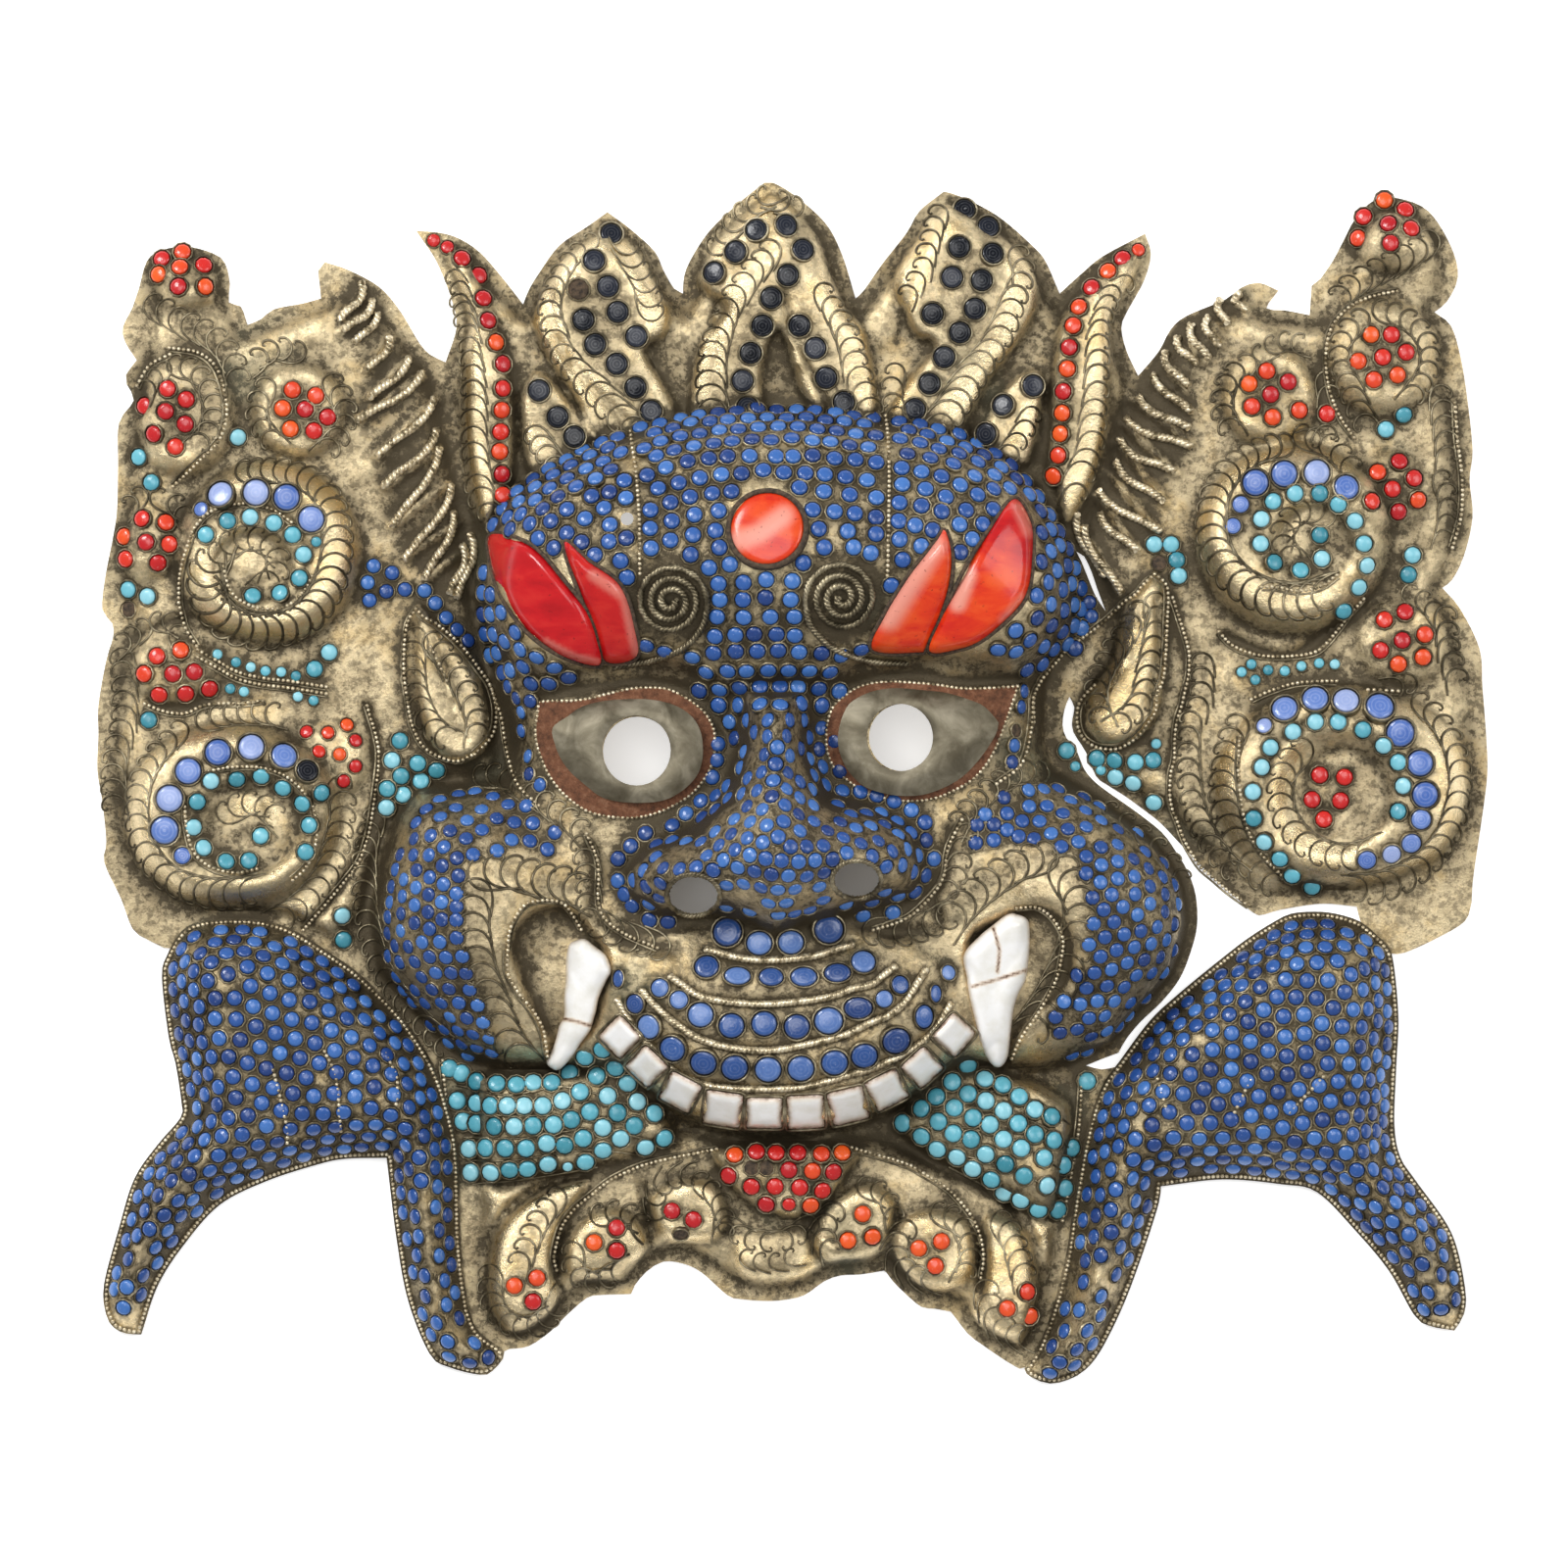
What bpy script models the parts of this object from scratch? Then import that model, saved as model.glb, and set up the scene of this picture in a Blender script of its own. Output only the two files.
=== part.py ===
"""Kirtimukha mask of hammered white metal, set with stones, coral and shell, lying face up.

X points to the viewer's right, Y to the crown and Z out of the face. The floor is z = 0 and the origin is
under the middle of the mask. Plan outlines are traced in the photograph's pixels (x right, y down), and
every one of them passes through plan() before it becomes metres.
"""
import math

import bmesh
import bpy
import numpy as np
from mathutils import Matrix, Vector
from mathutils.bvhtree import BVHTree
from mathutils.geometry import delaunay_2d_cdt

# Driving dimensions, in metres.
MASK_WIDTH = 0.396
SHEET_THICKNESS = 0.0010
LAP_GAP = 0.0006
SEAT_GAP = 0.0003
FOREHEAD_HEIGHT = (0.026, 0.015)     # the steep rim, and the broad dome on top of it
FACE_HEIGHT = (0.014, 0.010)
NOSE_HEIGHT = (0.028, 0.024)
MUZZLE_HEIGHT = (0.018, 0.013)
COLLAR_HEIGHT = (0.008, 0.004)
ARM_HEIGHT = 0.0150
STEEPEST_SEAT = 0.36                  # slope beyond which a piece no longer follows the sheet under it
EYE_PLATE_THICKNESS = 0.0014
BROW_CORAL_THICKNESS = 0.0040
FANG_THICKNESS = 0.0050
TOOTH_THICKNESS = 0.0048
SPIRAL_WIRE = 0.0026
SPIRAL_PITCH = 0.0032
CABOCHON_HEIGHT = 0.0026
THIRD_EYE_HEIGHT = 0.0034
LOCK_HEIGHT = 0.0018

# The photograph's frame: how many pixels MASK_WIDTH spans, and where the middle of the mask lies.
WIDTH_IN_PIXELS = 1417.0
PIXEL = MASK_WIDTH / WIDTH_IN_PIXELS
MIDDLE = (808.5, 798.7)

# Meshing.
LATTICE = 11.0            # pixels between the points of the flat sheet before it is raised
EDGE_STEP = 8.0           # pixels between the points along an outline
MASK_KEEP = 0.092         # share of the sheet's triangles that Decimate keeps
ARM_KEEP = 0.165
ROUND_SIDES = 8
THIRD_EYE_SIDES = 16

# Outer edge of the mask sheet. Each run is a smooth curve, and the runs meet at corners.
MASK_EDGE = [
    # left knob and shoulder
    [(140, 368), (128, 349), (126, 334), (135, 316), (142, 296), (154, 262), (187, 252), (218, 259),
     (230, 269), (235, 290), (234, 309), (246, 313), (253, 332)],
    # left mane and its spike
    [(253, 332), (267, 326), (280, 316), (310, 310), (328, 305)],
    [(328, 305), (325, 277)],
    [(325, 277), (332, 268)],
    [(332, 268), (356, 276), (387, 293), (408, 317), (428, 350), (439, 362), (455, 370)],
    # left flame
    [(455, 370), (466, 335), (462, 309), (446, 268), (425, 236)],
    [(425, 236), (449, 238), (469, 244), (490, 258), (512, 283), (534, 311)],
    # three crown leaves
    [(534, 311), (540, 296), (551, 278), (571, 251), (599, 232), (620, 217)],
    [(620, 217), (643, 234), (668, 257), (677, 276), (688, 295), (697, 300)],
    [(697, 300), (698, 283), (705, 265), (725, 235), (756, 206), (780, 187)],
    [(780, 187), (789, 187), (811, 200), (842, 228), (859, 260), (873, 305)],
    [(873, 305), (882, 296), (900, 270), (925, 238), (938, 216), (963, 196)],
    [(963, 196), (980, 201), (1018, 221), (1054, 252), (1067, 268), (1081, 300)],
    # right flame
    [(1081, 300), (1103, 280), (1125, 262), (1168, 239)],
    [(1168, 239), (1174, 260), (1167, 287), (1149, 320), (1144, 335), (1149, 358), (1161, 384)],
    # right mane and its spike
    [(1161, 384), (1182, 359), (1194, 337), (1210, 323), (1250, 306), (1266, 294), (1284, 289),
     (1304, 297)],
    [(1304, 297), (1292, 315), (1310, 317), (1336, 322)],
    [(1336, 322), (1338, 292)],
    [(1338, 292), (1347, 285)],
    # right knob
    [(1347, 285), (1360, 266), (1371, 245), (1383, 223), (1403, 204), (1427, 203), (1457, 216),
     (1480, 252), (1487, 283), (1476, 308), (1463, 319)],
    # right edge of the side panel
    [(1463, 319), (1480, 333), (1490, 366), (1497, 410), (1502, 460), (1499, 490), (1502, 528),
     (1493, 568), (1481, 592), (1471, 600)],
    [(1471, 600), (1489, 621), (1509, 662), (1512, 700), (1516, 752), (1517, 790), (1512, 832),
     (1503, 893), (1501, 921)],
    # tongue under the right arm's shoulder, and the panel's lower lip
    [(1501, 921), (1494, 940), (1466, 957), (1433, 972), (1420, 973)],
    [(1420, 973), (1404, 968), (1392, 950), (1386, 934), (1384, 925)],
    [(1384, 925), (1350, 922), (1318, 926), (1299, 930), (1284, 934), (1273, 927)],
    # torn gap, up its right side and back down along the cheek
    [(1273, 927), (1253, 909), (1233, 891), (1203, 860), (1184, 840), (1165, 825), (1147, 812),
     (1128, 800), (1118, 792), (1108, 768), (1095, 747), (1094, 734), (1096, 722), (1091, 711)],
    [(1091, 711), (1086, 724), (1084, 740), (1088, 753), (1098, 765), (1105, 783), (1114, 795),
     (1126, 805), (1143, 817), (1160, 829), (1185, 849), (1199, 868), (1212, 890), (1220, 915),
     (1221, 945), (1214, 973), (1203, 999), (1185, 1022), (1163, 1043), (1149, 1060), (1141, 1074)],
    [(1141, 1074), (1125, 1080), (1108, 1087)],
    # hidden edge under the right arm
    [(1108, 1087), (1124, 1091), (1140, 1088), (1152, 1086)],
    [(1152, 1086), (1150, 1100), (1141, 1116), (1133, 1138), (1126, 1162), (1117, 1205), (1109, 1257),
     (1098, 1311), (1081, 1366), (1070, 1388), (1040, 1396)],
    # lower edge of the chin apron
    [(1040, 1396), (1026, 1388), (1001, 1371), (987, 1360), (970, 1338)],
    [(970, 1338), (954, 1335), (940, 1333), (924, 1320), (911, 1307), (903, 1296)],
    [(903, 1296), (878, 1300), (858, 1301), (841, 1307), (821, 1321), (800, 1326), (780, 1327),
     (755, 1325), (742, 1321), (716, 1298), (697, 1289), (677, 1287), (660, 1297), (648, 1311),
     (644, 1320)],
    [(644, 1320), (613, 1321), (599, 1324), (578, 1342), (562, 1358), (540, 1373), (520, 1376)],
    # hidden edge under the left arm
    [(520, 1376), (500, 1384), (485, 1376), (474, 1360), (464, 1338), (458, 1310), (455, 1275),
     (453, 1212), (446, 1158), (434, 1113), (414, 1073), (389, 1043), (356, 1010), (322, 983),
     (284, 961), (262, 956), (208, 960), (190, 968), (168, 967)],
    # left edge of the side panel
    [(168, 967), (150, 958), (136, 948), (124, 917), (107, 880), (109, 859), (105, 818), (100, 786),
     (101, 750), (101, 720), (109, 674), (116, 650), (115, 636), (105, 622), (108, 589), (116, 548),
     (120, 520), (121, 476), (122, 432), (137, 409), (130, 393), (129, 383), (140, 368)],
]

# Tear between the forehead and the right mane, above the gap.
UPPER_TEAR = [[(1098, 563), (1106, 568), (1114, 585), (1119, 600), (1128, 624)],
              [(1128, 624), (1118, 609), (1110, 590), (1103, 573), (1098, 563)]]

# Holes through the sheet: centre, half width and half height.
EYE_HOLE_LEFT = ((652, 767), 35.0, 35.0)
EYE_HOLE_RIGHT = ((920, 753), 34.0, 34.0)
NOSTRIL_LEFT = ((709, 912), 25.0, 19.5)
NOSTRIL_RIGHT = ((873, 896), 23.0, 17.5)
HOLE_SIDES = 20

LEFT_ARM_EDGE = [
    [(145, 1361), (130, 1360), (117, 1354), (109, 1340), (107, 1310), (122, 1253), (138, 1202),
     (162, 1167), (185, 1140), (186, 1125), (180, 1085), (173, 1058), (166, 997), (171, 975),
     (186, 950), (205, 940), (234, 937), (263, 938), (289, 944), (311, 955), (340, 974), (369, 995),
     (410, 1036), (443, 1087), (459, 1132), (468, 1177), (471, 1272), (480, 1338), (492, 1361),
     (515, 1379), (503, 1398), (490, 1402), (458, 1394), (439, 1381), (417, 1327), (405, 1263),
     (395, 1181)],
    [(395, 1181), (353, 1182), (324, 1188), (272, 1205), (225, 1229), (189, 1269), (162, 1311),
     (145, 1361)],
]
RIGHT_ARM_EDGE = [
    [(1184, 1210), (1182, 1227), (1165, 1280), (1145, 1333), (1123, 1377), (1107, 1397), (1090, 1407),
     (1071, 1411), (1053, 1405), (1045, 1396), (1056, 1380), (1074, 1333), (1088, 1277),
     (1095, 1227), (1108, 1157), (1123, 1110), (1143, 1081), (1173, 1041), (1203, 1013),
     (1247, 977), (1273, 957), (1300, 940), (1317, 932), (1340, 930), (1362, 932), (1387, 940),
     (1405, 955), (1419, 972), (1426, 1035), (1424, 1087), (1422, 1147), (1428, 1180), (1443, 1203),
     (1480, 1257), (1494, 1313), (1493, 1340), (1483, 1357)],
    [(1483, 1357), (1457, 1352), (1442, 1341), (1417, 1297), (1383, 1256), (1343, 1216),
     (1307, 1208), (1247, 1203), (1184, 1210)],
]

# Large masses of the face, blended where they meet: outline, height and width of the rounded shoulder.
FOREHEAD = [(484, 610), (487, 575), (497, 538), (517, 503), (552, 479), (600, 456), (650, 438),
            (700, 425), (760, 418), (820, 417), (880, 425), (930, 430), (985, 443), (1030, 470),
            (1058, 497), (1080, 532), (1094, 565), (1098, 600), (1096, 640), (1070, 680), (1035, 702),
            (985, 694), (930, 690), (885, 694), (850, 716), (735, 722), (700, 702), (650, 692),
            (600, 702), (555, 708), (522, 695), (497, 655)]
FACE = [(497, 640), (505, 700), (520, 760), (512, 790), (470, 798), (425, 802), (403, 830), (386, 880),
        (378, 935), (386, 990), (422, 1036), (470, 1078), (520, 1094), (590, 1094), (640, 1110),
        (700, 1148), (760, 1165), (820, 1165), (880, 1148), (940, 1112), (990, 1094), (1060, 1094),
        (1104, 1082), (1140, 1066), (1180, 1020), (1204, 990), (1215, 940), (1206, 890), (1180, 858),
        (1140, 826), (1105, 802), (1074, 785), (1066, 760), (1068, 700), (1085, 650), (1085, 600),
        (800, 500)]
NOSE = [(744, 690), (740, 760), (728, 802), (700, 832), (655, 848), (628, 880), (630, 920),
        (668, 945), (740, 945), (790, 965), (850, 948), (905, 935), (947, 920), (955, 880), (946, 838),
        (900, 812), (856, 800), (843, 765), (836, 690)]
MUZZLE = [(640, 950), (614, 1010), (618, 1062), (646, 1102), (688, 1134), (735, 1152), (785, 1156),
          (830, 1154), (872, 1147), (916, 1130), (952, 1106), (988, 1068), (993, 1040), (975, 985),
          (930, 952), (870, 935), (700, 935)]
COLLAR_LEFT = [(482, 1092), (560, 1092), (640, 1075), (690, 1140), (692, 1165), (640, 1188),
               (590, 1198), (530, 1207), (490, 1206)]
COLLAR_RIGHT = [(962, 1085), (1000, 1080), (1060, 1100), (1092, 1122), (1100, 1150), (1088, 1200),
                (1078, 1240), (1056, 1240), (1000, 1210), (950, 1182), (910, 1150), (930, 1110)]
CROWN = [(462, 400), (474, 340), (500, 290), (540, 320), (568, 268), (620, 236), (672, 290),
         (700, 320), (735, 245), (785, 206), (835, 250), (872, 325), (930, 250), (970, 214),
         (1045, 262), (1080, 318), (1130, 280), (1140, 340), (1150, 400), (1130, 500), (1095, 560),
         (484, 570), (470, 480)]
APRON = [(488, 1206), (700, 1150), (860, 1150), (1000, 1200), (1080, 1245), (1074, 1310), (1050, 1375),
         (1010, 1365), (975, 1325), (930, 1310), (900, 1280), (820, 1308), (755, 1308), (700, 1276),
         (650, 1290), (600, 1308), (560, 1345), (515, 1362), (495, 1330)]
PANEL_LEFT = [(150, 330), (170, 275), (225, 280), (246, 340), (300, 325), (350, 300), (390, 320),
              (440, 385), (460, 480), (484, 600), (500, 700), (510, 790), (430, 800), (392, 850),
              (370, 940), (340, 968), (260, 930), (180, 925), (135, 880), (117, 780), (120, 700),
              (135, 640), (125, 580), (135, 480), (148, 400)]
PANEL_RIGHT = [(1468, 310), (1470, 250), (1420, 215), (1380, 260), (1350, 330), (1290, 325),
               (1250, 318), (1200, 350), (1160, 410), (1120, 500), (1110, 560), (1140, 640),
               (1110, 740), (1140, 800), (1190, 830), (1240, 880), (1290, 912), (1400, 908),
               (1475, 885), (1500, 800), (1496, 700), (1470, 610), (1484, 540), (1482, 440),
               (1470, 350)]

# Fields raised by hammering from behind: outline, height in metres, shoulder in pixels.
LEAF_ONE = [(541, 310), (552, 272), (585, 242), (618, 226), (648, 246), (672, 280), (685, 318),
            (680, 345), (662, 360), (682, 395), (697, 425), (700, 450), (640, 470), (605, 455),
            (585, 410), (560, 370), (545, 340)]
LEAF_ONE_SHOOT = [(532, 395), (550, 378), (572, 395), (600, 430), (612, 452), (560, 484), (538, 484),
                  (530, 430)]
LEAF_TWO = [(708, 285), (722, 250), (752, 218), (783, 198), (815, 213), (842, 245), (853, 285),
            (880, 330), (892, 375), (893, 428), (840, 432), (814, 400), (800, 350), (790, 346),
            (780, 385), (778, 430), (706, 436), (704, 390), (714, 350), (738, 318), (726, 306)]
LEAF_THREE = [(915, 260), (935, 226), (965, 205), (1000, 216), (1040, 250), (1058, 280), (1060, 310),
              (1045, 345), (1015, 385), (990, 430), (985, 448), (915, 436), (905, 420), (925, 388),
              (950, 355), (932, 345), (918, 315), (912, 290)]
LEAF_THREE_SHOOT = [(1000, 446), (1014, 405), (1045, 378), (1064, 384), (1062, 430), (1048, 478),
                    (1020, 474)]
FLAME_LEFT = [(436, 244), (468, 255), (492, 285), (508, 330), (522, 380), (527, 430), (526, 490),
              (510, 525), (495, 545), (482, 500), (475, 450), (474, 400), (471, 350), (463, 300),
              (452, 272)]
FLAME_RIGHT = [(1165, 246), (1168, 268), (1152, 303), (1137, 332), (1133, 380), (1131, 430),
               (1120, 480), (1103, 520), (1084, 540), (1074, 500), (1064, 490), (1068, 440),
               (1070, 390), (1076, 340), (1092, 302), (1128, 268)]
EAR_LEFT = [(426, 616), (450, 636), (478, 664), (500, 700), (507, 738), (497, 768), (470, 780),
            (444, 768), (424, 735), (414, 690), (414, 650)]
EAR_RIGHT = [(1178, 584), (1190, 604), (1191, 650), (1187, 705), (1178, 736), (1160, 756),
             (1130, 765), (1108, 756), (1100, 736), (1101, 716), (1116, 694), (1132, 672),
             (1138, 645), (1146, 616), (1162, 597)]
SCROLLS = [
    [(497, 1300), (510, 1252), (545, 1216), (580, 1202), (604, 1206), (576, 1250), (568, 1290),
     (574, 1320), (568, 1345), (545, 1360), (515, 1360), (498, 1335)],
    [(585, 1250), (620, 1230), (650, 1240), (664, 1270), (655, 1296), (630, 1310), (592, 1308),
     (574, 1290)],
    [(660, 1225), (690, 1200), (730, 1205), (745, 1240), (735, 1262), (705, 1270), (675, 1262)],
    [(828, 1270), (835, 1235), (860, 1212), (890, 1205), (915, 1225), (912, 1265), (890, 1288),
     (850, 1288)],
    [(915, 1245), (945, 1230), (985, 1240), (998, 1275), (990, 1306), (955, 1320), (920, 1302),
     (905, 1275)],
    [(1000, 1240), (1030, 1240), (1052, 1270), (1058, 1320), (1052, 1356), (1036, 1374),
     (1005, 1362), (988, 1340), (1002, 1300)],
]
CHIN_BOSS = [(735, 1168), (870, 1168), (864, 1200), (846, 1226), (815, 1243), (790, 1240),
             (760, 1225), (738, 1200)]
CHIN_TIP = [(745, 1262), (780, 1252), (850, 1256), (856, 1290), (800, 1314), (757, 1305)]
FANG_HOLLOW_LEFT = [(521, 965), (535, 932), (565, 920), (592, 930), (624, 972), (618, 1030),
                    (592, 1072), (562, 1094), (556, 1062), (536, 1015)]
FANG_HOLLOW_RIGHT = [(982, 960), (1020, 930), (1060, 920), (1090, 940), (1097, 975), (1086, 1010),
                     (1052, 1042), (1030, 1085), (1012, 1088), (996, 1040)]
RAISED = [
    (LEAF_ONE, 0.0045, 11), (LEAF_ONE_SHOOT, 0.0040, 10), (LEAF_TWO, 0.0045, 11),
    (LEAF_THREE, 0.0045, 11), (LEAF_THREE_SHOOT, 0.0040, 10), (FLAME_LEFT, 0.0050, 12),
    (FLAME_RIGHT, 0.0050, 12), (EAR_LEFT, 0.0060, 13), (EAR_RIGHT, 0.0060, 13),
    (CHIN_BOSS, 0.0060, 12), (CHIN_TIP, 0.0025, 14), (FANG_HOLLOW_LEFT, -0.0060, 13),
    (FANG_HOLLOW_RIGHT, -0.0060, 13),
] + [(scroll, 0.0048, 14) for scroll in SCROLLS]

# Round fields: centre, half width, half height, height in metres, shoulder as a share of the radius.
DOMES = [
    ((275, 565), 98, 97, 0.0085, 0.30), ((262, 580), 44, 42, -0.0035, 0.45),
    ((237, 832), 114, 97, 0.0085, 0.28), ((262, 842), 58, 56, -0.0035, 0.40),
    ((190, 425), 55, 64, 0.0040, 0.35), ((306, 420), 51, 51, 0.0040, 0.35),
    ((150, 552), 40, 42, 0.0030, 0.50), ((180, 685), 48, 36, 0.0030, 0.50),
    ((340, 775), 40, 42, 0.0030, 0.50), ((192, 287), 40, 32, 0.0045, 0.60),
    ((1318, 550), 102, 100, 0.0085, 0.30), ((1335, 555), 46, 44, -0.0035, 0.45),
    ((1368, 802), 134, 106, 0.0085, 0.26), ((1362, 806), 66, 62, -0.0035, 0.40),
    ((1410, 365), 62, 62, 0.0040, 0.35), ((1294, 405), 52, 54, 0.0040, 0.35),
    ((1419, 501), 42, 42, 0.0030, 0.50), ((1430, 655), 50, 48, 0.0030, 0.50),
    ((1420, 245), 46, 36, 0.0045, 0.60),
    ((478, 915), 96, 105, 0.0050, 0.80), ((1118, 905), 92, 105, 0.0050, 0.80),
    ((790, 880), 110, 95, 0.0060, 1.00), ((640, 768), 88, 62, 0.0025, 0.60),
    ((930, 757), 88, 58, 0.0025, 0.60), ((783, 560), 260, 110, 0.0020, 1.00),
]

# Locks of the mane, from the root of each to its tip.
LOCKS_LEFT = [[(372, 285), (352, 325)], [(386, 311), (347, 340)], [(397, 345), (375, 379)],
              [(416, 368), (377, 407)], [(431, 384), (367, 427)], [(446, 407), (385, 466)],
              [(449, 458), (395, 497)], [(457, 494), (400, 538)], [(472, 532), (415, 568)],
              [(472, 563), (431, 594)]]
LOCKS_RIGHT = [[(1262, 298), (1271, 318)], [(1233, 321), (1247, 352)], [(1205, 334), (1228, 370)],
               [(1183, 358), (1208, 400)], [(1168, 386), (1214, 420)], [(1155, 408), (1214, 452)],
               [(1145, 432), (1199, 483)], [(1140, 452), (1189, 513)], [(1130, 482), (1178, 539)],
               [(1118, 506), (1160, 561)], [(1106, 540), (1142, 604)]]
LOCK_HALF_WIDTH = 7.5

# Loose pieces.
EYE_PLATE_LEFT = [(567, 745), (576, 738), (595, 725), (619, 717), (643, 714), (668, 714), (688, 718),
                  (703, 730), (713, 745), (717, 763), (716, 784), (707, 797), (688, 812), (665, 817),
                  (645, 817), (624, 815), (605, 808), (588, 795), (574, 776)]
EYE_PLATE_RIGHT = [(855, 757), (857, 741), (865, 724), (880, 709), (899, 703), (926, 702), (953, 704),
                   (976, 710), (995, 719), (1018, 737), (1013, 751), (1001, 770), (984, 787),
                   (965, 799), (943, 808), (920, 811), (899, 808), (880, 797), (866, 784)]
BROW_LEFT_OUTER = [(503, 547), (545, 560), (580, 598), (600, 625), (611, 655), (613, 680), (575, 670),
                   (540, 645), (515, 610), (503, 575)]
BROW_LEFT_INNER = [(579, 557), (602, 575), (635, 600), (649, 640), (651, 671), (620, 676),
                   (608, 640), (594, 606)]
BROW_RIGHT_INNER = [(962, 545), (969, 575), (964, 610), (944, 660), (934, 667), (889, 664),
                    (901, 630), (926, 590), (954, 555)]
BROW_RIGHT_OUTER = [(1033, 512), (1049, 535), (1051, 560), (1047, 600), (1034, 625), (1000, 654),
                    (975, 664), (947, 666), (958, 635), (985, 580), (1010, 540)]
FANG_LEFT = [(581, 963), (588, 958), (597, 956), (608, 963), (618, 972), (621, 979), (619, 992),
             (615, 1012), (607, 1037), (594, 1063), (582, 1080), (572, 1091), (561, 1087), (560, 1079),
             (564, 1065), (572, 1049), (577, 1028), (579, 1008), (577, 987)]
FANG_RIGHT = [(984, 966), (993, 957), (1022, 938), (1032, 932), (1040, 933), (1047, 942),
              (1049, 961), (1047, 983), (1043, 1004), (1034, 1022), (1031, 1045), (1026, 1082),
              (1018, 1089), (1010, 1082), (1003, 1065), (997, 1045), (993, 1022), (987, 1000)]
# Each tooth: centre, width, height and turn in degrees.
TEETH = [((635, 1056), 23, 23, -45), ((660, 1086), 26, 25, -44), ((694, 1112), 30, 27, -27),
         ((740, 1131), 33, 32, -8), ((780, 1133), 34, 27, 0), ((822, 1133), 35, 30, 2),
         ((865, 1127), 33, 31, 13), ((905, 1110), 31, 28, 27), ((940, 1089), 27, 26, 43),
         ((973, 1053), 28, 27, 48)]
THIRD_EYE = ((783, 543), 36.0)
THIRD_EYE_COLLAR = 4.5
SPIRAL_LEFT = ((684, 617), 26.0)
SPIRAL_RIGHT = ((858, 613), 28.0)
# Each large cabochon: centre and radius.
CABOCHONS = [
    ((228, 506), 13.5), ((264, 504), 14.0), ((295, 509), 13.5), ((320, 531), 13.0),
    ((195, 787), 14.0), ((225, 768), 14.0), ((259, 763), 14.0), ((292, 772), 14.0),
    ((176, 815), 14.0), ((171, 847), 15.0),
    ((1279, 494), 13.5), ((1308, 485), 13.0), ((1341, 484), 13.5), ((1371, 499), 13.0),
    ((1309, 724), 14.0), ((1340, 714), 14.0), ((1371, 716), 14.0), ((1405, 722), 15.0),
    ((1426, 748), 15.0), ((1446, 779), 14.0), ((1451, 811), 14.0),
    ((743, 950), 14.0), ((775, 961), 14.0), ((807, 960), 14.0), ((845, 947), 14.5),
]


def plan(point):
    """Metres from the photograph's pixels."""
    return Vector(((point[0] - MIDDLE[0]) * PIXEL, (MIDDLE[1] - point[1]) * PIXEL))


def smooth_run(points, step):
    """Points of a Catmull-Rom curve through the run, without its last point."""
    knots = [Vector(p) for p in points]
    knots = [2 * knots[0] - knots[1]] + knots + [2 * knots[-1] - knots[-2]]
    result = []
    for a, b, c, d in zip(knots, knots[1:], knots[2:], knots[3:]):
        pieces = max(1, round((c - b).length / step))
        for k in range(pieces):
            t = k / pieces
            result.append(0.5 * (2 * b + (c - a) * t + (2 * a - 5 * b + 4 * c - d) * t * t
                                 + (3 * b - a - 3 * c + d) * t ** 3))
    return result


def smooth_outline(runs, step=EDGE_STEP):
    """A closed outline from runs that meet at corners."""
    return [point for run in runs for point in smooth_run(run, step)]


def ellipse(centre, half_width, half_height, sides=HOLE_SIDES):
    """Points round an ellipse."""
    return [Vector((centre[0] + half_width * math.cos(k * math.tau / sides),
                    centre[1] + half_height * math.sin(k * math.tau / sides))) for k in range(sides)]


def depth_inside(x, y, outline):
    """Distance of each point to the outline, positive inside and negative outside."""
    nearest = np.full(x.shape, np.inf)
    inside = np.zeros(x.shape, bool)
    for (ax, ay), (bx, by) in zip(outline, list(outline[1:]) + [outline[0]]):
        dx = bx - ax
        dy = by - ay
        along = np.clip(((x - ax) * dx + (y - ay) * dy) / (dx * dx + dy * dy), 0, 1)
        nearest = np.minimum(nearest, np.hypot(x - ax - along * dx, y - ay - along * dy))
        if dy:
            inside ^= ((ay > y) != (by > y)) & (x < dx * (y - ay) / dy + ax)
    return np.where(inside, nearest, -nearest)


def pillow(x, y, outline, shoulder):
    """A flat-topped swelling from 0 at the outline to 1, with a round shoulder."""
    rise = np.clip(depth_inside(x, y, outline) / shoulder, 0, 1)
    return np.sin(rise * math.pi / 2)


def swelling(x, y, outline, heights, shoulders):
    """A mass with a steep rim and a broad dome on top of it, in metres."""
    depth = np.clip(depth_inside(x, y, outline), 0, None)
    return sum(height * np.sin(np.clip(depth / shoulder, 0, 1) * math.pi / 2)
               for height, shoulder in zip(heights, shoulders))


def dome(x, y, centre, half_width, half_height, shoulder):
    """A round swelling from 0 at the ellipse to 1."""
    reach = np.hypot((x - centre[0]) / half_width, (y - centre[1]) / half_height)
    return np.sin(np.clip((1 - reach) / shoulder, 0, 1) * math.pi / 2)


def lock(x, y, path, half_width):
    """A ridge along a straight path, 1 on its crest."""
    (ax, ay), (bx, by) = path
    dx = bx - ax
    dy = by - ay
    along = np.clip(((x - ax) * dx + (y - ay) * dy) / (dx * dx + dy * dy), 0, 1)
    away = np.hypot(x - ax - along * dx, y - ay - along * dy)
    return np.cos(np.clip(away / half_width, 0, 1) * math.pi / 2) ** 2


def soft_step(value):
    """0 below 0, 1 above 1, and smooth between."""
    t = np.clip(value, 0, 1)
    return t * t * (3 - 2 * t)


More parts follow.
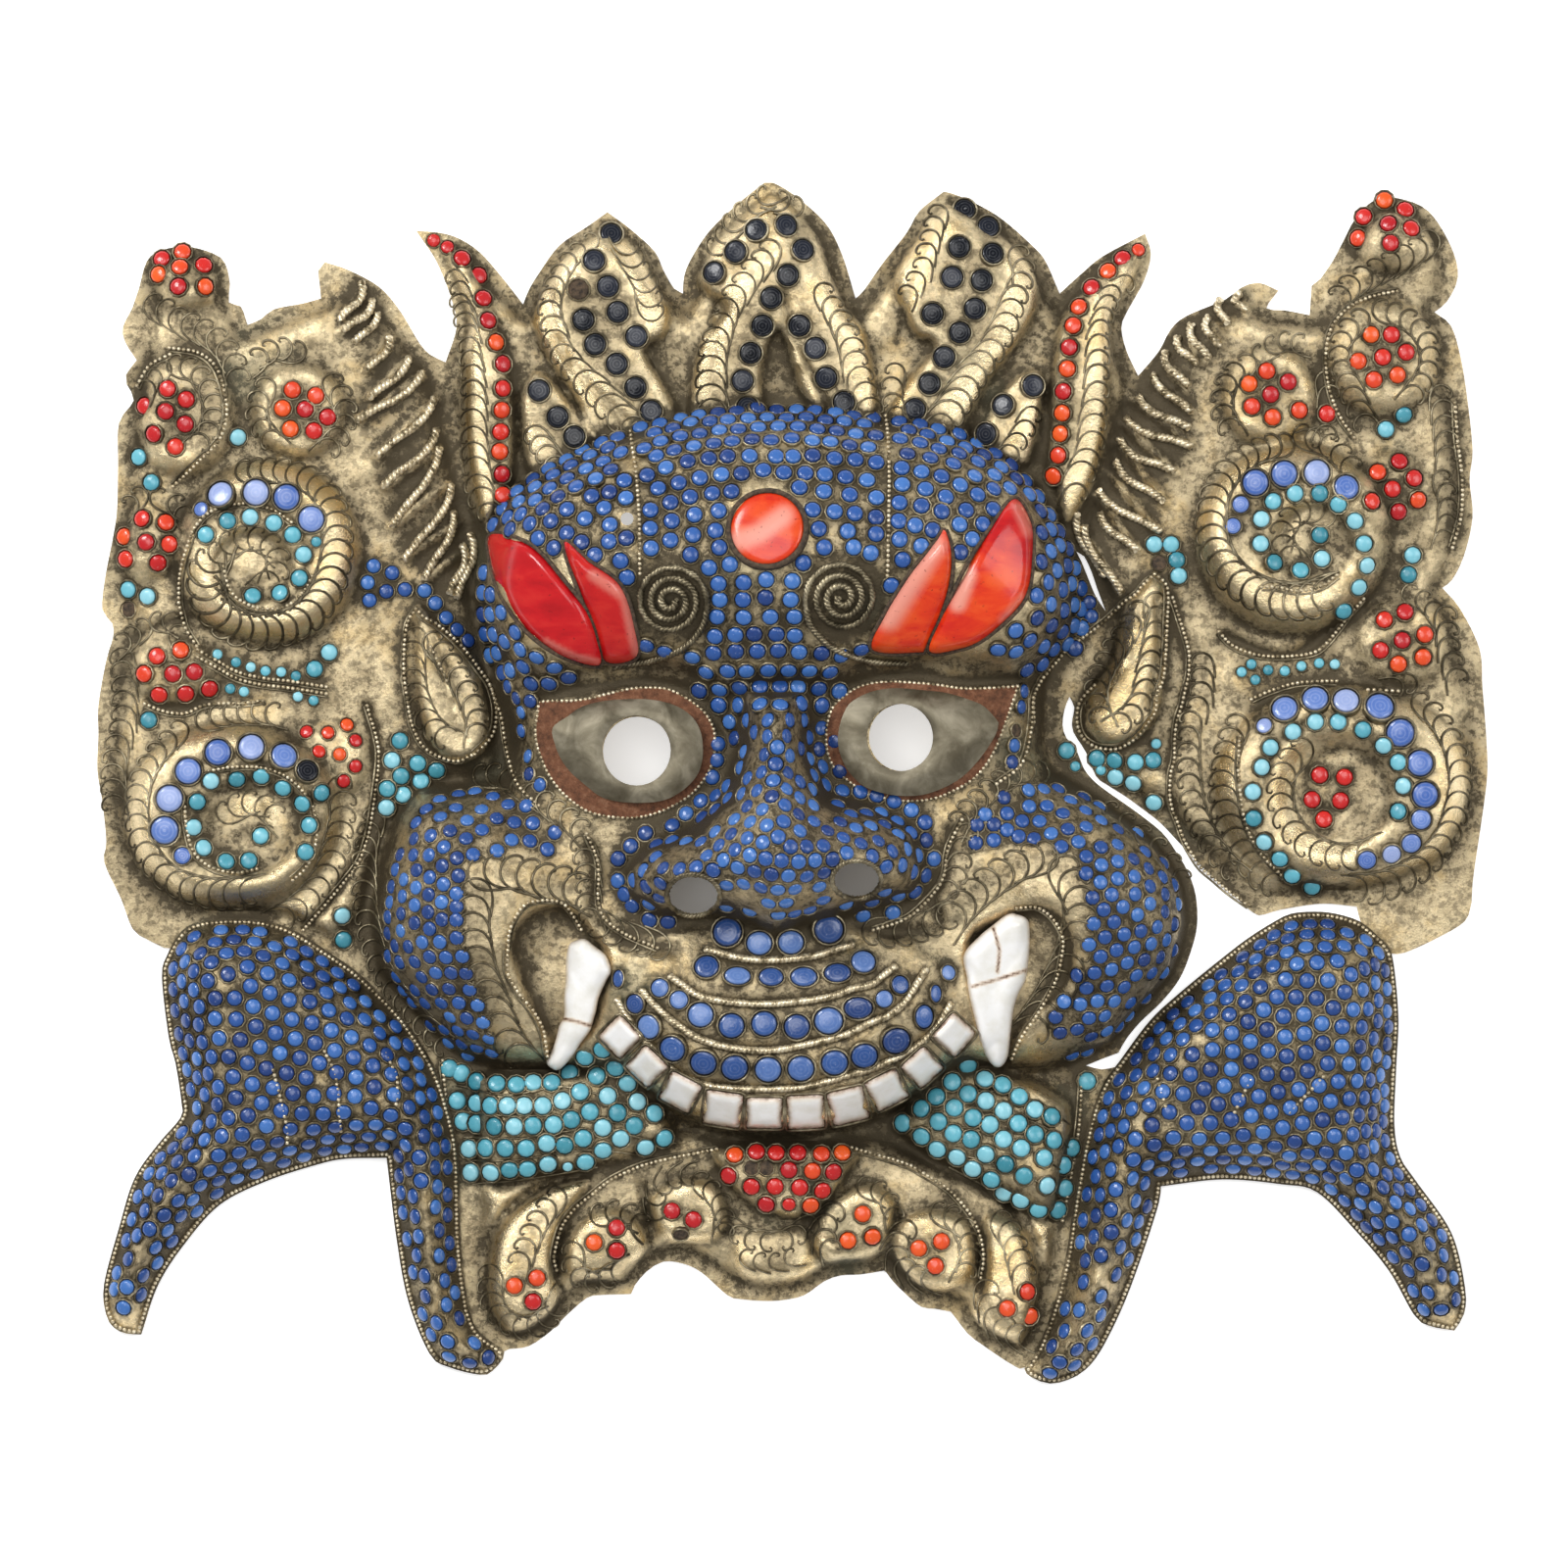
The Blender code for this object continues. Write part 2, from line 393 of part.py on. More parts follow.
MASK_OUTLINE = smooth_outline(MASK_EDGE)
LEFT_ARM_OUTLINE = smooth_outline(LEFT_ARM_EDGE)
RIGHT_ARM_OUTLINE = smooth_outline(RIGHT_ARM_EDGE)
BLEND = 5.0               # how sharply the large masses meet
FLANGE = 7.0              # pixels of flat rim round the mask
FLANGE_FADE = 16.0
PANEL_RISE = 0.0035
CROWN_RISE = 0.0040
APRON_RISE = 0.0050


def mask_height(x, y):
    """Height of the mask sheet's upper face at the photograph's points."""
    masses = [swelling(x, y, FOREHEAD, FOREHEAD_HEIGHT, (36, 150)),
              swelling(x, y, FACE, FACE_HEIGHT, (34, 110)), swelling(x, y, NOSE, NOSE_HEIGHT, (38, 84)),
              swelling(x, y, MUZZLE, MUZZLE_HEIGHT, (15, 80)),
              swelling(x, y, COLLAR_LEFT, COLLAR_HEIGHT, (16, 50)),
              swelling(x, y, COLLAR_RIGHT, COLLAR_HEIGHT, (16, 50)), CROWN_RISE * pillow(x, y, CROWN, 18),
              APRON_RISE * pillow(x, y, APRON, 22), PANEL_RISE * pillow(x, y, PANEL_LEFT, 24),
              PANEL_RISE * pillow(x, y, PANEL_RIGHT, 24)]
    height = sum(mass ** BLEND for mass in masses) ** (1 / BLEND)
    for outline, rise, shoulder in RAISED:
        height += rise * pillow(x, y, outline, shoulder)
    for centre, half_width, half_height, rise, shoulder in DOMES:
        height += rise * dome(x, y, centre, half_width, half_height, shoulder)
    for path in LOCKS_LEFT + LOCKS_RIGHT:
        height += LOCK_HEIGHT * lock(x, y, path, LOCK_HALF_WIDTH)
    rim = soft_step((depth_inside(x, y, MASK_OUTLINE) - FLANGE) / FLANGE_FADE)
    for arm in (LEFT_ARM_OUTLINE, RIGHT_ARM_OUTLINE):
        rim = rim * soft_step((-depth_inside(x, y, arm) - FLANGE) / FLANGE_FADE)
    return SHEET_THICKNESS + np.maximum(height, 0) * rim


ARM_LIFT = 2 * SHEET_THICKNESS + LAP_GAP
ARM_SHOULDER = 58.0
ARM_RIM = 3.0


def arm_height(outline):
    """Height of an arm sheet's upper face, as a function of the photograph's points."""
    def height(x, y):
        rise = np.clip((depth_inside(x, y, outline) - ARM_RIM) / ARM_SHOULDER, 0, 1)
        return ARM_LIFT + ARM_HEIGHT * np.sin(rise * math.pi / 2)
    return height


def material(name, colour, metallic, roughness):
    """A plain surface finish."""
    finish = bpy.data.materials.new(name)
    finish.use_nodes = True
    shader = finish.node_tree.nodes["Principled BSDF"]
    shader.inputs["Base Color"].default_value = (*colour, 1)
    shader.inputs["Metallic"].default_value = metallic
    shader.inputs["Roughness"].default_value = roughness
    return finish


def add_object(name, mesh, finish):
    """Put a mesh in the mask's collection under its node's name."""
    piece = bpy.data.objects.new(name, mesh)
    mesh.materials.clear()
    mesh.materials.append(finish)
    parts.objects.link(piece)
    return piece


def raised_sheet(name, outline, holes, height, keep, finish):
    """A hammered sheet: a flat net of triangles inside the outline, raised, thinned out and thickened."""
    loops = [outline] + holes
    points = []
    edges = []
    for loop in loops:
        first = len(points)
        points += loop
        edges += [(first + k, first + (k + 1) % len(loop)) for k in range(len(loop))]
    xs = [point.x for point in outline]
    ys = [point.y for point in outline]
    row_gap = LATTICE * math.sqrt(3) / 2
    net = []
    for row in range(int((max(ys) - min(ys)) / row_gap) + 1):
        start = min(xs) + (row % 2) * LATTICE / 2
        for column in range(int((max(xs) - start) / LATTICE) + 1):
            net.append((start + column * LATTICE, min(ys) + row * row_gap))
    net = np.array(net)
    clear = depth_inside(net[:, 0], net[:, 1], outline) > LATTICE * 0.45
    for hole in holes:
        clear &= depth_inside(net[:, 0], net[:, 1], hole) < -LATTICE * 0.45
    points += [Vector(point) for point in net[clear].tolist()]
    verts, _, faces, *_ = delaunay_2d_cdt(points, edges, [], 0, 1e-4)
    flat = np.array([(vert.x, vert.y) for vert in verts])
    middles = np.array([flat[list(face)].mean(axis=0) for face in faces])
    kept = depth_inside(middles[:, 0], middles[:, 1], outline) > 0
    for hole in holes:
        kept &= depth_inside(middles[:, 0], middles[:, 1], hole) < 0
    heights = height(flat[:, 0], flat[:, 1])
    places = [(*plan(spot), z) for spot, z in zip(flat, heights)]
    mesh = bpy.data.meshes.new(name)
    # a face drawn clockwise in the photograph's frame, whose y runs down, faces up here
    mesh.from_pydata(places, [], [tuple(reversed(face)) for face, keep_it in zip(faces, kept) if keep_it])
    shape = bmesh.new()
    shape.from_mesh(mesh)
    bmesh.ops.delete(shape, geom=[vert for vert in shape.verts if not vert.link_faces], context="VERTS")
    shape.to_mesh(mesh)
    shape.free()
    sheet = add_object(name, mesh, finish)
    thin_out = sheet.modifiers.new("Thin out", "DECIMATE")
    thin_out.ratio = keep
    wall = sheet.modifiers.new("Wall", "SOLIDIFY")
    wall.thickness = SHEET_THICKNESS
    wall.offset = -1
    mesh.shade_smooth()
    return sheet


def world_tree(piece):
    """A search tree of the piece's final surface in world space."""
    graph = bpy.context.evaluated_depsgraph_get()
    evaluated = piece.evaluated_get(graph)
    mesh = evaluated.to_mesh()
    mesh.transform(piece.matrix_world)
    tree = BVHTree.FromPolygons([v.co.copy() for v in mesh.vertices],
                                [tuple(p.vertices) for p in mesh.polygons])
    evaluated.to_mesh_clear()
    return tree


SKY = 0.2
PROBE_STEP = 0.0007


def seat(piece, carriers):
    """Raise the piece along Z until it clears the surfaces under it by SEAT_GAP."""
    bpy.context.view_layer.update()
    tree = world_tree(piece)
    corners = [piece.matrix_world @ Vector(corner) for corner in piece.bound_box]
    low = Vector((min(c.x for c in corners), min(c.y for c in corners)))
    high = Vector((max(c.x for c in corners), max(c.y for c in corners)))
    lift = -SKY
    for i in range(int((high.x - low.x) / PROBE_STEP) + 2):
        for j in range(int((high.y - low.y) / PROBE_STEP) + 2):
            x = low.x + i * PROBE_STEP
            y = low.y + j * PROBE_STEP
            under = tree.ray_cast(Vector((x, y, -SKY)), Vector((0, 0, 1)))[0]
            if under is None:
                continue
            for carrier in carriers:
                top = carrier.ray_cast(Vector((x, y, SKY)), Vector((0, 0, -1)))[0]
                if top is not None:
                    lift = max(lift, top.z - under.z + SEAT_GAP)
    piece.location.z += lift


def ground_plane(outline, height):
    """The plane that fits the surface under an outline: its turn from level, and its height."""
    points = np.array([tuple(point) for point in outline])
    centre = points.mean(axis=0)
    samples = np.vstack([points, (points + centre) / 2, centre[None]])
    spots = np.array([tuple(plan(sample)) for sample in samples])
    z = height(samples[:, 0], samples[:, 1])
    fit = np.linalg.lstsq(np.column_stack([spots, np.ones(len(spots))]), z, rcond=None)[0]
    fit[:2] *= min(1, STEEPEST_SEAT / max(np.hypot(*fit[:2]), 1e-9))
    normal = Vector((-fit[0], -fit[1], 1)).normalized()
    origin = plan(centre)
    return normal, Vector((origin.x, origin.y, z.mean()))


def laid_plate(name, outline, thickness, rounding, finish, holes=()):
    """A flat slab with a rounded edge, laid on the slope under its outline."""
    normal, origin = ground_plane(outline, mask_height)
    turn = Vector((0, 0, 1)).rotation_difference(normal)
    flat = bpy.data.curves.new(name, "CURVE")
    flat.dimensions = "2D"
    flat.fill_mode = "BOTH"
    flat.extrude = thickness / 2 - rounding
    flat.bevel_depth = rounding
    flat.bevel_resolution = 0
    flat.offset = -rounding
    for loop in [outline, *holes]:
        spline = flat.splines.new("POLY")
        spline.points.add(len(loop) - 1)
        for point, spot in zip(spline.points, loop):
            place = Vector((*plan(spot), 0)) - Vector((origin.x, origin.y, 0))
            # undo the foreshortening, so that the tilted slab keeps its plan outline
            slope = Vector((normal.x, normal.y, 0))
            if slope.length > 1e-6:
                slope.normalize()
                along = place.dot(slope)
                place += slope * along * (1 / normal.z - 1)
            point.co = (place.x, place.y, 0, 1)
        spline.use_cyclic_u = True
    holder = bpy.data.objects.new(name + "_curve", flat)
    parts.objects.link(holder)
    bpy.context.view_layer.update()
    graph = bpy.context.evaluated_depsgraph_get()
    mesh = bpy.data.meshes.new_from_object(holder.evaluated_get(graph))
    bpy.data.objects.remove(holder)
    shape = bmesh.new()
    shape.from_mesh(mesh)
    bmesh.ops.remove_doubles(shape, verts=shape.verts, dist=1e-6)
    bmesh.ops.recalc_face_normals(shape, faces=shape.faces)
    shape.to_mesh(mesh)
    shape.free()
    mesh.name = name
    mesh.shade_smooth()
    mesh.set_sharp_from_angle(angle=math.radians(40))
    plate = add_object(name, mesh, finish)
    plate.rotation_mode = "QUATERNION"
    plate.rotation_quaternion = turn
    plate.location = origin + normal * thickness / 2
    seat(plate, [mask_tree])
    return plate


def turned(name, profile, centre, radius, sides, finish, carriers):
    """A turned piece whose profile runs down its outer side, set square to the slope under it."""
    mesh = bpy.data.meshes.new(name)
    mesh.from_pydata([(r, 0, z) for r, z in profile], [(k, k + 1) for k in range(len(profile) - 1)], [])
    piece = add_object(name, mesh, finish)
    turning = piece.modifiers.new("Turn", "SCREW")
    turning.steps = sides
    turning.render_steps = sides
    turning.use_merge_vertices = True
    turning.merge_threshold = 0.00001
    turning.use_smooth_shade = True
    normal, origin = ground_plane(ellipse(centre, radius, radius, 12), mask_height)
    piece.rotation_mode = "QUATERNION"
    piece.rotation_quaternion = Vector((0, 0, 1)).rotation_difference(normal)
    piece.location = origin
    seat(piece, carriers)
    return piece


def cabochon(name, centre, radius, finish):
    """A low round stone with a flat back."""
    r = radius * PIXEL
    profile = [(0, CABOCHON_HEIGHT), (0.62 * r, 0.80 * CABOCHON_HEIGHT), (r, 0.30 * CABOCHON_HEIGHT),
               (0.96 * r, 0), (0, 0)]
    return turned(name, profile, centre, radius, ROUND_SIDES, finish, [mask_tree])


def third_eye():
    """The round coral of the forehead and the dark collar round it."""
    centre, radius = THIRD_EYE
    r = radius * PIXEL
    wall = THIRD_EYE_COLLAR * PIXEL
    inner = r + SEAT_GAP
    outer = inner + wall
    lip = THIRD_EYE_HEIGHT * 0.62
    collar = [(inner, lip), (outer - 0.3 * wall, lip), (outer, 0.7 * lip), (outer, 0), (inner, 0),
              (inner, lip)]
    turned("third_eye_bezel", collar, centre, radius, THIRD_EYE_SIDES, dark_metal, [mask_tree])
    coral = [(0, THIRD_EYE_HEIGHT), (0.45 * r, 0.95 * THIRD_EYE_HEIGHT), (0.8 * r, 0.75 * THIRD_EYE_HEIGHT),
             (r, 0.35 * THIRD_EYE_HEIGHT), (r, 0), (0, 0)]
    turned("third_eye_coral", coral, centre, radius, THIRD_EYE_SIDES, coral_red, [mask_tree])


def brow_spiral(name, centre, radius, hand):
    """A coil of thick wire, wound outwards, that ends where the brow begins."""
    turns = radius * PIXEL / SPIRAL_PITCH
    steps = 9
    count = int(turns * steps) + 1
    coil = bpy.data.curves.new(name, "CURVE")
    coil.dimensions = "3D"
    coil.bevel_depth = SPIRAL_WIRE / 2
    coil.bevel_resolution = 0
    coil.use_fill_caps = True
    spline = coil.splines.new("POLY")
    spline.points.add(count - 1)
    for k, point in enumerate(spline.points):
        angle = hand * k * math.tau / steps
        reach = SPIRAL_PITCH * (0.25 + k / steps)
        point.co = (reach * math.cos(angle), reach * math.sin(angle), 0, 1)
    holder = bpy.data.objects.new(name + "_curve", coil)
    parts.objects.link(holder)
    bpy.context.view_layer.update()
    graph = bpy.context.evaluated_depsgraph_get()
    mesh = bpy.data.meshes.new_from_object(holder.evaluated_get(graph))
    bpy.data.objects.remove(holder)
    shape = bmesh.new()
    shape.from_mesh(mesh)
    bmesh.ops.remove_doubles(shape, verts=shape.verts, dist=1e-6)
    bmesh.ops.recalc_face_normals(shape, faces=shape.faces)
    shape.to_mesh(mesh)
    shape.free()
    mesh.name = name
    mesh.shade_smooth()
    spiral = add_object(name, mesh, white_metal)
    normal, origin = ground_plane(ellipse(centre, radius, radius, 12), mask_height)
    spiral.rotation_mode = "QUATERNION"
    spiral.rotation_quaternion = Vector((0, 0, 1)).rotation_difference(normal)
    spiral.location = origin
    seat(spiral, [mask_tree])
    return spiral


def tooth(number, centre, width, height, turn):
    """A squared block of shell with softened edges."""
    bpy.ops.mesh.primitive_cube_add(size=1)
    piece = bpy.context.active_object
    piece.name = f"tooth_{number:02d}"
    for holder in piece.users_collection:
        holder.objects.unlink(piece)
    parts.objects.link(piece)
    size = Matrix.Diagonal((width * PIXEL, height * PIXEL, TOOTH_THICKNESS, 1))
    piece.data.transform(Matrix.Rotation(math.radians(turn), 4, "Z") @ size)
    piece.data.materials.append(shell_white)
    edges = piece.modifiers.new("Soft edges", "BEVEL")
    edges.width = 0.0012
    edges.segments = 1
    normal, origin = ground_plane(ellipse(centre, width / 2, height / 2, 12), mask_height)
    piece.rotation_mode = "QUATERNION"
    piece.rotation_quaternion = Vector((0, 0, 1)).rotation_difference(normal)
    piece.location = origin
    seat(piece, [mask_tree])
    return piece


for old in list(bpy.data.objects):
    bpy.data.objects.remove(old)
parts = bpy.data.collections.new("Kirtimukha mask")
bpy.context.scene.collection.children.link(parts)

white_metal = material("White metal", (0.46, 0.42, 0.33), 1.0, 0.42)
dark_metal = material("Dark metal", (0.10, 0.09, 0.08), 1.0, 0.55)
eye_metal = material("Grey eye plate", (0.33, 0.32, 0.28), 1.0, 0.40)
coral_red = material("Coral", (0.75, 0.07, 0.04), 0.0, 0.25)
shell_white = material("Shell", (0.86, 0.84, 0.78), 0.0, 0.30)
blue_glass = material("Periwinkle glass", (0.16, 0.28, 0.75), 0.0, 0.20)

tear = smooth_outline(UPPER_TEAR)
sight_holes = [ellipse(*EYE_HOLE_LEFT), ellipse(*EYE_HOLE_RIGHT)]
nostrils = [ellipse(*NOSTRIL_LEFT), ellipse(*NOSTRIL_RIGHT)]
mask_sheet = raised_sheet("mask_sheet", MASK_OUTLINE, [tear] + sight_holes + nostrils, mask_height,
                          MASK_KEEP, white_metal)
left_arm = raised_sheet("left_arm", LEFT_ARM_OUTLINE, [], arm_height(LEFT_ARM_OUTLINE), ARM_KEEP,
                        white_metal)
right_arm = raised_sheet("right_arm", RIGHT_ARM_OUTLINE, [], arm_height(RIGHT_ARM_OUTLINE), ARM_KEEP,
                         white_metal)
bpy.context.view_layer.update()
mask_tree = world_tree(mask_sheet)

laid_plate("eye_plate_left", EYE_PLATE_LEFT, EYE_PLATE_THICKNESS, 0.0004, eye_metal,
           [ellipse((652, 767), 33.0, 33.0)])
laid_plate("eye_plate_right", EYE_PLATE_RIGHT, EYE_PLATE_THICKNESS, 0.0004, eye_metal,
           [ellipse((920, 753), 32.0, 32.0)])
laid_plate("brow_coral_left_outer", BROW_LEFT_OUTER, BROW_CORAL_THICKNESS, 0.0013, coral_red)
laid_plate("brow_coral_left_inner", BROW_LEFT_INNER, BROW_CORAL_THICKNESS, 0.0013, coral_red)
laid_plate("brow_coral_right_inner", BROW_RIGHT_INNER, BROW_CORAL_THICKNESS, 0.0013, coral_red)
laid_plate("brow_coral_right_outer", BROW_RIGHT_OUTER, BROW_CORAL_THICKNESS, 0.0013, coral_red)
laid_plate("fang_left", FANG_LEFT, FANG_THICKNESS, 0.0016, shell_white)
laid_plate("fang_right", FANG_RIGHT, FANG_THICKNESS, 0.0016, shell_white)
third_eye()
brow_spiral("brow_spiral_left", *SPIRAL_LEFT, 1)
brow_spiral("brow_spiral_right", *SPIRAL_RIGHT, -1)
for number, (centre, width, height, turn) in enumerate(TEETH, start=1):
    tooth(number, centre, width, height, turn)
for number, (centre, radius) in enumerate(CABOCHONS, start=1):
    cabochon(f"cabochon_{number:02d}", centre, radius, blue_glass)
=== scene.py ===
"""Kirtimukha mask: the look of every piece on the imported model's frame.

Plan positions are traced in the photograph's pixels (x right, y down). The mask lies face up on the floor
z = 0, with X to the viewer's right and Y towards the crown.
"""

import math

import bmesh
import bpy
import numpy as np
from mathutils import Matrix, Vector
from mathutils.geometry import delaunay_2d_cdt


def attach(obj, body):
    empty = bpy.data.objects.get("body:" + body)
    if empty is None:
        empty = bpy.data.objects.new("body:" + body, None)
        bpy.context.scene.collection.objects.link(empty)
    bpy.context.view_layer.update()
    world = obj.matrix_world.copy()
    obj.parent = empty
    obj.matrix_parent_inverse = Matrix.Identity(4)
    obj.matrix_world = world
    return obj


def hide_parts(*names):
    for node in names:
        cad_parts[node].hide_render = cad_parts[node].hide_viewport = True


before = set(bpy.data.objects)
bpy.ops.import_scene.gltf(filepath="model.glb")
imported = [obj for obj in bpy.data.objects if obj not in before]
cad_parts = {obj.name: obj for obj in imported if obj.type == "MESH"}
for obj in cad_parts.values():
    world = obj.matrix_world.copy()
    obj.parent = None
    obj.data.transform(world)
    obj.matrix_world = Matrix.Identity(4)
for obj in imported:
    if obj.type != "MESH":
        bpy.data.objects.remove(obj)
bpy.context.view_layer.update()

# Mask sheet: one piece of white metal, hammered up from behind over a bed of pitch and trimmed to flames,
# leaves and scrolls. Its outer edge comes first: each run is a smooth curve, and the runs meet at corners.
MASK_EDGE = [
    # left knob and shoulder
    [(140, 368), (128, 349), (126, 334), (135, 316), (142, 296), (154, 262), (187, 252), (218, 259),
     (230, 269), (235, 290), (234, 309), (246, 313), (253, 332)],
    # left mane and its spike
    [(253, 332), (267, 326), (280, 316), (310, 310), (328, 305)],
    [(328, 305), (325, 277)],
    [(325, 277), (332, 268)],
    [(332, 268), (356, 276), (387, 293), (408, 317), (428, 350), (439, 362), (455, 370)],
    # left flame
    [(455, 370), (466, 335), (462, 309), (446, 268), (425, 236)],
    [(425, 236), (449, 238), (469, 244), (490, 258), (512, 283), (534, 311)],
    # three crown leaves
    [(534, 311), (540, 296), (551, 278), (571, 251), (599, 232), (620, 217)],
    [(620, 217), (643, 234), (668, 257), (677, 276), (688, 295), (697, 300)],
    [(697, 300), (698, 283), (705, 265), (725, 235), (756, 206), (780, 187)],
    [(780, 187), (789, 187), (811, 200), (842, 228), (859, 260), (873, 305)],
    [(873, 305), (882, 296), (900, 270), (925, 238), (938, 216), (963, 196)],
    [(963, 196), (980, 201), (1018, 221), (1054, 252), (1067, 268), (1081, 300)],
    # right flame
    [(1081, 300), (1103, 280), (1125, 262), (1168, 239)],
    [(1168, 239), (1174, 260), (1167, 287), (1149, 320), (1144, 335), (1149, 358), (1161, 384)],
    # right mane and its spike
    [(1161, 384), (1182, 359), (1194, 337), (1210, 323), (1250, 306), (1266, 294), (1284, 289),
     (1304, 297)],
    [(1304, 297), (1292, 315), (1310, 317), (1336, 322)],
    [(1336, 322), (1338, 292)],
    [(1338, 292), (1347, 285)],
    # right knob
    [(1347, 285), (1360, 266), (1371, 245), (1383, 223), (1403, 204), (1427, 203), (1457, 216),
     (1480, 252), (1487, 283), (1476, 308), (1463, 319)],
    # right edge of the side panel
    [(1463, 319), (1480, 333), (1490, 366), (1497, 410), (1502, 460), (1499, 490), (1502, 528),
     (1493, 568), (1481, 592), (1471, 600)],
    [(1471, 600), (1489, 621), (1509, 662), (1512, 700), (1516, 752), (1517, 790), (1512, 832),
     (1503, 893), (1501, 921)],
    # tongue under the right arm's shoulder, and the panel's lower lip
    [(1501, 921), (1494, 940), (1466, 957), (1433, 972), (1420, 973)],
    [(1420, 973), (1404, 968), (1392, 950), (1386, 934), (1384, 925)],
    [(1384, 925), (1350, 922), (1318, 926), (1299, 930), (1284, 934), (1273, 927)],
    # torn gap, up its right side and back down along the cheek
    [(1273, 927), (1253, 909), (1233, 891), (1203, 860), (1184, 840), (1165, 825), (1147, 812),
     (1128, 800), (1118, 792), (1108, 768), (1095, 747), (1094, 734), (1096, 722), (1091, 711)],
    [(1091, 711), (1086, 724), (1084, 740), (1088, 753), (1098, 765), (1105, 783), (1114, 795),
     (1126, 805), (1143, 817), (1160, 829), (1185, 849), (1199, 868), (1212, 890), (1220, 915),
     (1221, 945), (1214, 973), (1203, 999), (1185, 1022), (1163, 1043), (1149, 1060), (1141, 1074)],
    [(1141, 1074), (1125, 1080), (1108, 1087)],
    # hidden edge under the right arm
    [(1108, 1087), (1124, 1091), (1140, 1088), (1152, 1086)],
    [(1152, 1086), (1150, 1100), (1141, 1116), (1133, 1138), (1126, 1162), (1117, 1205), (1109, 1257),
     (1098, 1311), (1081, 1366), (1070, 1388), (1040, 1396)],
    # lower edge of the chin apron
    [(1040, 1396), (1026, 1388), (1001, 1371), (987, 1360), (970, 1338)],
    [(970, 1338), (954, 1335), (940, 1333), (924, 1320), (911, 1307), (903, 1296)],
    [(903, 1296), (878, 1300), (858, 1301), (841, 1307), (821, 1321), (800, 1326), (780, 1327),
     (755, 1325), (742, 1321), (716, 1298), (697, 1289), (677, 1287), (660, 1297), (648, 1311),
     (644, 1320)],
    [(644, 1320), (613, 1321), (599, 1324), (578, 1342), (562, 1358), (540, 1373), (520, 1376)],
    # hidden edge under the left arm
    [(520, 1376), (500, 1384), (485, 1376), (474, 1360), (464, 1338), (458, 1310), (455, 1275),
     (453, 1212), (446, 1158), (434, 1113), (414, 1073), (389, 1043), (356, 1010), (322, 983),
     (284, 961), (262, 956), (208, 960), (190, 968), (168, 967)],
    # left edge of the side panel
    [(168, 967), (150, 958), (136, 948), (124, 917), (107, 880), (109, 859), (105, 818), (100, 786),
     (101, 750), (101, 720), (109, 674), (116, 650), (115, 636), (105, 622), (108, 589), (116, 548),
     (120, 520), (121, 476), (122, 432), (137, 409), (130, 393), (129, 383), (140, 368)],
]

# Tear between the forehead and the right mane, above the gap.
UPPER_TEAR = [[(1098, 563), (1106, 568), (1114, 585), (1119, 600), (1128, 624)],
              [(1128, 624), (1118, 609), (1110, 590), (1103, 573), (1098, 563)]]

# Holes cut through the sheet: centre, half width and half height.
EYE_HOLE_LEFT = ((652, 767), 35.0, 35.0)
EYE_HOLE_RIGHT = ((920, 753), 34.0, 34.0)
NOSTRIL_LEFT = ((709, 912), 25.0, 19.5)
NOSTRIL_RIGHT = ((873, 896), 23.0, 17.5)
FOREHEAD_HOLE = ((642, 533), 6.5, 6.5)

# Large masses of the face, blended where they meet: outline, height and width of the rounded shoulder.
FOREHEAD = [(484, 610), (487, 575), (497, 538), (517, 503), (552, 479), (600, 456), (650, 438),
            (700, 425), (760, 418), (820, 417), (880, 425), (930, 430), (985, 443), (1030, 470),
            (1058, 497), (1080, 532), (1094, 565), (1098, 600), (1096, 640), (1070, 680), (1035, 702),
            (985, 694), (930, 690), (885, 694), (850, 716), (735, 722), (700, 702), (650, 692),
            (600, 702), (555, 708), (522, 695), (497, 655)]
FACE = [(497, 640), (505, 700), (520, 760), (512, 790), (470, 798), (425, 802), (403, 830), (386, 880),
        (378, 935), (386, 990), (422, 1036), (470, 1078), (520, 1094), (590, 1094), (640, 1110),
        (700, 1148), (760, 1165), (820, 1165), (880, 1148), (940, 1112), (990, 1094), (1060, 1094),
        (1104, 1082), (1140, 1066), (1180, 1020), (1204, 990), (1215, 940), (1206, 890), (1180, 858),
        (1140, 826), (1105, 802), (1074, 785), (1066, 760), (1068, 700), (1085, 650), (1085, 600),
        (800, 500)]
NOSE = [(744, 690), (740, 760), (728, 802), (700, 832), (655, 848), (628, 880), (630, 920),
        (668, 945), (740, 945), (790, 965), (850, 948), (905, 935), (947, 920), (955, 880), (946, 838),
        (900, 812), (856, 800), (843, 765), (836, 690)]
MUZZLE = [(640, 950), (614, 1010), (618, 1062), (646, 1102), (688, 1134), (735, 1152), (785, 1156),
          (830, 1154), (872, 1147), (916, 1130), (952, 1106), (988, 1068), (993, 1040), (975, 985),
          (930, 952), (870, 935), (700, 935)]
COLLAR_LEFT = [(482, 1092), (560, 1092), (640, 1075), (690, 1140), (692, 1165), (640, 1188),
               (590, 1198), (530, 1207), (490, 1206)]
COLLAR_RIGHT = [(962, 1085), (1000, 1080), (1060, 1100), (1092, 1122), (1100, 1150), (1088, 1200),
                (1078, 1240), (1056, 1240), (1000, 1210), (950, 1182), (910, 1150), (930, 1110)]
CROWN = [(462, 400), (474, 340), (500, 290), (540, 320), (568, 268), (620, 236), (672, 290),
         (700, 320), (735, 245), (785, 206), (835, 250), (872, 325), (930, 250), (970, 214),
         (1045, 262), (1080, 318), (1130, 280), (1140, 340), (1150, 400), (1130, 500), (1095, 560),
         (484, 570), (470, 480)]
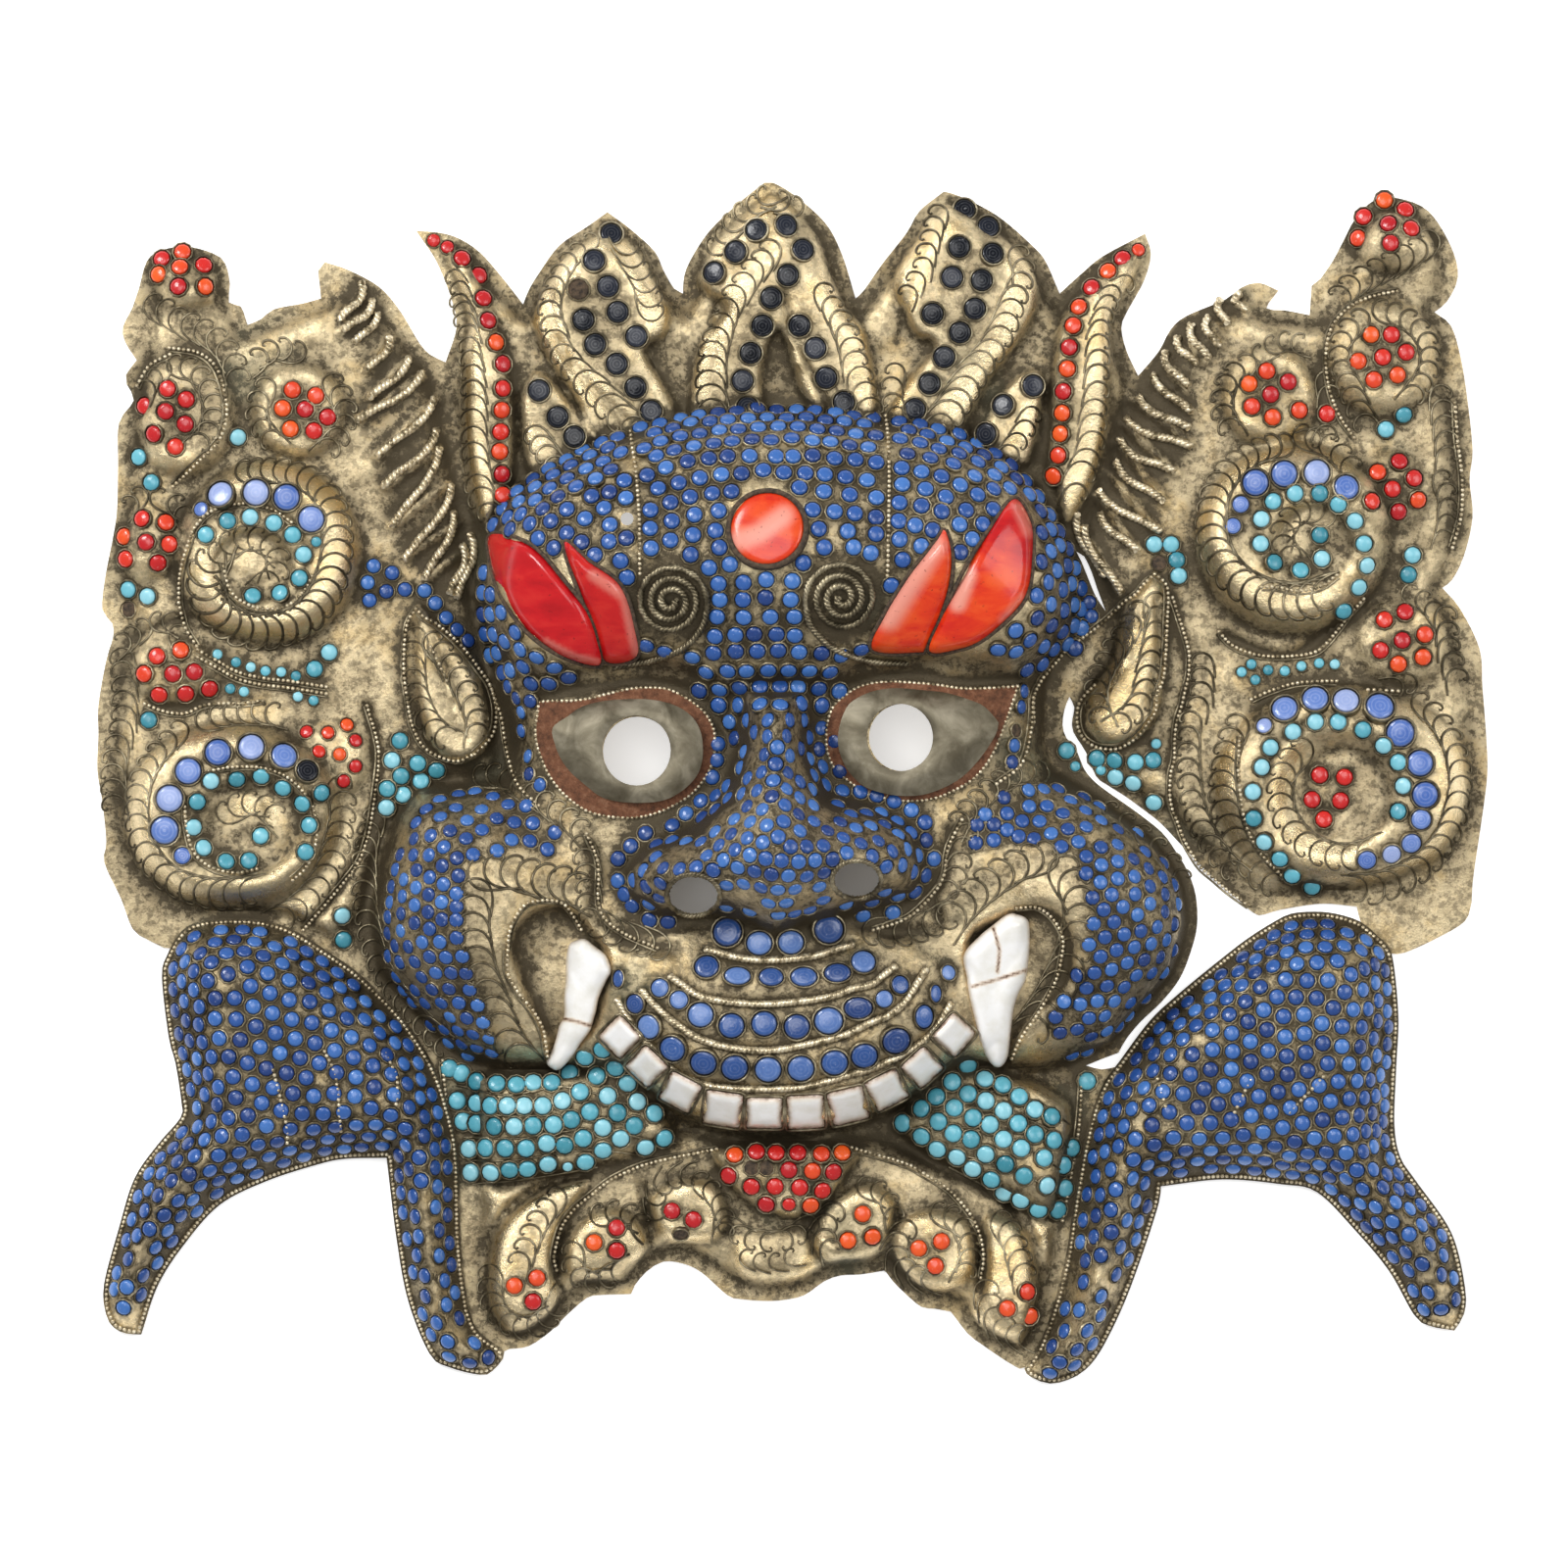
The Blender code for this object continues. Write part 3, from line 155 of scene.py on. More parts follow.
APRON = [(488, 1206), (700, 1150), (860, 1150), (1000, 1200), (1080, 1245), (1074, 1310), (1050, 1375),
         (1010, 1365), (975, 1325), (930, 1310), (900, 1280), (820, 1308), (755, 1308), (700, 1276),
         (650, 1290), (600, 1308), (560, 1345), (515, 1362), (495, 1330)]
PANEL_LEFT = [(150, 330), (170, 275), (225, 280), (246, 340), (300, 325), (350, 300), (390, 320),
              (440, 385), (460, 480), (484, 600), (500, 700), (510, 790), (430, 800), (392, 850),
              (370, 940), (340, 968), (260, 930), (180, 925), (135, 880), (117, 780), (120, 700),
              (135, 640), (125, 580), (135, 480), (148, 400)]
PANEL_RIGHT = [(1468, 310), (1470, 250), (1420, 215), (1380, 260), (1350, 330), (1290, 325),
               (1250, 318), (1200, 350), (1160, 410), (1120, 500), (1110, 560), (1140, 640),
               (1110, 740), (1140, 800), (1190, 830), (1240, 880), (1290, 912), (1400, 908),
               (1475, 885), (1500, 800), (1496, 700), (1470, 610), (1484, 540), (1482, 440),
               (1470, 350)]

# Fields raised by hammering from behind: outline, height in metres, shoulder in pixels.
LEAF_ONE = [(541, 310), (552, 272), (585, 242), (618, 226), (648, 246), (672, 280), (685, 318),
            (680, 345), (662, 360), (682, 395), (697, 425), (700, 450), (640, 470), (605, 455),
            (585, 410), (560, 370), (545, 340)]
LEAF_ONE_SHOOT = [(532, 395), (550, 378), (572, 395), (600, 430), (612, 452), (560, 484), (538, 484),
                  (530, 430)]
LEAF_TWO = [(708, 285), (722, 250), (752, 218), (783, 198), (815, 213), (842, 245), (853, 285),
            (880, 330), (892, 375), (893, 428), (840, 432), (814, 400), (800, 350), (790, 346),
            (780, 385), (778, 430), (706, 436), (704, 390), (714, 350), (738, 318), (726, 306)]
LEAF_THREE = [(915, 260), (935, 226), (965, 205), (1000, 216), (1040, 250), (1058, 280), (1060, 310),
              (1045, 345), (1015, 385), (990, 430), (985, 448), (915, 436), (905, 420), (925, 388),
              (950, 355), (932, 345), (918, 315), (912, 290)]
LEAF_THREE_SHOOT = [(1000, 446), (1014, 405), (1045, 378), (1064, 384), (1062, 430), (1048, 478),
                    (1020, 474)]
FLAME_LEFT = [(436, 244), (468, 255), (492, 285), (508, 330), (522, 380), (527, 430), (526, 490),
              (510, 525), (495, 545), (482, 500), (475, 450), (474, 400), (471, 350), (463, 300),
              (452, 272)]
FLAME_RIGHT = [(1165, 246), (1168, 268), (1152, 303), (1137, 332), (1133, 380), (1131, 430),
               (1120, 480), (1103, 520), (1084, 540), (1074, 500), (1064, 490), (1068, 440),
               (1070, 390), (1076, 340), (1092, 302), (1128, 268)]
EAR_LEFT = [(426, 616), (450, 636), (478, 664), (500, 700), (507, 738), (497, 768), (470, 780),
            (444, 768), (424, 735), (414, 690), (414, 650)]
EAR_RIGHT = [(1178, 584), (1190, 604), (1191, 650), (1187, 705), (1178, 736), (1160, 756),
             (1130, 765), (1108, 756), (1100, 736), (1101, 716), (1116, 694), (1132, 672),
             (1138, 645), (1146, 616), (1162, 597)]
SCROLLS = [
    [(497, 1300), (510, 1252), (545, 1216), (580, 1202), (604, 1206), (576, 1250), (568, 1290),
     (574, 1320), (568, 1345), (545, 1360), (515, 1360), (498, 1335)],
    [(585, 1250), (620, 1230), (650, 1240), (664, 1270), (655, 1296), (630, 1310), (592, 1308),
     (574, 1290)],
    [(660, 1225), (690, 1200), (730, 1205), (745, 1240), (735, 1262), (705, 1270), (675, 1262)],
    [(828, 1270), (835, 1235), (860, 1212), (890, 1205), (915, 1225), (912, 1265), (890, 1288),
     (850, 1288)],
    [(915, 1245), (945, 1230), (985, 1240), (998, 1275), (990, 1306), (955, 1320), (920, 1302),
     (905, 1275)],
    [(1000, 1240), (1030, 1240), (1052, 1270), (1058, 1320), (1052, 1356), (1036, 1374),
     (1005, 1362), (988, 1340), (1002, 1300)],
]
CHIN_BOSS = [(735, 1168), (870, 1168), (864, 1200), (846, 1226), (815, 1243), (790, 1240),
             (760, 1225), (738, 1200)]
CHIN_TIP = [(745, 1262), (780, 1252), (850, 1256), (856, 1290), (800, 1314), (757, 1305)]
FANG_HOLLOW_LEFT = [(521, 965), (535, 932), (565, 920), (592, 930), (624, 972), (618, 1030),
                    (592, 1072), (562, 1094), (556, 1062), (536, 1015)]
FANG_HOLLOW_RIGHT = [(982, 960), (1020, 930), (1060, 920), (1090, 940), (1097, 975), (1086, 1010),
                     (1052, 1042), (1030, 1085), (1012, 1088), (996, 1040)]
RAISED = [
    (LEAF_ONE, 0.0045, 11), (LEAF_ONE_SHOOT, 0.0040, 10), (LEAF_TWO, 0.0045, 11),
    (LEAF_THREE, 0.0045, 11), (LEAF_THREE_SHOOT, 0.0040, 10), (FLAME_LEFT, 0.0050, 12),
    (FLAME_RIGHT, 0.0050, 12), (EAR_LEFT, 0.0060, 13), (EAR_RIGHT, 0.0060, 13),
    (CHIN_BOSS, 0.0060, 12), (CHIN_TIP, 0.0025, 14), (FANG_HOLLOW_LEFT, -0.0060, 13),
    (FANG_HOLLOW_RIGHT, -0.0060, 13),
] + [(scroll, 0.0048, 14) for scroll in SCROLLS]

# Round fields: centre, half width, half height, height in metres, shoulder as a share of the radius.
DOMES = [
    ((275, 565), 98, 97, 0.0085, 0.30), ((262, 580), 44, 42, -0.0035, 0.45),
    ((237, 832), 114, 97, 0.0085, 0.28), ((262, 842), 58, 56, -0.0035, 0.40),
    ((190, 425), 55, 64, 0.0040, 0.35), ((306, 420), 51, 51, 0.0040, 0.35),
    ((150, 552), 40, 42, 0.0030, 0.50), ((180, 685), 48, 36, 0.0030, 0.50),
    ((340, 775), 40, 42, 0.0030, 0.50), ((192, 287), 40, 32, 0.0045, 0.60),
    ((1318, 550), 102, 100, 0.0085, 0.30), ((1335, 555), 46, 44, -0.0035, 0.45),
    ((1368, 802), 134, 106, 0.0085, 0.26), ((1362, 806), 66, 62, -0.0035, 0.40),
    ((1410, 365), 62, 62, 0.0040, 0.35), ((1294, 405), 52, 54, 0.0040, 0.35),
    ((1419, 501), 42, 42, 0.0030, 0.50), ((1430, 655), 50, 48, 0.0030, 0.50),
    ((1420, 245), 46, 36, 0.0045, 0.60),
    ((478, 915), 96, 105, 0.0050, 0.80), ((1118, 905), 92, 105, 0.0050, 0.80),
    ((790, 880), 110, 95, 0.0060, 1.00), ((640, 768), 88, 62, 0.0025, 0.60),
    ((930, 757), 88, 58, 0.0025, 0.60), ((783, 560), 260, 110, 0.0020, 1.00),
]

# Locks of the mane, from the root of each to its tip.
LOCKS_LEFT = [[(372, 285), (352, 325)], [(386, 311), (347, 340)], [(397, 345), (375, 379)],
              [(416, 368), (377, 407)], [(431, 384), (367, 427)], [(446, 407), (385, 466)],
              [(449, 458), (395, 497)], [(457, 494), (400, 538)], [(472, 532), (415, 568)],
              [(472, 563), (431, 594)]]
LOCKS_RIGHT = [[(1262, 298), (1271, 318)], [(1233, 321), (1247, 352)], [(1205, 334), (1228, 370)],
               [(1183, 358), (1208, 400)], [(1168, 386), (1214, 420)], [(1155, 408), (1214, 452)],
               [(1145, 432), (1199, 483)], [(1140, 452), (1189, 513)], [(1130, 482), (1178, 539)],
               [(1118, 506), (1160, 561)], [(1106, 540), (1142, 604)]]
LOCK_HALF_WIDTH = 7.5
LOCK_RISE = 0.0018


# Outer edges of the two arms, which lap over the sheet's lower corners.
LEFT_ARM_EDGE = [
    [(145, 1361), (130, 1360), (117, 1354), (109, 1340), (107, 1310), (122, 1253), (138, 1202),
     (162, 1167), (185, 1140), (186, 1125), (180, 1085), (173, 1058), (166, 997), (171, 975),
     (186, 950), (205, 940), (234, 937), (263, 938), (289, 944), (311, 955), (340, 974), (369, 995),
     (410, 1036), (443, 1087), (459, 1132), (468, 1177), (471, 1272), (480, 1338), (492, 1361),
     (515, 1379), (503, 1398), (490, 1402), (458, 1394), (439, 1381), (417, 1327), (405, 1263),
     (395, 1181)],
    [(395, 1181), (353, 1182), (324, 1188), (272, 1205), (225, 1229), (189, 1269), (162, 1311),
     (145, 1361)],
]
RIGHT_ARM_EDGE = [
    [(1184, 1210), (1182, 1227), (1165, 1280), (1145, 1333), (1123, 1377), (1107, 1397), (1090, 1407),
     (1071, 1411), (1053, 1405), (1045, 1396), (1056, 1380), (1074, 1333), (1088, 1277),
     (1095, 1227), (1108, 1157), (1123, 1110), (1143, 1081), (1173, 1041), (1203, 1013),
     (1247, 977), (1273, 957), (1300, 940), (1317, 932), (1340, 930), (1362, 932), (1387, 940),
     (1405, 955), (1419, 972), (1426, 1035), (1424, 1087), (1422, 1147), (1428, 1180), (1443, 1203),
     (1480, 1257), (1494, 1313), (1493, 1340), (1483, 1357)],
    [(1483, 1357), (1457, 1352), (1442, 1341), (1417, 1297), (1383, 1256), (1343, 1216),
     (1307, 1208), (1247, 1203), (1184, 1210)],
]


PIXEL = 0.396 / 1417.0                # metres of the mask in one pixel of the photograph
MIDDLE = (808.5, 798.7)               # the pixel over the frame's origin
SHEET_THICKNESS = 0.0010
MAP_STEP = 2.0                        # pixels between the samples of the height map
MAP_LOW = (84.0, 170.0)
MAP_HIGH = (1534.0, 1428.0)
BLEND = 5                             # how sharply the face's masses meet
map_x, map_y = np.meshgrid(np.arange(MAP_LOW[0], MAP_HIGH[0], MAP_STEP),
                           np.arange(MAP_LOW[1], MAP_HIGH[1], MAP_STEP))


def smooth_run(points, step):
    """Points of a Catmull-Rom curve through the run, without its last point."""
    knots = [Vector(p) for p in points]
    knots = [2 * knots[0] - knots[1]] + knots + [2 * knots[-1] - knots[-2]]
    result = []
    for a, b, c, d in zip(knots, knots[1:], knots[2:], knots[3:]):
        pieces = max(1, round((c - b).length / step))
        for k in range(pieces):
            t = k / pieces
            result.append(0.5 * (2 * b + (c - a) * t + (2 * a - 5 * b + 4 * c - d) * t * t
                                 + (3 * b - a - 3 * c + d) * t ** 3))
    return result


def smooth_path(points, step):
    """The same curve with its last point."""
    return smooth_run(points, step) + [Vector(points[-1])]


def smooth_outline(runs, step):
    """A closed outline from runs that meet at corners."""
    return [point for run in runs for point in smooth_run(run, step)]


def round_outline(points, step):
    """A closed outline with no corner, through its points."""
    ring = [points[-1], *points, points[0], points[1]]
    whole = smooth_run(ring, step)
    first = max(1, round((Vector(points[0]) - Vector(points[-1])).length / step))
    last = max(1, round((Vector(points[1]) - Vector(points[0])).length / step))
    return whole[first:len(whole) - last]


def ellipse(centre, half_width, half_height, sides=36):
    """Points round an ellipse."""
    return [Vector((centre[0] + half_width * math.cos(k * math.tau / sides),
                    centre[1] + half_height * math.sin(k * math.tau / sides))) for k in range(sides)]


def path_distance(x, y, path):
    """Distance of each point to the nearest stretch of a path."""
    nearest = np.full(x.shape, np.inf)
    for (ax, ay), (bx, by) in zip(path, path[1:]):
        dx = bx - ax
        dy = by - ay
        along = np.clip(((x - ax) * dx + (y - ay) * dy) / (dx * dx + dy * dy + 1e-12), 0, 1)
        nearest = np.minimum(nearest, (x - ax - along * dx) ** 2 + (y - ay - along * dy) ** 2)
    return np.sqrt(nearest)


def in_metres(spots):
    """The photograph's points as plan places in metres."""
    return (np.asarray(spots, float) - MIDDLE) * (PIXEL, -PIXEL)


def in_pixels(places):
    """Places in metres as points of the photograph."""
    return places[:, :2] / (PIXEL, -PIXEL) + MIDDLE


def depth_inside(x, y, outline):
    """Distance of each point to a closed outline, positive inside and negative outside."""
    inside = np.zeros(x.shape, bool)
    for (ax, ay), (bx, by) in zip(outline, [*outline[1:], outline[0]]):
        if by != ay:
            inside ^= ((ay > y) != (by > y)) & (x < (bx - ax) * (y - ay) / (by - ay) + ax)
    return np.where(inside, 1, -1) * path_distance(x, y, [*outline, outline[0]])


def window(points, margin):
    """The part of the map round some points."""
    spots = np.array([tuple(point) for point in points])
    low = np.floor((spots.min(axis=0) - margin - MAP_LOW) / MAP_STEP).astype(int).clip(0)
    high = np.ceil((spots.max(axis=0) + margin - MAP_LOW) / MAP_STEP).astype(int) + 1
    return slice(low[1], max(high[1], 0)), slice(low[0], max(high[0], 0))


def mapped_depth(outline):
    """Depth inside an outline over the whole map, worked out only near it."""
    result = np.full(map_x.shape, -999.0)
    part = window(outline, 4 * MAP_STEP)
    result[part] = depth_inside(map_x[part], map_y[part], outline)
    return result


def rounded(rise):
    """A quarter of a sine wave, from 0 to 1."""
    return np.sin(np.clip(rise, 0, 1) * math.pi / 2)


def soft_step(value):
    """0 below 0, 1 above 1, and smooth between."""
    t = np.clip(value, 0, 1)
    return t * t * (3 - 2 * t)


def swelling(outline, heights, shoulders):
    """A mass with a steep rim and a broad dome on top of it, in metres."""
    depth = mapped_depth(outline)
    return sum(height * rounded(depth / shoulder) for height, shoulder in zip(heights, shoulders))


def ridge(path, half_width, height):
    """Add a rounded ridge along a path, or a groove if its height is negative."""
    part = window(path, half_width + 2 * MAP_STEP)
    away = path_distance(map_x[part], map_y[part], path)
    height_map[part] += height * np.cos(np.clip(away / half_width, 0, 1) * math.pi / 2) ** 2


def blurred(field, radius):
    """The map smoothed by a bell curve, radius in pixels."""
    reach = int(3 * radius / MAP_STEP) + 1
    weights = np.exp(-0.5 * (np.arange(-reach, reach + 1) * MAP_STEP / radius) ** 2)
    weights /= weights.sum()
    for axis in (0, 1):
        field = np.apply_along_axis(lambda line: np.convolve(
            np.pad(line, reach, "edge"), weights, "valid"), axis, field)
    return field


def sampled(field, x, y):
    """The map's value at the photograph's points."""
    column = np.clip((np.asarray(x) - MAP_LOW[0]) / MAP_STEP, 0, field.shape[1] - 1.001)
    row = np.clip((np.asarray(y) - MAP_LOW[1]) / MAP_STEP, 0, field.shape[0] - 1.001)
    i = column.astype(int)
    j = row.astype(int)
    u = column - i
    v = row - j
    return ((field[j, i] * (1 - u) + field[j, i + 1] * u) * (1 - v)
            + (field[j + 1, i] * (1 - u) + field[j + 1, i + 1] * u) * v)


mask_outline = smooth_outline(MASK_EDGE, 8.0)
arm_outlines = [smooth_outline(edge, 8.0) for edge in (LEFT_ARM_EDGE, RIGHT_ARM_EDGE)]
masses = [swelling(FOREHEAD, (0.026, 0.015), (36, 150)), swelling(FACE, (0.014, 0.010), (34, 110)),
          swelling(NOSE, (0.028, 0.0235), (38, 84)), swelling(MUZZLE, (0.018, 0.013), (15, 80)),
          swelling(COLLAR_LEFT, (0.008, 0.004), (16, 50)),
          swelling(COLLAR_RIGHT, (0.008, 0.004), (16, 50)), swelling(CROWN, (0.004,), (18,)),
          swelling(APRON, (0.005,), (22,)), swelling(PANEL_LEFT, (0.0035,), (24,)),
          swelling(PANEL_RIGHT, (0.0035,), (24,))]
height_map = sum(mass ** BLEND for mass in masses) ** (1 / BLEND)
height_map = blurred(height_map, 3.0)
for outline, rise, shoulder in RAISED:
    height_map += rise * rounded(mapped_depth(round_outline(outline, 6.0)) / shoulder)
for centre, half_width, half_height, rise, shoulder in DOMES:
    reach = np.hypot((map_x - centre[0]) / half_width, (map_y - centre[1]) / half_height)
    height_map += rise * rounded((1 - reach) / shoulder)
for path in LOCKS_LEFT + LOCKS_RIGHT:
    ridge([Vector(spot) for spot in path], LOCK_HALF_WIDTH, LOCK_RISE)

# Chased grooves, driven in from the front: between the turns of the volutes, down the ears, and between the
# rows of the mouth and the collars. Each volute: centre, outer and inner radius, start, sweep and hand.
VOLUTE_GROOVES = [((262, 578), 66, 14, -150, 640, 1), ((245, 838), 76, 16, -170, 620, 1),
                  ((1335, 552), 68, 14, -30, 640, -1), ((1362, 806), 88, 18, -20, 620, -1)]
VOLUTE_GROOVE_HALF_WIDTH = 8
VOLUTE_GROOVE_DEPTH = 0.0009
for centre, wide, narrow, start, sweep, hand in VOLUTE_GROOVES:
    turns = np.linspace(0, 1, 60)
    angles = np.radians(start + hand * sweep * turns)
    radii = wide + (narrow - wide) * turns
    groove = [Vector((centre[0] + r * math.cos(a), centre[1] + r * math.sin(a)))
              for r, a in zip(radii, angles)]
    ridge(groove, VOLUTE_GROOVE_HALF_WIDTH, -VOLUTE_GROOVE_DEPTH)
# Each groove: path, half width and height.
GROOVES = [
    ([(424, 640), (424, 690), (432, 745)], 8, -0.0025), ([(1180, 612), (1181, 660), (1172, 722)],
                                                         8, -0.0025),
    ([(441, 661), (457, 695), (470, 740)], 6, 0.0015), ([(1158, 620), (1150, 670), (1125, 720)], 6, 0.0015),
    ([(618, 232), (572, 262), (561, 305), (570, 350), (600, 392), (640, 432)], 8, -0.0014),
    ([(782, 205), (742, 245), (735, 290), (728, 350), (730, 418)], 7, -0.0012),
    ([(962, 212), (944, 250), (930, 300), (915, 350)], 7, -0.0012),
    ([(800, 300), (812, 350), (838, 400), (848, 425)], 7, -0.0016),
    ([(492, 1295), (496, 1268), (514, 1238), (550, 1212), (598, 1198)], 9, -0.0022),
    ([(1030, 1228), (1050, 1252), (1062, 1290), (1060, 1330)], 9, -0.0022),
    ([(575, 1248), (566, 1283), (572, 1330), (548, 1356)], 8, -0.0022),
    ([(1003, 1262), (1000, 1303), (1006, 1350), (1030, 1370)], 8, -0.0022),
    ([(655, 1210), (664, 1255), (655, 1296)], 8, -0.0018),
    ([(822, 1235), (830, 1275), (850, 1296)], 8, -0.0018),
    ([(915, 1235), (908, 1270), (925, 1308)], 8, -0.0018),
    ([(606, 866), (612, 905), (606, 935), (640, 962), (690, 966)], 12, -0.0016),
    ([(968, 846), (962, 885), (950, 915), (955, 945), (905, 952)], 12, -0.0016),
    ([(548, 716), (600, 703), (660, 697), (712, 712), (740, 745)], 12, -0.0018),
    ([(1036, 694), (985, 697), (925, 690), (862, 704), (836, 745)], 12, -0.0018),
    ([(375, 720), (387, 779), (378, 845), (352, 900), (318, 942)], 8, -0.0020),
    ([(1196, 610), (1212, 690), (1200, 745), (1194, 800), (1212, 868), (1252, 912)], 8, -0.0016),
    ([(140, 650), (190, 632), (240, 650), (300, 655)], 9, -0.0016),
    ([(1250, 650), (1315, 670), (1370, 632)], 9, -0.0016),
]
# Valleys between the rows of the mouth, from the upper lip down. Ropes of wire lie in them.
MOUTH_GROOVE_HALF_WIDTH = 8
MOUTH_GROOVE_DEPTH = 0.0010
MOUTH_WIRES = [
    [(721, 967), (756, 976), (787, 978), (829, 974), (852, 967), (870, 962)],
    [(685, 994), (699, 1004), (715, 1014), (746, 1020), (787, 1022), (841, 1016), (868, 1007),
     (889, 1002), (903, 991), (913, 984)],
    [(656, 1008), (674, 1028), (695, 1045), (715, 1057), (746, 1066), (787, 1069), (831, 1061),
     (862, 1053), (887, 1041), (907, 1033), (924, 1018), (934, 1002), (944, 987)],
    [(631, 1018), (648, 1045), (668, 1069), (691, 1092), (721, 1104), (756, 1108), (800, 1108),
     (831, 1104), (862, 1095), (893, 1086), (924, 1071), (944, 1057), (956, 1043), (969, 1022)],
]
# Rows of the two collars beside the chin, from the top down. Plain wires lie in them.
COLLAR_GROOVE_HALF_WIDTH = 5
COLLAR_GROOVE_DEPTH = 0.0006
COLLAR_WIRES = [
    [(466, 1107), (520, 1116), (580, 1108), (650, 1128)],
    [(470, 1134), (530, 1138), (600, 1142), (662, 1147)],
    [(474, 1160), (530, 1160), (600, 1152), (690, 1166)],
    [(478, 1184), (530, 1182), (600, 1172), (660, 1178)],
    [(482, 1208), (540, 1202), (610, 1190)],
    [(958, 1110), (1010, 1112), (1060, 1124), (1090, 1146)],
    [(932, 1136), (990, 1130), (1060, 1146), (1096, 1176)],
    [(930, 1150), (990, 1150), (1050, 1172), (1092, 1200)],
    [(945, 1170), (1000, 1182), (1050, 1200), (1086, 1222)],
    [(968, 1190), (1010, 1212), (1050, 1232), (1080, 1244)],
]
for path, half_width, height in GROOVES:
    ridge(smooth_path(path, 12), half_width, height)
for path in MOUTH_WIRES:
    ridge(smooth_path(path, 14), MOUTH_GROOVE_HALF_WIDTH, -MOUTH_GROOVE_DEPTH)
for path in COLLAR_WIRES:
    ridge(smooth_path(path, 14), COLLAR_GROOVE_HALF_WIDTH, -COLLAR_GROOVE_DEPTH)

# The hammer's marks: broad unevenness over the whole sheet, and small dents.
dents = np.random.default_rng(7)
for depth, breadth in ((0.0007, 26), (0.00030, 7)):
    height_map += depth * blurred(dents.normal(size=map_x.shape), breadth) * breadth
rim = soft_step((mapped_depth(mask_outline) - 6) / 15)
arm_depths = [mapped_depth(outline) for outline in arm_outlines]
for depth in arm_depths:
    rim = rim * soft_step((-np.maximum(depth, -99) - 7) / 16)
height_map = SHEET_THICKNESS + np.maximum(height_map, 0) * rim
ARM_RIM = 0.0026
ARM_RISE = 0.0150
arm_maps = [ARM_RIM + ARM_RISE * rounded((depth - 3) / 58) for depth in arm_depths]


def hollow_of(field):
    """How far each place of a height map lies below its surroundings, in millimetres."""
    return 1000 * (0.5 * (blurred(field, 5) - field) + 0.5 * (blurred(field, 16) - field))


def lattice(outline, holes, gap):
    """Points of a triangular net inside an outline and outside its holes."""
    xs = [point[0] for point in outline]
    ys = [point[1] for point in outline]
    rows = np.arange(min(ys), max(ys), gap * math.sqrt(3) / 2)
    net = np.array([(x, y) for k, y in enumerate(rows)
                    for x in np.arange(min(xs) + (k % 2) * gap / 2, max(xs), gap)])
    clear = depth_inside(net[:, 0], net[:, 1], outline) > gap * 0.45
    for hole in holes:
        clear &= depth_inside(net[:, 0], net[:, 1], hole) < -gap * 0.45
    return net[clear]


def net_faces(outline, holes, gap):
    """Triangles of a net inside the outline: points, faces, and how many points lie on the edges."""
    points = []
    edges = []
    for loop in [outline, *holes]:
        first = len(points)
        points += [tuple(point) for point in loop]
        edges += [(first + k, first + (k + 1) % len(loop)) for k in range(len(loop))]
    on_edge = len(points)
    points += lattice(outline, holes, gap).tolist()
    verts, _, faces, origin, *_ = delaunay_2d_cdt([Vector(point) for point in points], edges, [], 0, 1e-5)
    order = np.array([source[0] for source in origin])
    flat = np.empty((len(points), 2))
    flat[order] = np.array([(vert.x, vert.y) for vert in verts])
    faces = order[np.array(faces)]
    middle = flat[faces].mean(axis=1)
    inside = depth_inside(middle[:, 0], middle[:, 1], outline) > 0
    for hole in holes:
        inside &= depth_inside(middle[:, 0], middle[:, 1], hole) < 0
    return flat, faces[inside], on_edge


def closed_piece(name, upper, upper_faces, under, under_faces, loops, sharpest):
    """A closed piece from an upper skin and an underside, joined round every loop of their edges."""
    places = np.vstack([upper, under])
    places[:, :2] = in_metres(places[:, :2])
    count = len(upper)
    faces = upper_faces[:, ::-1].tolist() + (under_faces + count).tolist()
    first = 0
    for loop in loops:
        for k in range(len(loop)):
            a = first + k
            b = first + (k + 1) % len(loop)
            faces.append((a, b, b + count, a + count))
        first += len(loop)
    mesh = bpy.data.meshes.new(name)
    mesh.from_pydata(places.tolist(), [], faces)
    shape = bmesh.new()
    shape.from_mesh(mesh)
    bmesh.ops.recalc_face_normals(shape, faces=shape.faces)
    shape.to_mesh(mesh)
    shape.free()
    mesh.shade_smooth()
    mesh.set_sharp_from_angle(angle=math.radians(sharpest))
    piece = bpy.data.objects.new(name, mesh)
    bpy.context.scene.collection.objects.link(piece)
    return piece


def marked(piece, label, values):
    """Give each point of a piece a value that its finish reads."""
    field = piece.data.attributes.get(label) or piece.data.attributes.new(label, "FLOAT", "POINT")
    field.data.foreach_set("value", np.asarray(values, np.float32))


def raised_sheet(name, outline, holes, field, top_gap, under_gap):
    """A hammered sheet with a fine upper face and a plainer underside."""
    top, top_faces, on_edge = net_faces(outline, holes, top_gap)
    under, under_faces, _ = net_faces(outline, holes, under_gap)
    slope_y, slope_x = np.gradient(field, MAP_STEP * PIXEL)
    wall = SHEET_THICKNESS * np.sqrt(1 + np.minimum(slope_x ** 2 + slope_y ** 2, 6))
    low_field = np.maximum(blurred(field, 4) - wall, field.min() - SHEET_THICKNESS)
    high = sampled(field, *top.T)
    low = sampled(low_field, *under.T)
    low[:on_edge] = high[:on_edge] - SHEET_THICKNESS
    sheet = closed_piece(name, np.column_stack([top, high]), top_faces, np.column_stack([under, low]),
                         under_faces, [outline, *holes], 55)
    # The finish darkens the hollows by this value: grime, and painted shade in the recesses.
    marked(sheet, "hollow", sampled(hollow_of(field), *np.vstack([top, under]).T))
    return sheet


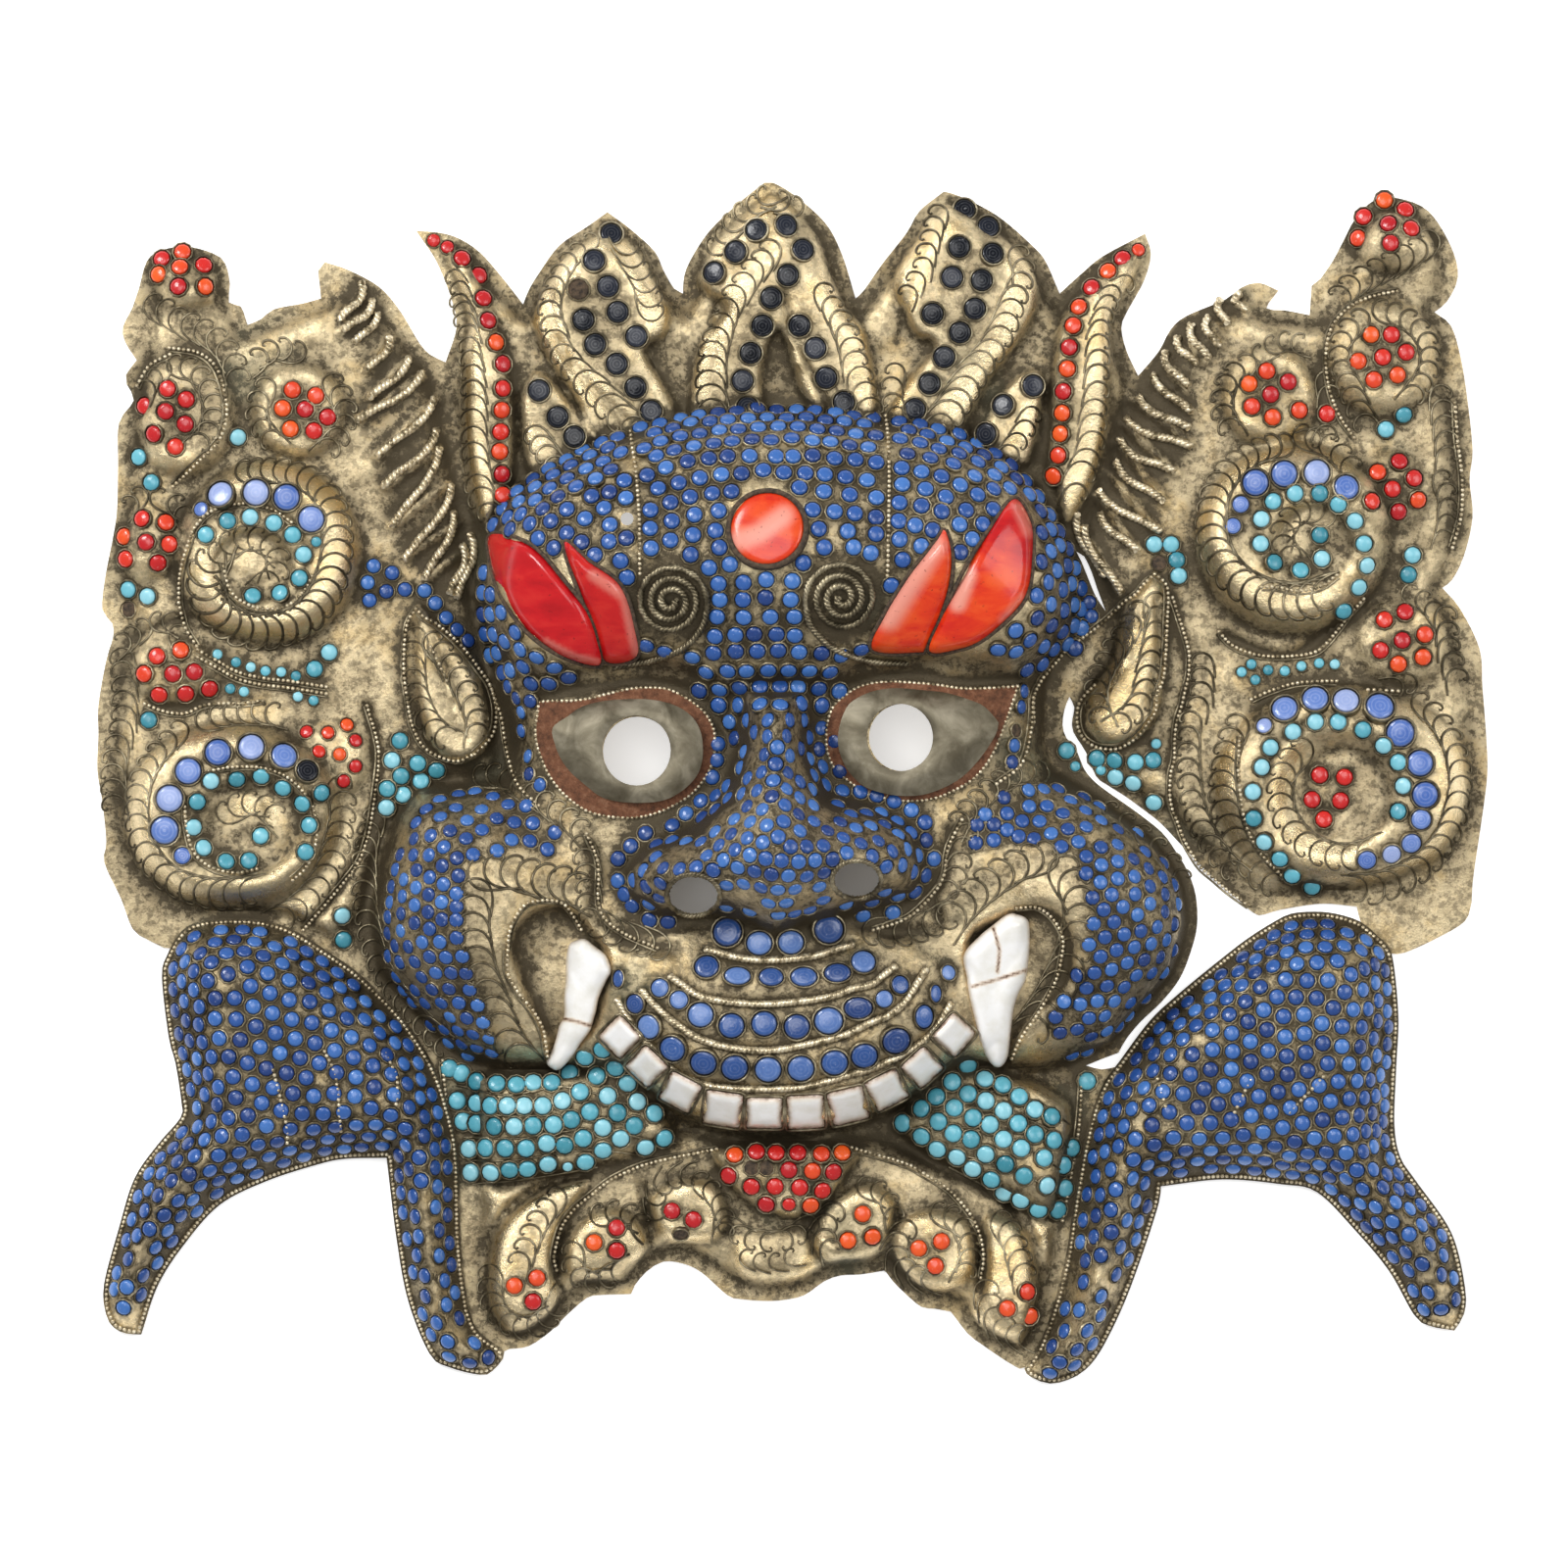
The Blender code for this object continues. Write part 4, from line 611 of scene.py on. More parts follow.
sheet_holes = [smooth_outline(UPPER_TEAR, 8.0),
               *[ellipse(*hole) for hole in (EYE_HOLE_LEFT, EYE_HOLE_RIGHT, NOSTRIL_LEFT, NOSTRIL_RIGHT)],
               ellipse(*FOREHEAD_HOLE, sides=14)]
sheet = raised_sheet("mask_sheet_look", mask_outline, sheet_holes, height_map, 4.9, 9.5)


def shader(name):
    """A new material, its node tree and its Principled node."""
    finish = bpy.data.materials.new(name)
    finish.use_nodes = True
    return finish, finish.node_tree, finish.node_tree.nodes["Principled BSDF"]


def add(tree, kind, inputs=None, **settings):
    """A node with its settings and the values or links of its inputs."""
    made = tree.nodes.new(kind)
    for key, value in settings.items():
        setattr(made, key, value)
    for key, value in (inputs or {}).items():
        if isinstance(value, bpy.types.NodeSocket):
            tree.links.new(value, made.inputs[key])
        else:
            made.inputs[key].default_value = value
    return made


def ramp(tree, factor, stops):
    """A colour ramp through (position, colour) stops."""
    made = add(tree, "ShaderNodeValToRGB", {"Fac": factor})
    band = made.color_ramp.elements
    while len(band) < len(stops):
        band.new(0.5)
    for element, (position, colour) in zip(band, stops):
        element.position = position
        element.color = (*colour, 1)
    return made.outputs["Color"]


def noise(tree, scale, detail=4.0, roughness=0.6, distortion=0.0):
    """Noise in the piece's own space."""
    spot = add(tree, "ShaderNodeTexCoord").outputs["Object"]
    made = add(tree, "ShaderNodeTexNoise", {"Vector": spot, "Scale": scale, "Detail": detail,
                                            "Roughness": roughness, "Distortion": distortion})
    return made.outputs["Fac"]


def mixed(tree, factor, a, b, mode="MIX"):
    """Two colours mixed."""
    made = add(tree, "ShaderNodeMix", data_type="RGBA", blend_type=mode)
    for key, value in ((0, factor), (6, a), (7, b)):
        if isinstance(value, bpy.types.NodeSocket):
            tree.links.new(value, made.inputs[key])
        else:
            made.inputs[key].default_value = value if key == 0 else (*value, 1)
    return made.outputs[2]


def figured(tree, operation, a, b, clamp=False):
    """One sum on values."""
    made = add(tree, "ShaderNodeMath", operation=operation, use_clamp=clamp)
    for key, value in ((0, a), (1, b)):
        if isinstance(value, bpy.types.NodeSocket):
            tree.links.new(value, made.inputs[key])
        else:
            made.inputs[key].default_value = value
    return made.outputs[0]


def above(tree, value, start, gain):
    """How far a value lies over a start, times a gain, held between 0 and 1."""
    return figured(tree, "MULTIPLY", figured(tree, "SUBTRACT", value, start), gain, clamp=True)


def bumped(tree, height, strength, distance):
    """A normal roughened by a height."""
    return add(tree, "ShaderNodeBump", {"Height": height, "Strength": strength,
                                        "Distance": distance}).outputs["Normal"]


# Silvered metal, worn by hands and dust: warm grey where the silver is left, brassy where it is rubbed, and
# dark in the hollows and round the stones and wires, partly from settled grime and partly as painted shade.
metal, tree, skin = shader("silvered sheet")
hollow = add(tree, "ShaderNodeAttribute", attribute_name="hollow").outputs["Fac"]
grime_and_shade = add(tree, "ShaderNodeAttribute", attribute_name="grime_and_shade").outputs["Fac"]
blotch = noise(tree, 52, 7, 0.70, 0.3)
grain = noise(tree, 430, 6, 0.74)
pits = noise(tree, 1500, 3, 0.6)
cloud = figured(tree, "MULTIPLY", figured(tree, "SUBTRACT", blotch, 0.5), 4.6)
cloud = figured(tree, "ADD", cloud, 0.38, clamp=True)
speck = figured(tree, "MULTIPLY", figured(tree, "SUBTRACT", grain, 0.5), 9.0)
speck = figured(tree, "ADD", speck, 0.30, clamp=True)
# Grime and painted shade: the metal darkens in the relief's hollows, and lightens a little on the ridges,
# where it is rubbed.
hollow_shade = figured(tree, "MAXIMUM", figured(tree, "MULTIPLY", hollow, 0.46), -0.34)
hollow_shade = figured(tree, "MINIMUM", hollow_shade, 0.50)
dirt_and_shade = figured(tree, "ADD", figured(tree, "MULTIPLY", speck, 0.32), figured(tree, "MULTIPLY", cloud, 0.18))
dirt_and_shade = figured(tree, "ADD", dirt_and_shade, figured(tree, "ADD", hollow_shade, figured(tree, "MULTIPLY", grime_and_shade, 0.90)))
dirt_and_shade = figured(tree, "ADD", dirt_and_shade, 0.30, clamp=True)
warm = ramp(tree, blotch, [(0.36, (0.76, 0.57, 0.29)), (0.50, (0.89, 0.73, 0.45)),
                           (0.62, (0.70, 0.56, 0.33))])
colour = mixed(tree, dirt_and_shade, warm, (0.080, 0.062, 0.035))
green = above(tree, noise(tree, 28, 3, 0.5), 0.62, 5.0)
colour = mixed(tree, figured(tree, "MULTIPLY", green, 0.30), colour, (0.09, 0.15, 0.11))
tree.links.new(colour, skin.inputs["Base Color"])
metallic = figured(tree, "SUBTRACT", 1.0, figured(tree, "MULTIPLY", dirt_and_shade, 0.35))
tree.links.new(metallic, skin.inputs["Metallic"])
tree.links.new(figured(tree, "ADD", 0.25, figured(tree, "MULTIPLY", dirt_and_shade, 0.32)), skin.inputs["Roughness"])
relief = figured(tree, "ADD", figured(tree, "MULTIPLY", grain, 0.7), figured(tree, "MULTIPLY", pits, 0.3))
tree.links.new(bumped(tree, relief, 0.75, 0.0007), skin.inputs["Normal"])
sheet.data.materials.append(metal)
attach(sheet, "root")
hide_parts("mask_sheet")

# Arms: two more sheets of the same metal, hammered into plump forearms, lapped over the mask's lower corners
# and soldered there.
arms = [raised_sheet(name, outline, [], field, 4.6, 8.0)
        for name, outline, field in zip(("left_arm_look", "right_arm_look"), arm_outlines, arm_maps)]
for arm, node in zip(arms, ("left_arm", "right_arm")):
    arm.data.materials.append(metal)
    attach(arm, "root")
    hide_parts(node)

# Small lapis stones: about 1,430 low round cabochons, blue glass paste and lapis, each glued into a collar of
# thin strip that is soldered to the sheet. They cover the forehead, nose, cheeks and both arms.


def pattern(name, shape, finish):
    """A shape that is set in many places and isn't in the scene itself."""
    mesh = bpy.data.meshes.new(name)
    shape.to_mesh(mesh)
    shape.free()
    mesh.shade_smooth()
    mesh.materials.append(finish)
    return bpy.data.objects.new(name, mesh)


def turned(name, profile, steps, finish):
    """A turned shape in unit size, whose profile runs down its outer side."""
    shape = bmesh.new()
    points = [shape.verts.new((r, 0, z)) for r, z in profile]
    edges = [shape.edges.new(pair) for pair in zip(points, points[1:])]
    if profile[0][0] > 0 and profile[-1][0] > 0:
        edges.append(shape.edges.new((points[-1], points[0])))
    bmesh.ops.spin(shape, geom=points + edges, cent=(0, 0, 0), axis=(0, 0, 1), angle=math.tau, steps=steps,
                   use_merge=True)
    bmesh.ops.remove_doubles(shape, verts=shape.verts, dist=1e-5)
    bmesh.ops.recalc_face_normals(shape, faces=shape.faces)
    return pattern(name, shape, finish)


def setting_tree(name):
    """Geometry nodes that put a shape, and a second one round it, on every point of a mesh."""
    tree = bpy.data.node_groups.new(name, "GeometryNodeTree")
    face = tree.interface
    face.new_socket("Points", in_out="INPUT", socket_type="NodeSocketGeometry")
    for label in ("Shape", "Collar"):
        face.new_socket(label, in_out="INPUT", socket_type="NodeSocketObject")
    for label in ("Shape Finish", "Collar Finish"):
        face.new_socket(label, in_out="INPUT", socket_type="NodeSocketMaterial")
    face.new_socket("Height", in_out="INPUT", socket_type="NodeSocketFloat").default_value = 1.0
    face.new_socket("Geometry", in_out="OUTPUT", socket_type="NodeSocketGeometry")
    given = tree.nodes.new("NodeGroupInput")
    joined = tree.nodes.new("GeometryNodeJoinGeometry")
    turn = add(tree, "GeometryNodeInputNamedAttribute", {"Name": "turn"}, data_type="FLOAT")
    size = add(tree, "GeometryNodeInputNamedAttribute", {"Name": "size"}, data_type="FLOAT_VECTOR")
    facing = add(tree, "GeometryNodeInputNamedAttribute", {"Name": "facing"}, data_type="FLOAT_VECTOR")
    spun = add(tree, "FunctionNodeAxisAngleToRotation", {"Axis": (0, 0, 1),
                                                         "Angle": turn.outputs["Attribute"]})
    aimed = add(tree, "FunctionNodeAlignRotationToVector",
                {"Rotation": spun.outputs["Rotation"], "Vector": facing.outputs["Attribute"]}, axis="Z")
    tall = add(tree, "ShaderNodeCombineXYZ", {"X": 1.0, "Y": 1.0, "Z": given.outputs["Height"]})
    for label in ("Collar", "Shape"):
        source = add(tree, "GeometryNodeObjectInfo", {"Object": given.outputs[label]})
        stretched = add(tree, "GeometryNodeTransform", {"Geometry": source.outputs["Geometry"],
                                                        "Scale": tall.outputs["Vector"]})
        place = add(tree, "GeometryNodeInputPosition")
        kept = add(tree, "GeometryNodeStoreNamedAttribute",
                   {"Geometry": stretched.outputs["Geometry"], "Name": "spot", "Value": place.outputs[0]},
                   data_type="FLOAT_VECTOR", domain="POINT")
        coated = add(tree, "GeometryNodeSetMaterial", {"Geometry": kept.outputs["Geometry"],
                                                       "Material": given.outputs[label + " Finish"]})
        copies = add(tree, "GeometryNodeInstanceOnPoints",
                     {"Points": given.outputs["Points"], "Instance": coated.outputs["Geometry"],
                      "Rotation": aimed.outputs["Rotation"], "Scale": size.outputs["Attribute"]})
        tree.links.new(copies.outputs["Instances"], joined.inputs["Geometry"])
    real = add(tree, "GeometryNodeRealizeInstances", {"Geometry": joined.outputs["Geometry"]})
    tree.links.new(real.outputs["Geometry"], tree.nodes.new("NodeGroupOutput").inputs["Geometry"])
    return tree


settings = setting_tree("set on the sheet")
slopes = {}
HIGHEST_LIFT = 0.0009                 # how far a stone is raised where the sheet's curve would bury its edge


def seats(spots, field, sizes, lift=0.0, turns=None, seed=1, steepest=1.5):
    """Rows of position, facing, size, turn and tone for things set on a height map."""
    spots = np.array(spots, float).reshape(-1, 2)
    key = id(field)
    if key not in slopes:
        slopes[key] = [-part for part in np.gradient(blurred(field, 6), MAP_STEP * PIXEL)]
    slope_y, slope_x = slopes[key]
    facing = np.column_stack([sampled(slope_x, *spots.T), -sampled(slope_y, *spots.T), np.ones(len(spots))])
    steep = np.maximum(np.hypot(facing[:, 0], facing[:, 1]), 1e-9)
    facing[:, :2] *= (np.minimum(steep, steepest) / steep)[:, None]
    facing /= np.linalg.norm(facing, axis=1)[:, None]
    place = np.column_stack([in_metres(spots), sampled(field, *spots.T)]) + facing * lift
    chance = np.random.default_rng(seed)
    size = np.broadcast_to(np.asarray(sizes, float).reshape(-1, 1) if np.ndim(sizes) < 2 else sizes,
                           (len(spots), 3)) * PIXEL
    buried = np.zeros(len(spots))
    for angle in np.arange(8) * math.tau / 8:
        away = 0.85 * size[:, 0] * math.cos(angle), -0.85 * size[:, 0] * math.sin(angle)
        plane = place[:, 2] - (facing[:, 0] * away[0] - facing[:, 1] * away[1]) / facing[:, 2]
        ground = sampled(field, spots[:, 0] + away[0] / PIXEL, spots[:, 1] + away[1] / PIXEL)
        buried = np.maximum(buried, ground - plane)
    place[:, 2] += np.minimum(0.75 * buried, HIGHEST_LIFT)
    if turns is None:
        turns = chance.uniform(0, math.tau, len(spots))
    tone = chance.uniform(0, 1, len(spots))
    return np.column_stack([place, facing, size, turns, tone])


def baked(holder):
    """The mesh that an object evaluates to. The object is then removed."""
    bpy.context.view_layer.update()
    mesh = bpy.data.meshes.new_from_object(holder.evaluated_get(bpy.context.evaluated_depsgraph_get()))
    bpy.data.objects.remove(holder)
    return mesh


def set_pieces(name, rows, shape, shape_finish, collar=None, collar_finish=None, height=1.0):
    """One mesh of a shape, and its collar, on every row."""
    mesh = bpy.data.meshes.new(name)
    mesh.from_pydata(rows[:, :3].tolist(), [], [])
    for label, kind, first, width in (("facing", "FLOAT_VECTOR", 3, 3), ("size", "FLOAT_VECTOR", 6, 3),
                                      ("turn", "FLOAT", 9, 1), ("tone", "FLOAT", 10, 1)):
        field = mesh.attributes.new(label, kind, "POINT")
        field.data.foreach_set("vector" if width == 3 else "value",
                               np.ascontiguousarray(rows[:, first:first + width], np.float32).ravel())
    holder = bpy.data.objects.new(name + "_points", mesh)
    bpy.context.scene.collection.objects.link(holder)
    nodes = holder.modifiers.new("Settings", "NODES")
    nodes.node_group = settings
    values = {"Shape": shape, "Collar": collar, "Shape Finish": shape_finish,
              "Collar Finish": collar_finish, "Height": height}
    for socket in settings.interface.items_tree:
        if socket.in_out == "INPUT" and values.get(socket.name) is not None:
            nodes[socket.identifier] = values[socket.name]
    made = baked(holder)
    made.name = name
    piece = bpy.data.objects.new(name, made)
    bpy.context.scene.collection.objects.link(piece)
    return piece


STONE_PROFILE = [(0, 0.44), (0.58, 0.40), (0.84, 0.28), (0.95, 0.06), (0.95, -0.25), (0, -0.25)]
COLLAR_PROFILE = [(1.03, 0.16), (1.10, 0.24), (1.19, 0.12), (1.21, -0.32), (1.00, -0.32)]
stone_shape = turned("stone", STONE_PROFILE, 10, metal)
collar_shape = turned("stone collar", COLLAR_PROFILE, 10, metal)


def stone_finish(name, dark, middle, pale, rings=0.0, roughness=0.22):
    """Polished stone whose tone differs from one to the next, with painted shade darkening its rim, and fine
    rings.
    """
    finish, tree, skin = shader(name)
    tone = add(tree, "ShaderNodeAttribute", attribute_name="tone").outputs["Fac"]
    spot = add(tree, "ShaderNodeAttribute", attribute_name="spot").outputs["Vector"]
    cloud = noise(tree, 700, 3, 0.6)
    shade = figured(tree, "MULTIPLY", tone, 0.75)
    shade = figured(tree, "ADD", shade, figured(tree, "MULTIPLY", cloud, 0.25))
    body = ramp(tree, shade, [(0.12, dark), (0.50, middle), (0.92, pale)])
    flat = add(tree, "ShaderNodeVectorMath", {0: spot}, operation="MULTIPLY")
    flat.inputs[1].default_value = (1, 1, 0)
    reach = add(tree, "ShaderNodeVectorMath", {0: flat.outputs[0]}, operation="LENGTH").outputs["Value"]
    # Painted shade: the stone darkens towards its rim, where it turns away from the light.
    edge = above(tree, reach, 0.80, 6.5)
    body = mixed(tree, figured(tree, "MULTIPLY", edge, 0.90), body, tuple(0.15 * part for part in dark))
    wave = figured(tree, "SINE", figured(tree, "MULTIPLY", reach, 24.0), 0.0)
    swirl = figured(tree, "MULTIPLY", figured(tree, "MULTIPLY", wave, cloud), rings, clamp=True)
    body = mixed(tree, swirl, body, tuple(0.6 + 0.4 * part for part in pale))
    chip = above(tree, noise(tree, 1300, 2, 0.5), 0.66, 6.0)
    body = mixed(tree, figured(tree, "MULTIPLY", chip, 0.6), body, tuple(0.35 + 0.5 * part for part in pale))
    tree.links.new(body, skin.inputs["Base Color"])
    skin.inputs["Roughness"].default_value = roughness
    skin.inputs["Coat Weight"].default_value = 0.25
    skin.inputs["Coat Roughness"].default_value = 0.12
    tree.links.new(bumped(tree, cloud, 0.25, 0.0004), skin.inputs["Normal"])
    return finish


# Collars and wires: the same metal, darker, partly because grime stays between them and partly as painted
# shade that outlines each wire and collar.
shaded_wire_metal, tree, skin = shader("wire darkened by grime and painted shade")
rub = noise(tree, 260, 4, 0.65)
patch = noise(tree, 40, 3, 0.5)
worn = figured(tree, "ADD", figured(tree, "MULTIPLY", rub, 0.6), figured(tree, "MULTIPLY", patch, 0.5))
tree.links.new(ramp(tree, worn, [(0.42, (0.065, 0.053, 0.032)), (0.56, (0.21, 0.175, 0.11)),
                                 (0.70, (0.52, 0.45, 0.30))]), skin.inputs["Base Color"])
skin.inputs["Metallic"].default_value = 0.85
skin.inputs["Roughness"].default_value = 0.42
tree.links.new(bumped(tree, noise(tree, 1800, 2, 0.6), 0.3, 0.0003), skin.inputs["Normal"])

lapis = stone_finish("lapis", (0.011, 0.040, 0.18), (0.025, 0.097, 0.35), (0.065, 0.195, 0.53))


def thinned(spots, gaps):
    """Which spots stay when each one drops the later ones that are nearer to it than its gap."""
    keep = np.ones(len(spots), bool)
    for k, gap in enumerate(np.broadcast_to(gaps, len(spots))):
        if keep[k]:
            near = np.linalg.norm(spots - spots[k], axis=1) < gap
            near[:k + 1] = False
            keep[near] = False
    return keep


def packed(inside, field, gap, seed, rounds):
    """Spots spread evenly over the raised surface where a mask of the map is true."""
    slope_y, slope_x = np.gradient(blurred(field, 4), MAP_STEP * PIXEL)
    stretch = np.sqrt(1 + np.minimum(slope_x ** 2 + slope_y ** 2, 9)) * inside
    count = int(stretch.sum() * MAP_STEP ** 2 / (0.866 * gap ** 2) * 1.06)
    chance = np.random.default_rng(seed)
    chosen = chance.choice(stretch.size, count, replace=False, p=(stretch / stretch.sum()).ravel())
    spots = np.column_stack([map_x.ravel()[chosen], map_y.ravel()[chosen]])
    spots = spots + chance.uniform(-1, 1, (count, 2))
    tall = blurred(field, 3) / PIXEL
    margin = inside.astype(float)
    for _ in range(rounds):
        place = np.column_stack([spots, sampled(tall, *spots.T)])
        apart = place[:, None] - place[None]
        away = np.sqrt((apart ** 2).sum(axis=2)) + np.eye(count) * 1e6
        push = np.clip(gap * 1.06 - away, 0, None) / away
        step = (apart[:, :, :2] * push[:, :, None]).sum(axis=1) * 0.28
        moved = spots + np.clip(step, -4, 4)
        good = sampled(margin, *moved.T) > 0.6
        spots = np.where(good[:, None], moved, spots)
    return spots[thinned(np.column_stack([spots, sampled(tall, *spots.T)]), gap * 0.76)]


def area(outline, inset):
    """Where the map lies deeper inside an outline than the inset."""
    return mapped_depth(round_outline(outline, 8.0)) > inset


def clear_of(shapes, gap):
    """Where the map lies outside every shape by the gap."""
    free = np.ones(map_x.shape, bool)
    for shape in shapes:
        free &= ~(mapped_depth(shape) > -gap)
    return free


def near_path(path, reach):
    """Where the map lies within a distance of a path."""
    close = np.zeros(map_x.shape, bool)
    part = window(path, reach + 4)
    close[part] = path_distance(map_x[part], map_y[part], path) < reach
    return close


BROWS = {
    "left_outer": [(503, 547), (545, 560), (580, 598), (600, 625), (611, 655), (613, 680), (575, 670),
                   (540, 645), (515, 610), (503, 575)],
    "left_inner": [(579, 557), (602, 575), (635, 600), (649, 640), (651, 671), (620, 676), (608, 640),
                   (594, 606)],
    "right_inner": [(962, 545), (969, 575), (964, 610), (944, 660), (934, 667), (889, 664), (901, 630),
                    (926, 590), (954, 555)],
    "right_outer": [(1033, 512), (1049, 535), (1051, 560), (1047, 600), (1034, 625), (1000, 654),
                    (975, 664), (947, 666), (958, 635), (985, 580), (1010, 540)],
}
FOREHEAD_FIELD = [(488, 640), (488, 590), (494, 545), (512, 508), (550, 478), (600, 452), (650, 434),
                  (700, 420), (760, 413), (820, 413), (880, 420), (930, 426), (985, 440), (1032, 468),
                  (1060, 497), (1082, 530), (1096, 562), (1112, 600), (1113, 640), (1096, 668),
                  (1050, 690), (1000, 706), (972, 686), (880, 690), (862, 712), (836, 735), (785, 728),
                  (735, 738), (712, 712), (690, 684), (612, 690), (590, 704), (530, 700), (500, 680)]
NOSE_FIELD = [(736, 736), (785, 730), (850, 736), (856, 772), (872, 798), (912, 812), (945, 832),
              (958, 868), (950, 905), (915, 935), (880, 944), (845, 930), (790, 938), (735, 930),
              (700, 944), (655, 940), (628, 905), (628, 872), (660, 842), (702, 822), (724, 788)]
CHEEK_FIELD_LEFT = [(440, 815), (480, 803), (520, 808), (560, 828), (588, 850), (560, 880), (500, 872),
                    (478, 888), (474, 930), (482, 985), (500, 1040), (508, 1086), (470, 1080),
                    (428, 1040), (396, 990), (392, 940), (402, 880), (420, 835)]
CHEEK_FIELD_RIGHT = [(1048, 800), (1085, 800), (1125, 818), (1160, 842), (1190, 876), (1206, 915),
                     (1204, 965), (1182, 1010), (1150, 1046), (1112, 1078), (1078, 1080), (1066, 1050),
                     (1088, 1000), (1106, 950), (1104, 900), (1080, 868), (1030, 858), (992, 868),
                     (985, 850), (1010, 815)]
MERIDIANS = [[(644, 442), (650, 480), (654, 530), (655, 588)],
             [(904, 426), (906, 480), (905, 540), (904, 590)]]
THIRD_EYE = (783, 543)
SPIRALS = {"left": (686, 616), "right": (858, 613)}
UNDER_BROWS = [[(596, 716), (600, 684), (652, 676), (700, 676), (704, 706), (650, 704)],
               [(866, 706), (868, 676), (940, 668), (1000, 668), (1036, 684), (1030, 702), (940, 694)]]
face_free = clear_of([*BROWS.values(), *UNDER_BROWS, ellipse(THIRD_EYE, 41, 41),
                      ellipse(SPIRALS["left"], 40, 40), ellipse(SPIRALS["right"], 42, 42)], 9.5)
face_free &= clear_of([ellipse(*hole) for hole in (NOSTRIL_LEFT, NOSTRIL_RIGHT, FOREHEAD_HOLE)], 10)
for path in MERIDIANS:
    face_free &= ~near_path(path, 10.5)


def strewn_row(line, free, gap, offset):
    """Stones spaced evenly in each free stretch of a row."""
    line = np.asarray(line, float)
    reach = np.concatenate([[0], np.cumsum(np.linalg.norm(np.diff(line, axis=0), axis=1))])
    open_here = sampled(free.astype(float), *line.T) > 0.5
    spots = []
    start = None
    for k, clear in enumerate([*open_here, False]):
        if clear and start is None:
            start = k
        if not clear and start is not None:
            first = reach[start]
            last = reach[k - 1]
            if offset and last - first > 5 * gap:
                first += gap / 2
                last -= gap / 2
            number = int((last - first) / gap) + 1
            stops = np.linspace(first, last, number) if number > 1 else [(first + last) / 2]
            spots += [[np.interp(stop, reach, line[:, side]) for side in (0, 1)] for stop in stops]
            start = None
    return spots


# The forehead's rows run round its arch, closer together where it turns down, and straight across between the
# two spirals.
ARCH = [(498, 690), (490, 655), (488, 620), (489, 585), (496, 545), (515, 508), (550, 478), (600, 452),
        (650, 434),
        (700, 421), (760, 414), (820, 414), (880, 420), (930, 427), (985, 441), (1030, 467), (1060, 497),
        (1082, 530), (1097, 562), (1108, 600), (1110, 640), (1100, 672)]
ROW_DEPTHS = [7, 16, 27, 40, 55, 72, 90, 108.5, 127, 145.5, 164, 182.5, 201]
ROW_PITCH = 19.5
FOREHEAD_STONE = 9.0
WIDEST_GAP = 16.6                     # a place farther than this from every stone gets one more
forehead = area(FOREHEAD_FIELD, 4) & face_free
between = (np.abs(map_x - 775) < 118) & (map_y > 588)
arch = np.array([tuple(spot) for spot in smooth_path(ARCH, 4)])
ahead = np.gradient(arch, axis=0)
inward = np.column_stack([-ahead[:, 1], ahead[:, 0]]) / np.linalg.norm(ahead, axis=1)[:, None]
chance = np.random.default_rng(17)
spots = []
for number, row_depth in enumerate(ROW_DEPTHS):
    line = arch + row_depth * inward
    close = np.linalg.norm(line[:, None] - arch[None], axis=2).min(axis=1)
    line = line[close > row_depth - 2.5]
    spots += strewn_row(line, forehead & ~between, ROW_PITCH, number % 2)
for number, level_y in enumerate(np.arange(596, 740, 17.6)):
    line = [(x, level_y + 0.0008 * (x - 782) ** 2) for x in range(640, 920, 2)]
    spots += strewn_row(line, forehead & between, ROW_PITCH - 0.1, number % 2)
spots = np.array(spots)
spots += chance.normal(0, 0.8, spots.shape)
edge_near = np.linalg.norm(spots[:, None] - arch[None], axis=2).min(axis=1)
spots = spots[thinned(spots, np.where(edge_near < 34, 8, 14))]
for spot in chance.permutation(np.column_stack([map_x[forehead], map_y[forehead]])):
    if np.linalg.norm(spots - spot, axis=1).min() > WIDEST_GAP:
        spots = np.vstack([spots, spot])
rows = [seats(spots, height_map, FOREHEAD_STONE, seed=30, steepest=1.1)]

# The nose's and the cheeks' stones stand close, in no rows.
FACE_STONE_GAP = 17.4
for number, (outline, size) in enumerate([(NOSE_FIELD, 8.5), (CHEEK_FIELD_LEFT, 8.2),
                                          (CHEEK_FIELD_RIGHT, 8.2)]):
    spots = packed(area(outline, 5) & face_free, 0.4 * height_map, FACE_STONE_GAP, 12 + number, 90)
    rows.append(seats(spots[thinned(spots, 12.6)], height_map, size, -0.0007, seed=31 + number, steepest=1.2))
ARM_RIM_WIDTH = 12
ARM_STONE = 8.6                       # radius, and the gap between middles, in pixels
ARM_STONE_GAP = 20.6
for number, (depth, field) in enumerate(zip(arm_depths, arm_maps)):
    spots = packed(depth > ARM_RIM_WIDTH, field, ARM_STONE_GAP, 21 + number, 90)
    rows.append(seats(spots, field, ARM_STONE, seed=40 + number))
EXTRA_LAPIS = [(520, 701), (529, 713), (543, 716), (534, 727), (534, 746), (541, 772), (542, 790),
               (553, 801),
               (519, 689), (535, 694), (553, 697), (568, 697), (586, 700), (1043, 706), (1040, 722),
               (1033, 761), (1031, 778)]
on_forehead = in_pixels(rows[0])
extra = [spot for spot in EXTRA_LAPIS if np.linalg.norm(on_forehead - spot, axis=1).min() > 13.5]
rows.append(seats(extra, height_map, 7.8, seed=50))
SIDE_LAPIS = [(382, 578), (401, 585), (376, 595), (395, 604), (414, 602), (434, 603), (378, 613), (445, 616),
              (456, 631), (467, 643), (478, 654), (1111, 615), (1113, 629)]
